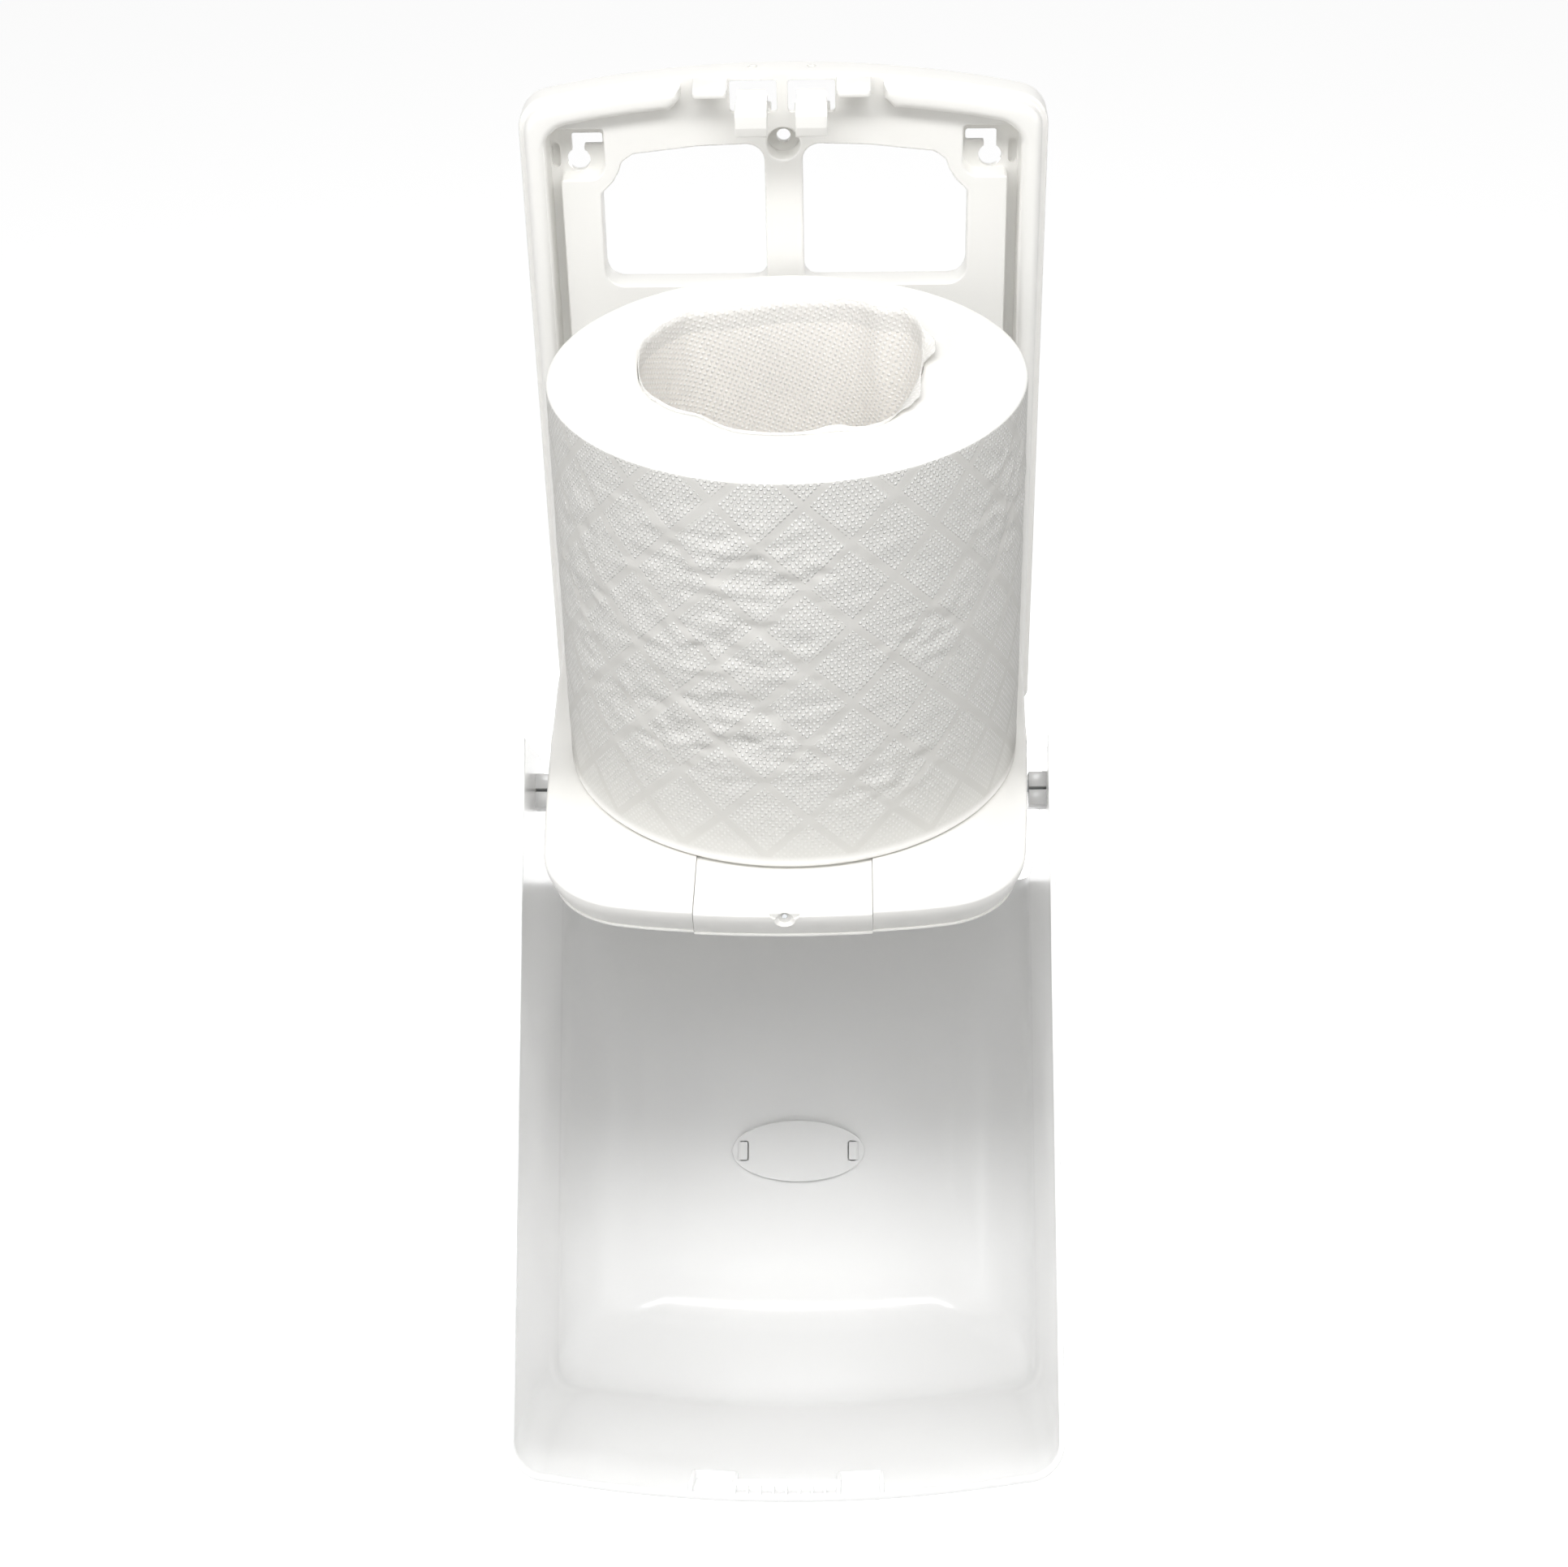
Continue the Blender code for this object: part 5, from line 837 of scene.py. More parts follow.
# The recess opens upwards in a shallow notch that widens towards the panel's top.
NOTCH_DEPTH = 0.00126
NOTCH_TOP_HALF, NOTCH_LOW_HALF = 0.0059, 0.00425
NOTCH_SHOULDER, NOTCH_RISE = 0.0008, 0.0009
ROLL_X, ROLL_Y = 0.0025, -0.11875
CLIP_COUNT = 4
CLIP_RADIUS = 0.0283
CLIP_THICKNESS = 0.0016
CLIP_WIDTH = 0.0080
CLIP_LENGTH = 0.0055

insert = finish_mesh("nozzle_insert_panel", shelf_loft(), satin_abs)
cut(insert, block(bmesh.new(), (-INSERT_HALF_WIDTH, -(SHELF_FRONT + OVERRUN), -(SHELF_LIP + OVERRUN)),
                  (INSERT_HALF_WIDTH, INSERT_BACK_Y, OVERRUN)), "INTERSECT")
recess_x, recess_z = SCREW_AT
half_notch = ((NOTCH_TOP_HALF, OVERRUN), (NOTCH_TOP_HALF, -NOTCH_SHOULDER),
              (NOTCH_LOW_HALF, recess_z + NOTCH_RISE))
notch = [(recess_x - half, z) for half, z in half_notch]
notch += [(recess_x + half, z) for half, z in reversed(half_notch)]
cut(insert, add_prism(bmesh.new(), notch, "Y", -(SHELF_FRONT + OVERRUN),
                      -(SHELF_FRONT - NOTCH_DEPTH)))
openings = add_rod(bmesh.new(), (0.0, ROLL_Y, -SHELF_LIP), (0.0, ROLL_Y, OVERRUN),
                   NOZZLE_BORE_RADIUS)
add_rod(openings, (recess_x, -(SHELF_FRONT - SCREW_RECESS_DEPTH), recess_z),
        (recess_x, -(SHELF_FRONT + OVERRUN), recess_z), SCREW_RECESS_FLOOR,
        SCREW_RECESS_RADIUS + OVERRUN / 2)
cut(insert, openings)
insert.data.transform(Matrix.Translation((0.0, 0.0, -INSERT_DROP)))
shaded(insert)
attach(insert, "wall_unit")
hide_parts("nozzle_insert")

fixings = bmesh.new()
flange_top = -(SHELF_THICKNESS + JOINT_GAP)
for side in (-1, 1):
    low_x, high_x = sorted((side * (INSERT_HALF_WIDTH - WALL),
                            side * (INSERT_HALF_WIDTH + INSERT_FLANGE_REACH)))
    block(fixings, (low_x, CROSSBAR_FRONT_Y, flange_top - INSERT_FLANGE),
          (high_x, INSERT_BACK_Y, flange_top))
block(fixings, (-SCREW_RECESS_RADIUS, -(SHELF_FRONT - SCREW_BLOCK_BACK), -SHELF_LIP + LIP_RIM),
      (SCREW_RECESS_RADIUS, CROSSBAR_FRONT_Y - JOINT_GAP, -SHELF_THICKNESS * ROOT_SHARE))
for k in range(CLIP_COUNT):
    turn = (Matrix.Translation((0.0, ROLL_Y, 0.0))
            @ Matrix.Rotation(math.pi * (2 * k + 1) / CLIP_COUNT, 4, "Z"))
    low_z = -SHELF_THICKNESS - CLIP_LENGTH
    clip = block(bmesh.new(), (CLIP_RADIUS, -CLIP_WIDTH / 2, low_z),
                 (CLIP_RADIUS + CLIP_THICKNESS, CLIP_WIDTH / 2, -SHELF_THICKNESS / 2))
    block(clip, (CLIP_RADIUS - CLIP_THICKNESS, -CLIP_WIDTH / 2, low_z),
          (CLIP_RADIUS + CLIP_THICKNESS / 2, CLIP_WIDTH / 2, low_z + CLIP_THICKNESS))
    bmesh.ops.transform(clip, matrix=turn, verts=clip.verts)
    fixings.from_mesh(as_mesh("clip", clip))
finish_moulding("insert_fixings", fixings, "wall_unit", satin_abs,
                SMALL_ROUND / 2)


# Nozzle, screw and pins. A turned acetal cone with a slit tip under the roll, and zinc-plated steel
# fasteners with a grey, faintly blue sheen.
SCREW_HEAD_RADIUS = 0.0013
SCREW_HEAD_EDGE = 0.00104
SCREW_HEAD_HEIGHT = 0.0004
SCREW_SHANK_RADIUS, SCREW_TIP_RADIUS = 0.0008, 0.00056
SCREW_LENGTH = 0.0070
SCREW_CROSS, SCREW_CROSS_REACH = 0.0004, 0.00091
# Noise per metre: turning lines about a millimetre apart, as coarse as they need to be to show, and
# the uneven plating over some 2.5 mm.
TURNING_SCALE, PLATING_SCALE = 900.0, 400.0


def plated_steel():
    """Bright zinc plate on turned steel: a soft metal gloss with fine turning lines."""
    made, tree = new_material("zinc_plated_steel")
    place = add(tree, "ShaderNodeTexCoord").outputs["Object"]
    lines = add(tree, "ShaderNodeTexWave", {"Vector": place, "Scale": TURNING_SCALE,
                                            "Distortion": 1.5},
                bands_direction="X").outputs["Fac"]
    wear = add(tree, "ShaderNodeTexNoise", {"Vector": place, "Scale": PLATING_SCALE,
                                            "Detail": 3.0})
    gloss = add(tree, "ShaderNodeMapRange", {"Value": wear, "To Min": 0.28, "To Max": 0.46})
    bump = add(tree, "ShaderNodeBump", {"Height": lines, "Strength": 0.2, "Distance": 0.00002})
    shader = add(tree, "ShaderNodeBsdfPrincipled", {
        "Base Color": linear("D5D7D9"), "Metallic": 1.0, "Roughness": gloss, "Normal": bump})
    add(tree, "ShaderNodeOutputMaterial", {"Surface": shader})
    return made


acetal = moulded_abs("white_acetal", "EFEFEB", "EBEBE6", 0.34, 0.1, 1.2, 0.00001)
coat(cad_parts["tear_nozzle"], acetal)
steel = plated_steel()
for node_name in ("hinge_pin_left", "hinge_pin_right"):
    coat(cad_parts[node_name], steel)

seat = -(SHELF_FRONT - SCREW_RECESS_DEPTH)
crown = seat - SCREW_HEAD_HEIGHT
head = add_rod(bmesh.new(), (recess_x, seat, recess_z), (recess_x, crown, recess_z),
               SCREW_HEAD_RADIUS, SCREW_HEAD_EDGE)
screw = finish_mesh("small_cross_head_screw", head, steel)
shank = add_rod(bmesh.new(), (recess_x, seat - SCREW_HEAD_HEIGHT / 2, recess_z),
                (recess_x, seat + SCREW_LENGTH, recess_z), SCREW_SHANK_RADIUS, SCREW_TIP_RADIUS)
cut(screw, shank, "UNION")
for across, along in ((SCREW_CROSS, SCREW_CROSS_REACH), (SCREW_CROSS_REACH, SCREW_CROSS)):
    cut(screw, block(bmesh.new(), (recess_x - across, crown - OVERRUN, recess_z - along),
                     (recess_x + across, seat - SCREW_HEAD_HEIGHT / 3, recess_z + along)))
shaded(screw)
coat(screw, steel)
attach(screw, "wall_unit")
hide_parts("insert_screw")


# Cover. One deep white ABS moulding, glossy inside and out, that swings down on its two hinge
# lugs. It is drawn closed, in the places that its mould gives it, and then swung open.
COVER_OPEN_DEG = 137.0
COVER_WALL = 0.0026
COVER_HALF_WIDTH = 0.1121
COVER_BULGE, BULGE_SPAN_SHARE = 0.0055, 0.95
COVER_RIM_Y = -0.0138
COVER_FRONT = 0.2540
COVER_CROWN = 0.2653
COVER_ARCH_RADIUS = 0.6000
COVER_CORNER_RADIUS = 0.0160
COVER_PLAN_RADIUS = 0.0400
PLAN_EASE = 1.12
# How gently the plan corner's bend comes and goes, from 0 for a plain arc to 1.
CORNER_GENTLE = 0.65
COVER_FRONT_BOW = 0.0055
# The bow meets the plan corner at this share of its radius, and it fades out towards the top bend.
BOW_MEETS_SHARE = 0.85
BOW_FADE_POWER = 4
TOP_BEND = (-0.2080, 0.2405)
FRONT_BEND_Z = 0.2020
BEND_RADIUS = 0.0240
TOP_BEND_RADIUS = 0.0360
BEND_START_SHARE = 0.06
BEND_ARC_STEPS = 12
# The tool's bends run into each other without an edge: behind and above this place they blend.
BLEND_FROM = (-0.1850, 0.1450)
BLEND_PASSES = 12
LOWER_EDGE = ((-0.0138, -0.0470), (-0.1120, -0.0560), (-0.2140, -0.0125))
RINGS_ALONG = 40
RINGS_ROUND = 52
SIDE_ROWS = 40
CORNER_ROWS = 16
TOP_ROWS = 56

swing_open = (Matrix.Translation((0.0, HINGE_Y, HINGE_Z))
              @ Matrix.Rotation(math.radians(COVER_OPEN_DEG), 4, "X")
              @ Matrix.Translation((0.0, -HINGE_Y, -HINGE_Z)))


def evenly_spaced(path, count):
    """The same line with count equal steps."""
    places = np.array([tuple(point) for point in path])
    travelled = np.concatenate([[0.0], np.cumsum(np.linalg.norm(np.diff(places, axis=0), axis=1))])
    goals = np.linspace(0.0, travelled[-1], count + 1)
    return [Vector([np.interp(goal, travelled, places[:, axis]) for axis in (0, 1)])
            for goal in goals]


def side_half_width(y):
    """Half width of the cover, a little barrelled between its rim and its front corners."""
    share = (COVER_RIM_Y - y) / (COVER_FRONT + COVER_RIM_Y)
    return COVER_HALF_WIDTH + COVER_BULGE * math.sin(math.pi * min(1.0, share * BULGE_SPAN_SHARE))


def lower_edge(y):
    """Height of the cover's lower edge: down to the hinge, then up to the front."""
    (rear_y, rear_z), (low_y, low_z), (front_y, front_z) = LOWER_EDGE
    if y > low_y:
        return rear_z + (low_z - rear_z) * (rear_y - y) / (rear_y - low_y)
    return low_z + (front_z - low_z) * smooth((low_y - y) / (low_y - front_y))


def arch_drop(x):
    """How far the arched top falls from its crown at a distance from the centre line."""
    return COVER_ARCH_RADIUS - math.sqrt(COVER_ARCH_RADIUS ** 2 - x ** 2)


def eased_corner(sweep):
    """The blend from side to front wall: its bend comes and goes gently, so no line shows."""
    path, steps = [Vector((0.0, 0.0))], RINGS_ROUND * 8
    for k in range(steps):
        share = (k + 0.5) / steps
        angle = sweep * ((1 - CORNER_GENTLE) * share + CORNER_GENTLE * smooth(share))
        path.append(path[-1] + Vector((math.sin(angle), math.cos(angle))))
    scale = COVER_PLAN_RADIUS * PLAN_EASE * (1 - math.sin(math.pi / 2 - sweep)) / path[-1].x
    return [place * scale for place in path[::8]]


def cover_stations():
    """Places along the side wall (y, half width), the top wall (y, height) and the lower edge."""
    lean = math.atan(2 * COVER_FRONT_BOW / (COVER_HALF_WIDTH - COVER_PLAN_RADIUS * BOW_MEETS_SHARE))
    corner = eased_corner(math.pi / 2 - lean)
    corner_y = -COVER_FRONT + COVER_FRONT_BOW + corner[-1].y
    slope = (COVER_CROWN - TOP_BEND[1]) / (COVER_RIM_Y - TOP_BEND[0])
    side, top, low = [], [], []
    for k in range(RINGS_ALONG):
        share = k / RINGS_ALONG
        y = COVER_RIM_Y + (corner_y - COVER_RIM_Y) * share
        top_y = COVER_RIM_Y + (TOP_BEND[0] + BEND_RADIUS / 2 - COVER_RIM_Y) * share
        side.append((y, side_half_width(y)))
        top.append((top_y, COVER_CROWN - slope * (COVER_RIM_Y - top_y)))
        low.append(lower_edge(y))
    half = side_half_width(corner_y)
    start = Vector(top[-1]).lerp(Vector(TOP_BEND), BEND_START_SHARE)
    bend = evenly_spaced(rounded([start, TOP_BEND, (-COVER_FRONT, FRONT_BEND_Z),
                                  (-COVER_FRONT, FRONT_BEND_Z - BEND_RADIUS / 2)],
                                 [0.0, TOP_BEND_RADIUS, BEND_RADIUS, 0.0], BEND_ARC_STEPS,
                                 closed=False), RINGS_ROUND)
    for place, over in zip(corner, bend):
        side.append((corner_y - place.y, half - place.x))
        top.append(tuple(over))
        low.append(lower_edge(corner_y - place.y))
    return side, top, low


def cover_ring(side, top, low):
    """One ring of the cover, from its lower left edge over the top to its lower right edge."""
    half, radius = side[1], COVER_CORNER_RADIUS
    flat = half - radius
    corner_z = top[1] - arch_drop(flat) - radius
    line = [(half, side[0], low + (corner_z - low) * k / SIDE_ROWS) for k in range(SIDE_ROWS)]
    for k in range(CORNER_ROWS + 1):
        angle = math.pi / 2 * k / CORNER_ROWS
        line.append((flat + radius * math.cos(angle),
                     side[0] + (top[0] - side[0]) * math.sin(angle) ** 2,
                     corner_z + radius * math.sin(angle)))
    for k in range(1, TOP_ROWS // 2 + 1):
        x = flat * (1 - 2 * k / TOP_ROWS)
        line.append((x, top[0], top[1] - arch_drop(x)))
    return [(-x, y, z) for x, y, z in line[:-1]] + line[::-1]


def cover_shell():
    """The shell as rings from the rim to the front corners, closed by the bowed front wall."""
    bm = bmesh.new()
    rings = [[bm.verts.new(place) for place in cover_ring(*station)]
             for station in zip(*cover_stations())]
    for first, second in zip(rings, rings[1:]):
        for i in range(len(first) - 1):
            bm.faces.new((first[i], first[i + 1], second[i + 1], second[i]))
    last = rings[-1]
    rows = SIDE_ROWS + CORNER_ROWS // 2
    across = len(last) - 1 - 2 * rows
    grid = [[None] * (across + 1) for _ in range(rows + 1)]
    for i in range(rows + 1):
        grid[i][0], grid[i][across] = last[i], last[len(last) - 1 - i]
    grid[rows] = [last[rows + j] for j in range(across + 1)]
    top_line = [vert.co.copy() for vert in grid[rows]]
    for i in range(rows):
        left, edge_x, climb = grid[i][0].co, grid[i][across].co.x, i / rows
        bow = COVER_FRONT_BOW * (edge_x / (COVER_HALF_WIDTH - COVER_PLAN_RADIUS)) ** 2
        for j in range(1, across):
            column = top_line[j].x / top_line[across].x
            y = (left.y + (top_line[j].y - top_line[0].y) * climb
                 - bow * (1 - column ** 2) * (1 - climb ** BOW_FADE_POWER))
            z = left.z + (top_line[j].z - top_line[0].z) * climb ** BOW_FADE_POWER
            grid[i][j] = bm.verts.new((column * edge_x, y, z))
    for i in range(rows):
        for j in range(across):
            bm.faces.new((grid[i][j], grid[i][j + 1], grid[i + 1][j + 1], grid[i + 1][j]))
    blend = [vert for vert in bm.verts if not vert.is_boundary and vert.co.y < BLEND_FROM[0]
             and vert.co.z > BLEND_FROM[1]]
    for _ in range(BLEND_PASSES):
        bmesh.ops.smooth_vert(bm, verts=blend, factor=0.5, use_axis_x=True, use_axis_y=True,
                              use_axis_z=True)
    return bm


# Polished tool: the gloss is even, with only a long faint ripple left by the melt.
gloss_abs = moulded_abs("gloss_moulded_abs", "F9F9F9", "F8F8F7", 0.22, 0.0, 40.0, 0.00001)
cover = finish_mesh("cover_shell", cover_shell(), gloss_abs)
wall = cover.modifiers.new("wall", "SOLIDIFY")
wall.thickness = COVER_WALL
wall.offset = -1.0
wall.use_even_offset = True
soften(cover, COVER_WALL / 4, angle_deg=60.0)


# Cover, blank oval: the front wall steps in behind a snapped-in oval plate, whose two hooked legs
# come through slots and show from inside.
OVAL_Z = 0.1194
OVAL_HALF_WIDTH = 0.0328
OVAL_HALF_HEIGHT = 0.0150
OVAL_RECESS = 0.0016
OVAL_PAD = 0.0014
OVAL_EDGE = 0.0006
OVAL_DOME = 0.0003
OVAL_SIDES = 96
BADGE_GAP = 0.0003
BADGE_THICKNESS = 0.0014
SNAP_X = 0.0268
SLOT_HALF_WIDTH = 0.0024
SLOT_HALF_HEIGHT = 0.0050
SLOT_ROUND = 0.0016
SNAP_LEG = 0.0034
SNAP_HALF_HEIGHT = 0.0044
SNAP_HOOK = 0.0009
FRONT_INNER = -(COVER_FRONT - COVER_WALL)
PAD_EDGE_STEPS = 5
PAD_DOME_SHARES = (0.03, 0.15, 0.3, 0.45, 0.6, 0.75, 0.9)


def ellipse(half_width, half_height, centre_z):
    """An oval outline."""
    return [(half_width * math.cos(2 * math.pi * k / OVAL_SIDES),
             centre_z + half_height * math.sin(2 * math.pi * k / OVAL_SIDES))
            for k in range(OVAL_SIDES)]


cut(cover, add_prism(bmesh.new(), ellipse(OVAL_HALF_WIDTH - COVER_WALL / 2,
                                          OVAL_HALF_HEIGHT - COVER_WALL / 2, OVAL_Z),
                     "Y", -(COVER_FRONT + OVERRUN), -(COVER_FRONT - OVAL_RECESS)))
pad = bmesh.new()
levels = [(0.0, -SINK)]
levels += [(OVAL_EDGE * (1 - math.cos(turn)), OVAL_PAD - OVAL_EDGE * (1 - math.sin(turn)))
           for turn in (math.pi / 2 * step / PAD_EDGE_STEPS for step in range(PAD_EDGE_STEPS + 1))]
levels += [(OVAL_EDGE + OVAL_HALF_HEIGHT * share, OVAL_PAD + OVAL_DOME * (1 - (1 - share) ** 2))
           for share in PAD_DOME_SHARES]
rings = [[pad.verts.new((x, FRONT_INNER + lift, z))
          for x, z in ellipse(OVAL_HALF_WIDTH - inset, OVAL_HALF_HEIGHT - inset, OVAL_Z)]
         for inset, lift in levels]
pad.faces.new(rings[0][::-1])
for first, second in zip(rings, rings[1:]):
    add_band(pad, first, second)
pad.faces.new(rings[-1])
cut(cover, pad, "UNION")
slots = bmesh.new()
for side in (-1, 1):
    add_prism(slots, rectangle(SLOT_HALF_WIDTH, SLOT_HALF_HEIGHT, (side * SNAP_X, OVAL_Z),
                               SLOT_ROUND),
              "Y", -(COVER_FRONT + OVERRUN), FRONT_INNER + OVAL_PAD + OVERRUN)
cut(cover, slots)
cover.data.transform(swing_open)
shaded(cover)
coat(cover, gloss_abs)
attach(cover, "cover")
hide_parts("cover")

badge_back = -(COVER_FRONT - OVAL_RECESS) - BADGE_GAP
plate_shape = add_prism(bmesh.new(), ellipse(OVAL_HALF_WIDTH - COVER_WALL / 2 - BADGE_GAP,
                                             OVAL_HALF_HEIGHT - COVER_WALL / 2 - BADGE_GAP,
                                             OVAL_Z),
                        "Y", badge_back - BADGE_THICKNESS, badge_back)
badge = soften(finish_mesh("blank_oval_badge", plate_shape, gloss_abs), BADGE_THICKNESS / 4)
legs = bmesh.new()
hook_y = FRONT_INNER + OVAL_PAD + BADGE_GAP
for side in (-1, 1):
    inner = side * (SNAP_X - SNAP_LEG / 2)
    outer = side * (SNAP_X + SNAP_LEG / 2)
    toe = side * (SNAP_X + SLOT_HALF_WIDTH + SNAP_HOOK / 2)
    shape = [(inner, badge_back - BADGE_THICKNESS / 2), (inner, hook_y + SNAP_HOOK),
             (outer, hook_y + SNAP_HOOK), (toe, hook_y + SNAP_HOOK / 3), (toe, hook_y),
             (outer, hook_y), (outer, badge_back - BADGE_THICKNESS / 2)]
    add_prism(legs, shape, "Z", OVAL_Z - SNAP_HALF_HEIGHT, OVAL_Z + SNAP_HALF_HEIGHT)
cut(badge, legs, "UNION")
badge.data.transform(swing_open)
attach(badge, "cover")
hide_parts("oval_badge")


# Cover, catch: a rail between two guide pockets, with thin webs behind it, moulded inside the rim
# of the top wall. It snaps in behind the latch teeth, and the pockets take the guide tongues.
CATCH_BACK_Y = -0.0220
CATCH_THICKNESS = 0.0024
CATCH_BOTTOM_Z = 0.2569
WEB_COUNT = 7
WEB_PITCH = 0.0052
WEB_THICKNESS = 0.0010
WEB_HEIGHT = 0.0044
WEB_BOTTOM_Z = 0.2588
POCKET_HALF_INNER = 0.0078
POCKET_WALL = 0.0018
POCKET_DEPTH = 0.0260
POCKET_RIB = 0.0034


def cover_top_inner(x, y):
    """Height of the inside of the top wall."""
    slope = (COVER_CROWN - TOP_BEND[1]) / (COVER_RIM_Y - TOP_BEND[0])
    return COVER_CROWN - COVER_WALL - slope * (COVER_RIM_Y - y) - arch_drop(x)


catch_half = GUIDE_CENTRE_X - POCKET_HALF_INNER - POCKET_WALL / 2
rail = bmesh.new()
add_prism(rail, [(CATCH_BACK_Y, CATCH_BOTTOM_Z), (CATCH_BACK_Y - CATCH_THICKNESS, CATCH_BOTTOM_Z),
                 (CATCH_BACK_Y - CATCH_THICKNESS, cover_top_inner(0, CATCH_BACK_Y) + SINK),
                 (CATCH_BACK_Y, cover_top_inner(0, CATCH_BACK_Y) + SINK)],
          "X", -catch_half, catch_half)
finish_moulding("cover_catch_rail", rail, "cover", gloss_abs, SMALL_ROUND,
                swing_open)
pockets = bmesh.new()
for side in (-1, 1):
    reach = POCKET_HALF_INNER + POCKET_WALL
    centre, mouth, end = side * GUIDE_CENTRE_X, COVER_RIM_Y, COVER_RIM_Y - POCKET_DEPTH
    plan = rounded([(centre - reach, mouth), (centre - reach, end - POCKET_WALL),
                    (centre + reach, end - POCKET_WALL), (centre + reach, mouth),
                    (centre + POCKET_HALF_INNER, mouth), (centre + POCKET_HALF_INNER, end),
                    (centre - POCKET_HALF_INNER, end), (centre - POCKET_HALF_INNER, mouth)],
                   [0, POCKET_WALL, POCKET_WALL, 0, 0, POCKET_WALL / 2, POCKET_WALL / 2, 0], 5)
    add_slab(pockets, *([(x, y, cover_top_inner(x, y) + lift) for x, y in plan]
                        for lift in (-POCKET_RIB, SINK)))
finish_moulding("cover_guide_pockets", pockets, "cover", gloss_abs,
                SMALL_ROUND, swing_open)


def node_tree_shape(name, inputs, build):
    """Evaluate a geometry node tree, built by a function, into a plain mesh object."""
    tree = bpy.data.node_groups.new(name, "GeometryNodeTree")
    tree.interface.new_socket("Geometry", in_out="OUTPUT", socket_type="NodeSocketGeometry")
    sockets = {}
    for label, value in inputs.items():
        kind = {int: "NodeSocketInt", float: "NodeSocketFloat"}[type(value)]
        sockets[label] = tree.interface.new_socket(label, in_out="INPUT", socket_type=kind)
    source = tree.nodes.new("NodeGroupInput")
    end = tree.nodes.new("NodeGroupOutput")
    tree.links.new(build(tree, source.outputs).outputs[0], end.inputs[0])
    piece = placed(name, bpy.data.meshes.new(name))
    grower = piece.modifiers.new("grow", "NODES")
    grower.node_group = tree
    for label, value in inputs.items():
        grower[sockets[label].identifier] = value
    return bake_modifiers(piece)


def webs_tree(tree, given):
    """Webs: a round-edged bar, repeated at an even pitch across the rail."""
    section = add(tree, "GeometryNodeCurvePrimitiveQuadrilateral",
                  {"Width": given["Thickness"], "Height": given["Height"]})
    soft = add(tree, "GeometryNodeFilletCurve", {"Curve": section, "Radius": given["Edge"],
                                                 "Count": 3}, mode="POLY")
    tip = add(tree, "ShaderNodeCombineXYZ", {"Y": given["Length"]})
    spine = add(tree, "GeometryNodeCurvePrimitiveLine", {"End": tip})
    bar = add(tree, "GeometryNodeCurveToMesh", {"Curve": spine, "Profile Curve": soft,
                                                "Fill Caps": True})
    steps = add(tree, "ShaderNodeMath", {0: given["Count"], 1: 1.0}, operation="SUBTRACT")
    half = add(tree, "ShaderNodeMath", {0: steps, 1: -0.5}, operation="MULTIPLY")
    first = add(tree, "ShaderNodeMath", {0: half, 1: given["Pitch"]}, operation="MULTIPLY")
    start = add(tree, "ShaderNodeCombineXYZ", {"X": first})
    stride = add(tree, "ShaderNodeCombineXYZ", {"X": given["Pitch"]})
    places = add(tree, "GeometryNodeMeshLine", {"Count": given["Count"], "Start Location": start,
                                                "Offset": stride})
    copies = add(tree, "GeometryNodeInstanceOnPoints", {"Points": places, "Instance": bar})
    real = add(tree, "GeometryNodeRealizeInstances", {"Geometry": copies})
    return add(tree, "GeometryNodeSetMaterial", {"Geometry": real, "Material": gloss_abs})


webs = node_tree_shape("cover_webs", {"Count": WEB_COUNT, "Pitch": WEB_PITCH,
                                      "Thickness": WEB_THICKNESS, "Height": WEB_HEIGHT,
                                      "Length": COVER_RIM_Y - CATCH_BACK_Y,
                                      "Edge": SMALL_ROUND}, webs_tree)
webs.data.transform(swing_open @ Matrix.Translation((0, CATCH_BACK_Y,
                                                     WEB_BOTTOM_Z + WEB_HEIGHT / 2)))
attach(webs, "cover")


# Cover, hinge lugs: a block inside each side wall with a bore for the pin, split so that it springs
# over the pin's end.
LUG_GAP = 0.0024
LUG_HALF = 0.0075
LUG_RISE = 0.0020
LUG_SLIT = 0.0014

lug_inner = CHEEK_OUTER_X + LUG_GAP
lug_outer = side_half_width(HINGE_Y) - COVER_WALL
for side, name in ((-1, "cover_lug_left"), (1, "cover_lug_right")):
    centre_z, slit = HINGE_Z + LUG_RISE, LUG_SLIT / 2
    split = [(HINGE_Y + a, centre_z + b) for a, b in (
        (-LUG_HALF, -LUG_HALF), (LUG_HALF, -LUG_HALF), (LUG_HALF, -slit), (0.0, -slit),
        (0.0, slit), (LUG_HALF, slit), (LUG_HALF, LUG_HALF), (-LUG_HALF, LUG_HALF))]
    blank = add_prism(bmesh.new(), split, "X",
                      *sorted((side * lug_inner, side * (lug_outer + SINK))))
    lug = soften(finish_mesh(name, blank, gloss_abs), SMALL_ROUND)
    cut(lug, add_rod(bmesh.new(), (side * (lug_inner - OVERRUN), HINGE_Y, HINGE_Z),
                     (side * (lug_outer - OVERRUN / 4), HINGE_Y, HINGE_Z),
                     PIN_RADIUS + PIN_CLEARANCE))
    lug.data.transform(swing_open)
    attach(lug, "cover")


# Paper roll. Two-ply tissue wound without a core and embossed with dots in diamonds. The middle
# is torn out unevenly, and handling has left shallow creases in the outer turns.
ROLL_RADIUS = 0.09675
ROLL_LOW, ROLL_HIGH = 0.0003, 0.1753
ROLL_EDGE = 0.0012
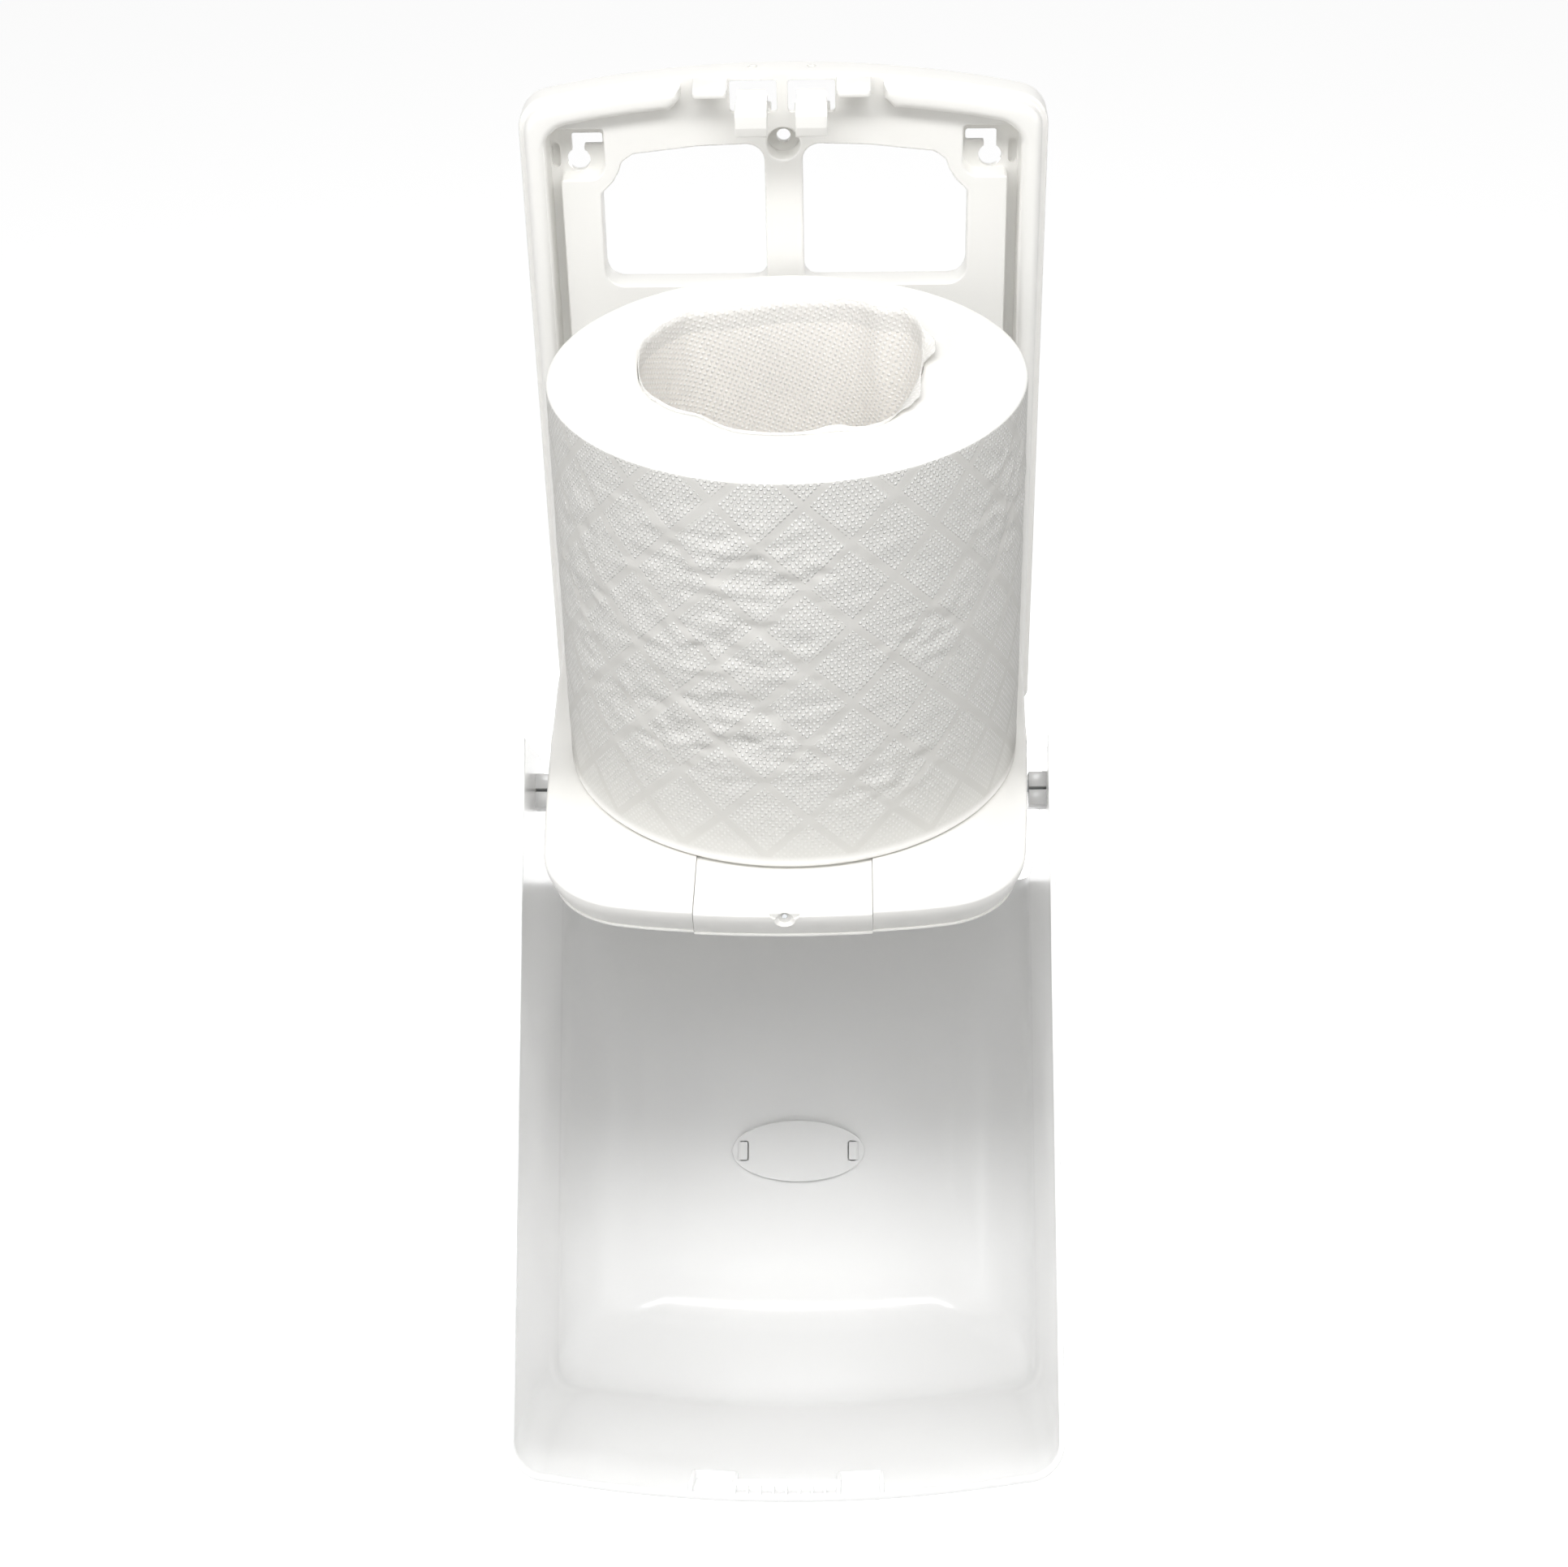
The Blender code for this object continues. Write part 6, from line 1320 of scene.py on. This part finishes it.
# How far the outer turn lies inside the full radius where nothing has pressed it.
ROLL_SKIN = 0.0007
AROUND = 396
SIDE_STEPS = 118
FACE_STEPS = 22
BORE_STEPS = 40
BORE_SHARES = (0.560, 0.571, 0.600, 0.639, 0.647, 0.595, 0.615, 0.615, 0.597, 0.589, 0.582,
               0.587, 0.618, 0.668, 0.670, 0.665, 0.655, 0.631, 0.615, 0.608, 0.601, 0.584,
               0.565, 0.535, 0.555, 0.578, 0.580, 0.580, 0.581, 0.590, 0.626, 0.628, 0.594,
               0.563, 0.548, 0.550)
# The middle's mean radius as a share of the roll's, for the length of its sheet.
BORE_SHARE = 0.6
# Tissue colours. The middle's lighter colour is painted light, standing in for light that scatters
# through the paper into it.
TISSUE_SIDE = "DCDBD7"
TISSUE_END = "F1F0EC"
TISSUE_BORE_PAINTED_LIGHT = "F7F4EF"
# Creases in the side, in millimetres: place along the front, height, length, width, depth, and
# the turn of each one's line in degrees.
CREASES = ((-46, 152, 30, 4, 0.5, -12), (-6, 137, 44, 4, 0.6, 8), (-8, 118, 26, 3, 0.4, 12),
           (-47, 104, 46, 5, 0.5, -14), (-38, 77, 34, 2.4, 0.6, 2), (2, 57, 32, 4, 0.4, -6),
           (-66, 159, 44, 2.4, 0.5, -3), (122, 150, 26, 4, 0.9, 62), (134, 130, 30, 5, 0.8, 70),
           (106, 140, 20, 3, 0.6, 40), (-100, 67, 50, 2.4, 0.5, 2), (-54, 60, 50, 2.4, 0.5, -18),
           (62, 92, 16, 3, 0.4, 36), (-112, 40, 24, 2.4, 0.6, 84), (-18, 86, 22, 3, 0.4, 4))
# Where the outer turn is slack and puckered, in millimetres: place, height and reach both ways.
SLACK = ((-20, 138, 36, 20), (-26, 100, 36, 14), (-14, 62, 34, 20), (112, 138, 18, 30),
         (-98, 110, 18, 40), (-60, 60, 26, 14), (60, 100, 16, 12), (46, 40, 20, 12))
# The least slackness anywhere, and the depths of the slow swell and of the puckers, in millimetres.
TAUT = 0.12
SWELL, PUCKER = 0.25, 1.5
# Noise for both. The swell's scale round the roll and per metre up it, then each size of pucker:
# its strength, its scale round the roll and per metre up it, and where in the noise it is read.
SWELL_AROUND, SWELL_UP = 1.9, 34
PUCKER_SIZES = ((1.0, 4.0, 150, (9, 3)), (0.7, 7.5, 260, (2, 7)))
# How far a crease wanders off its line, in millimetres.
CREASE_WANDER = 5.0
# The roll's two cut ends stay even: swell, puckers and creases fade out over this height.
FADE_HEIGHT = 0.0120
FRONT_ANGLE = 1.5 * math.pi
FACE_FUZZ = 0.00022
BORE_RIPPLE, BORE_INSET = 0.0003, 0.0002
EDGE_STEPS = 4
FOOT_STEPS, FOOT_INSET = 6, 0.0030


def around_roll(shares, count):
    """Round the circle, shares at even angles joined by a smooth closed curve."""
    knots = np.array(shares)
    at = np.arange(count) * len(knots) / count
    low = np.floor(at).astype(int)
    t = at - low
    p = [knots[(low + k) % len(knots)] for k in (-1, 0, 1, 2)]
    return 0.5 * (2 * p[1] + (p[2] - p[0]) * t + (2 * p[0] - 5 * p[1] + 4 * p[2] - p[3]) * t ** 2
                  + (3 * p[1] - p[0] - 3 * p[2] + p[3]) * t ** 3)


ANGLES = np.arange(AROUND) * 2 * math.pi / AROUND
BORE = ROLL_RADIUS * around_roll(BORE_SHARES, AROUND)


def ring_places(radius, height):
    """A level ring about the roll's axis, each place at its own radius."""
    return np.stack([ROLL_X + radius * np.cos(ANGLES), ROLL_Y + radius * np.sin(ANGLES),
                     np.broadcast_to(height, ANGLES.shape)], -1)


def lattice_solid(name, rings, bands, uv):
    """A closed solid whose rings wrap both ways. Bands lists (first ring, material)."""
    rows, columns = rings.shape[:2]
    index = np.arange(rows * columns).reshape(rows, columns)
    below, beside = np.roll(index, -1, 0), np.roll(index, -1, 1)
    quads = np.stack([index, beside, np.roll(below, -1, 1), below], -1).reshape(-1, 4)
    mesh = bpy.data.meshes.new(name)
    mesh.from_pydata(rings.reshape(-1, 3), [], quads.tolist())
    slots = np.zeros(rows, int)
    for number, (first, material) in enumerate(bands):
        mesh.materials.append(material)
        slots[first:] = number
    mesh.polygons.foreach_set("material_index", np.repeat(slots, columns))
    across = np.broadcast_to(np.arange(columns), (rows, columns))
    corners = np.stack([across, across + 1, across + 1, across], -1).reshape(-1)
    lifts = np.stack([uv[1], uv[1], np.roll(uv[1], -1), np.roll(uv[1], -1)], -1)
    lifts = np.broadcast_to(lifts[:, None, :], (rows, columns, 4)).reshape(-1)
    layer = mesh.uv_layers.new(name="sheet")
    layer.data.foreach_set("uv", np.stack([corners * uv[0] / columns, lifts], -1).ravel())
    bm = bmesh.new()
    bm.from_mesh(mesh)
    if bm.calc_volume(signed=True) < 0:
        bmesh.ops.reverse_faces(bm, faces=bm.faces)
    bm.to_mesh(mesh)
    bm.free()
    mesh.shade_smooth()
    piece = placed(name, mesh)
    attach(piece, "roll")
    return piece


def crease_depth(along, height):
    """How far the side is pressed in by creases and slack, in millimetres."""
    depth = 0.0
    for u, v, length, width, deep, turn in CREASES:
        du, dv = along - u, height - v
        c, s = math.cos(math.radians(turn)), math.sin(math.radians(turn))
        run, off = du * c + dv * s, dv * c - du * s
        if abs(run) < length * 0.75 and abs(off) < width * 3:
            fade = math.exp(-(2 * run / length) ** 4)
            off += CREASE_WANDER * noise.noise(Vector((run * 0.07, u, v)))
            broken = smooth(0.45 + 1.6 * noise.noise(Vector((run * 0.14, off * 0.2, u + v))))
            ridge = math.exp(-(off / width * 1.6) ** 2) - 0.8 * math.exp(
                -((off + width * 0.9) / width * 1.5) ** 2)
            depth += deep * fade * ridge * broken
    return depth


def slack_patch(along, height):
    """How slack the outer turn is at a place, from 0 where it is taut to 1."""
    slackness = TAUT
    for u, v, wide, tall in SLACK:
        slackness += math.exp(-((along - u) / wide) ** 2 - ((height - v) / tall) ** 2)
    return min(1.0, slackness)


def roll_rings():
    """Rings of the roll: up its side, in over the top, down the torn middle and out below."""
    rings, lifts = [], []

    def ring(radius, height, lift):
        rings.append(ring_places(radius, height))
        lifts.append(lift)

    for k in range(SIDE_STEPS + 1):
        z = ROLL_LOW + ROLL_EDGE + (ROLL_HIGH - ROLL_LOW - 2 * ROLL_EDGE) * k / SIDE_STEPS
        pressed = np.empty(AROUND)
        for i, angle in enumerate(ANGLES):
            along = (angle - FRONT_ANGLE + math.pi) % (2 * math.pi) - math.pi
            at = along * ROLL_RADIUS * 1000, z * 1000
            place = Vector((math.cos(angle), math.sin(angle), 0.0)) * SWELL_AROUND
            swell = noise.fractal(place + Vector((0, 0, z * SWELL_UP)), 1.0, 2.0, 3)
            pucker = slack_patch(*at) * sum(
                strength * noise.noise(place * turns + Vector((*read_at, z * up)))
                for strength, turns, up, read_at in PUCKER_SIZES)
            pressed[i] = SWELL * swell + PUCKER * pucker + crease_depth(*at)
        fade = smooth(min(z - ROLL_LOW, ROLL_HIGH - z) / FADE_HEIGHT)
        rim = ROLL_RADIUS - ROLL_SKIN - pressed * 0.001 * fade
        ring(np.minimum(rim, ROLL_RADIUS), z, z)
    for k in range(1, EDGE_STEPS + 1):
        turn = math.pi / 2 * k / EDGE_STEPS
        ring(rim - ROLL_EDGE * (1 - math.cos(turn)), ROLL_HIGH - ROLL_EDGE * (1 - math.sin(turn)),
             ROLL_HIGH)
    for k in range(1, FACE_STEPS + 1):
        share = k / FACE_STEPS
        radius = (rim - ROLL_EDGE) * (1 - share) + (BORE + BORE_INSET) * share
        fuzz = np.array([noise.noise(Vector((math.cos(a) * r * 60, math.sin(a) * r * 60, 7.0)))
                         for a, r in zip(ANGLES, radius)])
        ring(radius, ROLL_HIGH - FACE_FUZZ * (1 + fuzz) * min(1.0, 4 * share), ROLL_HIGH)
    end = ROLL_EDGE / 2
    for k in range(1, BORE_STEPS + 1):
        z = ROLL_HIGH - end - (ROLL_HIGH - ROLL_LOW - 2 * end) * k / BORE_STEPS
        ring(BORE + BORE_RIPPLE * (1 - math.cos(k * 0.7)), z, z)
    for k in range(1, FOOT_STEPS):
        share = k / FOOT_STEPS
        ring(BORE * (1 - share) + (ROLL_RADIUS - FOOT_INSET) * share, ROLL_LOW, 0.0)
    ring(np.full(AROUND, ROLL_RADIUS - ROLL_EDGE - ROLL_SKIN), ROLL_LOW, 0.0)
    return np.array(rings), np.array(lifts)


# Emboss, in millimetres: the dots' lattice, the plain bands that part it into diamonds, how far up
# the side it fades in from the bottom edge, and the band along that curled-up edge that is painted
# white as a painted highlight.
DOT_ACROSS, DOT_UP = 2.881, 3.0
DOT_SPAN = (0.12, 0.7)
DIAMOND_ACROSS, DIAMOND_UP = 35.76, 35.4
DIAMOND_AT = (-0.9, 94.5)
BAND_SPAN = (1.3, 2.0)
BAND_COLOUR, BAND_TINT = "CFCDC8", 0.3
FADE_SPAN = (6.0, 55.0)
CURL_HIGHLIGHT_SPAN = (2.5, 6.0)
# Colour of the painted highlight, on the dots and along the curled bottom edge.
PAINTED_HIGHLIGHT_COLOUR = "FDFCFA"
# Noise per metre: the fibres, drawn about a millimetre long so that they show, and the cloudiness.
FIBRE_SCALE, CLOUD_SCALE = 900.0, 30.0


def embossed_tissue(name, colour, shade, depth, dot_highlight, fade_low=False, turn_deg=0.0,
                    bands=False):
    """Soft creped tissue, pressed between a studded steel roller and rubber.

    The eye gets dry matt white with no gloss, a lattice of raised dots that catch light on their
    upper edge and carry a painted highlight as well, plain crossing bands, and a faint fibrous
    mottle.
    """
    made, tree = new_material(name)
    sheet = add(tree, "ShaderNodeUVMap", uv_map="sheet")
    turned = add(tree, "ShaderNodeMapping", {"Vector": sheet, "Scale": (1000.0, 1000.0, 1000.0),
                                             "Rotation": (0, 0, math.radians(turn_deg))})
    split = add(tree, "ShaderNodeSeparateXYZ", {0: turned})
    across, up = split.outputs["X"], split.outputs["Y"]
    waves = []
    for way, pitch in ((across, DOT_ACROSS), (up, DOT_UP)):
        turns = add(tree, "ShaderNodeMath", {0: way, 1: 2 * math.pi / pitch},
                    operation="MULTIPLY")
        waves.append(add(tree, "ShaderNodeMath", {0: turns}, operation="COSINE"))
    lattice = add(tree, "ShaderNodeMath", dict(enumerate(waves)), operation="MULTIPLY")
    dots = add(tree, "ShaderNodeMapRange", {"Value": lattice, "From Min": DOT_SPAN[0],
                                            "From Max": DOT_SPAN[1]},
               interpolation_type="SMOOTHSTEP")
    place = add(tree, "ShaderNodeTexCoord").outputs["Object"]
    cloud = add(tree, "ShaderNodeTexNoise", {"Vector": place, "Scale": CLOUD_SCALE, "Detail": 3.0})
    ground = add(tree, "ShaderNodeMix", {"Factor": cloud, "A": linear(colour), "B": linear(shade)},
                 data_type="RGBA").outputs["Result"]
    if bands:
        ways, lines = [], []
        for way, start, size in ((across, DIAMOND_AT[0], DIAMOND_ACROSS),
                                 (up, DIAMOND_AT[1], DIAMOND_UP)):
            moved = add(tree, "ShaderNodeMath", {0: way, 1: start}, operation="SUBTRACT")
            ways.append(add(tree, "ShaderNodeMath", {0: moved, 1: size}, operation="DIVIDE"))
        for slant in ("ADD", "SUBTRACT"):
            slanted = add(tree, "ShaderNodeMath", dict(enumerate(ways)), operation=slant)
            lines.append(add(tree, "ShaderNodeMath", {0: slanted, 1: 0.5}, operation="PINGPONG"))
        nearest = add(tree, "ShaderNodeMath", dict(enumerate(lines)), operation="MINIMUM")
        apart = 1 / math.hypot(1 / DIAMOND_ACROSS, 1 / DIAMOND_UP)
        near = add(tree, "ShaderNodeMath", {0: nearest, 1: apart}, operation="MULTIPLY")
        field = add(tree, "ShaderNodeMapRange", {"Value": near, "From Min": BAND_SPAN[0],
                                                 "From Max": BAND_SPAN[1]})
        dots = add(tree, "ShaderNodeMath", {0: dots, 1: field}, operation="MULTIPLY")
        plain = add(tree, "ShaderNodeMath", {0: 1.0, 1: field}, operation="SUBTRACT")
        darker = add(tree, "ShaderNodeMath", {0: plain, 1: BAND_TINT}, operation="MULTIPLY")
        ground = add(tree, "ShaderNodeMix", {"Factor": darker, "A": ground,
                                             "B": linear(BAND_COLOUR)},
                     data_type="RGBA").outputs["Result"]
    if fade_low:
        shown = add(tree, "ShaderNodeMapRange", {"Value": up, "From Min": FADE_SPAN[0],
                                                 "From Max": FADE_SPAN[1], "To Min": 0.15,
                                                 "To Max": 1.0})
        dots = add(tree, "ShaderNodeMath", {0: dots, 1: shown}, operation="MULTIPLY")
    # Painted highlight: each dot's colour is lifted towards white, by the share given for each
    # tissue.
    painted_highlight = add(tree, "ShaderNodeMath", {0: dots, 1: dot_highlight}, operation="MULTIPLY")
    if fade_low:
        # Painted highlight: a white band along the bottom edge, standing in for the lit face of its
        # curl.
        curl_highlight = add(tree, "ShaderNodeMapRange", {"Value": up, "From Min": CURL_HIGHLIGHT_SPAN[0],
                                                  "From Max": CURL_HIGHLIGHT_SPAN[1], "To Min": 0.9,
                                                  "To Max": 0.0})
        painted_highlight = add(tree, "ShaderNodeMath", {0: painted_highlight, 1: curl_highlight}, operation="MAXIMUM")
    tint = add(tree, "ShaderNodeMix", {"Factor": painted_highlight, "A": ground, "B": linear(PAINTED_HIGHLIGHT_COLOUR)},
               data_type="RGBA").outputs["Result"]
    fibre = add(tree, "ShaderNodeTexNoise", {"Vector": place, "Scale": FIBRE_SCALE,
                                             "Detail": 4.0, "Roughness": 0.7})
    height = add(tree, "ShaderNodeMath", {0: fibre, 1: 0.12, 2: dots}, operation="MULTIPLY_ADD")
    bump = add(tree, "ShaderNodeBump", {"Height": height, "Strength": 1.0, "Distance": depth})
    shader = add(tree, "ShaderNodeBsdfPrincipled", {"Base Color": tint, "Roughness": 0.95,
                                                    "Specular IOR Level": 0.15, "Normal": bump})
    add(tree, "ShaderNodeOutputMaterial", {"Surface": shader})
    return made


# The number after each depth is how strongly that tissue's dots carry the painted highlight.
side_tissue = embossed_tissue("embossed_tissue_side", TISSUE_SIDE, "E2E1DD", 0.0004, 0.9,
                              fade_low=True, bands=True)
end_tissue = embossed_tissue("cut_tissue_ends", TISSUE_END, "F4F3F0", 0.00002, 0.0)
bore_tissue = embossed_tissue("embossed_tissue_middle", TISSUE_BORE_PAINTED_LIGHT, "F9F6F1", 0.0002, 1.0,
                              turn_deg=20.0)
rings, lifts = roll_rings()
face_start = SIDE_STEPS + 1
bore_start = face_start + EDGE_STEPS + FACE_STEPS
bottom_start = bore_start + BORE_STEPS
roll = lattice_solid("wound_paper_roll", rings,
                     [(0, side_tissue), (face_start, end_tissue), (bore_start, bore_tissue),
                      (bottom_start, end_tissue)], (2 * math.pi * ROLL_RADIUS, lifts))
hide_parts("paper_roll")


# Loose inner turns. The innermost sheet has come away from the roll: it stands above it as a thin,
# torn collar, folded at the right and curled outwards at the lower right.
TURN_GAP = 0.0002
TURN_THICKNESS = 0.0003
TURN_LOW = 0.0600
TURN_STAND = 0.0085
TURN_ROWS = 34
# Rows of the inner face, from the torn top down, that are plain and thin. The rest of that face
# looks like the roll's middle.
TIP_ROWS = 4
# The share of the rows below the top of the roll, and how they bunch towards it.
STEADY_SHARE, STEADY_BUNCH = 0.7, 0.8
TORN_EDGE, TORN_FROM = 0.0007, 0.0030
SHEET_WAVE = 0.0002
# The curl outwards and the fold: angle, spread, reach, steepness and the height that each takes.
CURL = (328.0, 17.0, 0.0062, 1.5, 0.35)
FOLD = (14.0, 10.0, 0.0056, 1.3, 0.25)
STAND_SHARES = (0.50, 0.52, 0.62, 0.85, 1.00, 0.95, 0.85, 0.75, 0.66, 0.62, 0.60, 0.55,
                0.50, 0.45, 0.40, 0.35, 0.30, 0.20, 0.12, 0.10, 0.10, 0.10, 0.08, 0.06,
                0.06, 0.06, 0.06, 0.06, 0.10, 0.30, 0.15, 0.20, 0.35, 0.45, 0.50, 0.50)


def turn_rings():
    """Rings of the collar: up its outer face and down its inner face."""
    stand = around_roll(STAND_SHARES, AROUND) * TURN_STAND
    torn = np.array([noise.noise(Vector((math.cos(a) * 14, math.sin(a) * 14, 1.0)))
                     for a in ANGLES])
    stand = np.maximum(TURN_THICKNESS, stand + TORN_EDGE * torn * np.minimum(1.0, stand / TORN_FROM))
    curl_at, curl_spread, curl_reach, curl_steep, curl_drop = CURL
    fold_at, fold_spread, fold_reach, fold_steep, fold_drop = FOLD
    curl = np.exp(-((np.degrees(ANGLES) - curl_at) / curl_spread) ** 2)
    fold = np.exp(-((np.degrees(ANGLES) - fold_at) / fold_spread) ** 4)
    steady_top = TURN_LOW + (ROLL_HIGH - TURN_LOW) * STEADY_SHARE ** STEADY_BUNCH
    outer, inner = [], []
    for k in range(TURN_ROWS + 1):
        share = k / TURN_ROWS
        if share < STEADY_SHARE:
            z = TURN_LOW + (ROLL_HIGH - TURN_LOW) * share ** STEADY_BUNCH
        else:
            climb = (share - STEADY_SHARE) / (1 - STEADY_SHARE)
            z = steady_top + (ROLL_HIGH + stand - steady_top) * climb
        above = np.maximum(0.0, z - ROLL_HIGH)
        out = (curl * np.minimum(curl_reach, above * curl_steep)
               + fold * np.minimum(fold_reach, above * fold_steep))
        wave = np.array([noise.noise(Vector((math.cos(a) * 5, math.sin(a) * 5, share * 3)))
                         for a in ANGLES]) * SHEET_WAVE
        radius = BORE - TURN_GAP + out - np.abs(wave)
        height = z - (curl * curl_drop + fold * fold_drop) * above
        outer.append(ring_places(radius, height))
        inner.append(ring_places(radius - TURN_THICKNESS, height))
    return np.array(outer + inner[::-1])


collar_rings = turn_rings()
heights = collar_rings[:, :, 2].mean(1)
collar_tissue = embossed_tissue("thin_torn_tissue", "EEECE8", "E8E6E2", 0.0002, 0.6,
                                turn_deg=20.0)
collar = lattice_solid("torn_inner_collar", collar_rings,
                       [(0, collar_tissue), (TURN_ROWS + TIP_ROWS, bore_tissue)],
                       (2 * math.pi * ROLL_RADIUS * BORE_SHARE, heights))
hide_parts("loose_inner_turns")


# Studio. A plain pale floor well below the wall-hung object, white all round, a wide softbox high
# in front, small fills at both sides, one overhead and one low behind, and the room's own light.
FLOOR_Z = -0.78
SKY_LIGHT = 0.20
FLOOR_GLOW = 0.75
FLOOR_RADIUS = 12.0
LAMP_TARGET = Vector((0.0, -0.18, -0.05))
# Azimuth from the user's side, elevation, distance, width, height and power in watts.
SOFTBOXES = {"key_softbox": (0.0, 62.0, 1.6, 2.0, 0.35, 24.0),
             "left_softbox": (-60.0, 20.0, 1.8, 1.0, 0.8, 8.0),
             "right_softbox": (60.0, 20.0, 1.8, 1.0, 0.8, 5.2),
             "top_softbox": (0.0, 88.0, 1.6, 0.5, 0.3, 2.8),
             "rear_softbox": (180.0, 3.0, 1.6, 0.6, 0.25, 15.0)}

world = bpy.data.worlds.new("white_room")
bpy.context.scene.world = world
world.use_nodes = True
world.node_tree.nodes.clear()


def seen(tree):
    """1 for rays that look at the surroundings straight, by gloss or through glass."""
    path = add(tree, "ShaderNodeLightPath")
    either = add(tree, "ShaderNodeMath", {0: path.outputs["Is Camera Ray"],
                                          1: path.outputs["Is Glossy Ray"]}, operation="MAXIMUM")
    return add(tree, "ShaderNodeMath", {0: either, 1: path.outputs["Is Transmission Ray"]},
               operation="MAXIMUM")


strength = add(world.node_tree, "ShaderNodeMapRange", {"Value": seen(world.node_tree),
                                                       "To Min": SKY_LIGHT, "To Max": 1.0})
sky = add(world.node_tree, "ShaderNodeBackground", {"Color": (1.0, 1.0, 1.0, 1.0),
                                                    "Strength": strength})
add(world.node_tree, "ShaderNodeOutputWorld", {"Surface": sky})

for name, (azimuth, elevation, distance, width, height, power) in SOFTBOXES.items():
    lamp = bpy.data.lights.new(name, "AREA")
    lamp.shape = "RECTANGLE"
    lamp.size, lamp.size_y = width, height
    lamp.energy = power
    softbox = placed(name, lamp)
    turn, lift = math.radians(azimuth), math.radians(elevation)
    towards = Vector((math.sin(turn) * math.cos(lift), -math.cos(turn) * math.cos(lift),
                      math.sin(lift)))
    softbox.location = LAMP_TARGET + towards * distance
    softbox.rotation_euler = (-towards).to_track_quat("-Z", "Y").to_euler()

floor_material, floor_tree = new_material("pale_studio_floor")
matt = add(floor_tree, "ShaderNodeBsdfDiffuse", {"Color": linear("EDEDED")})
lift = add(floor_tree, "ShaderNodeMath", {0: seen(floor_tree), 1: FLOOR_GLOW},
           operation="MULTIPLY")
glow = add(floor_tree, "ShaderNodeEmission", {"Strength": lift})
both = add(floor_tree, "ShaderNodeAddShader", {0: matt, 1: glow})
add(floor_tree, "ShaderNodeOutputMaterial", {"Surface": both})
ground = bmesh.new()
bmesh.ops.create_circle(ground, cap_ends=True, segments=96, radius=FLOOR_RADIUS,
                        matrix=Matrix.Translation((0.0, 0.0, FLOOR_Z)))
floor = placed("floor", as_mesh("floor", ground))
coat(floor, floor_material)

bpy.context.scene.view_settings.view_transform = "Standard"
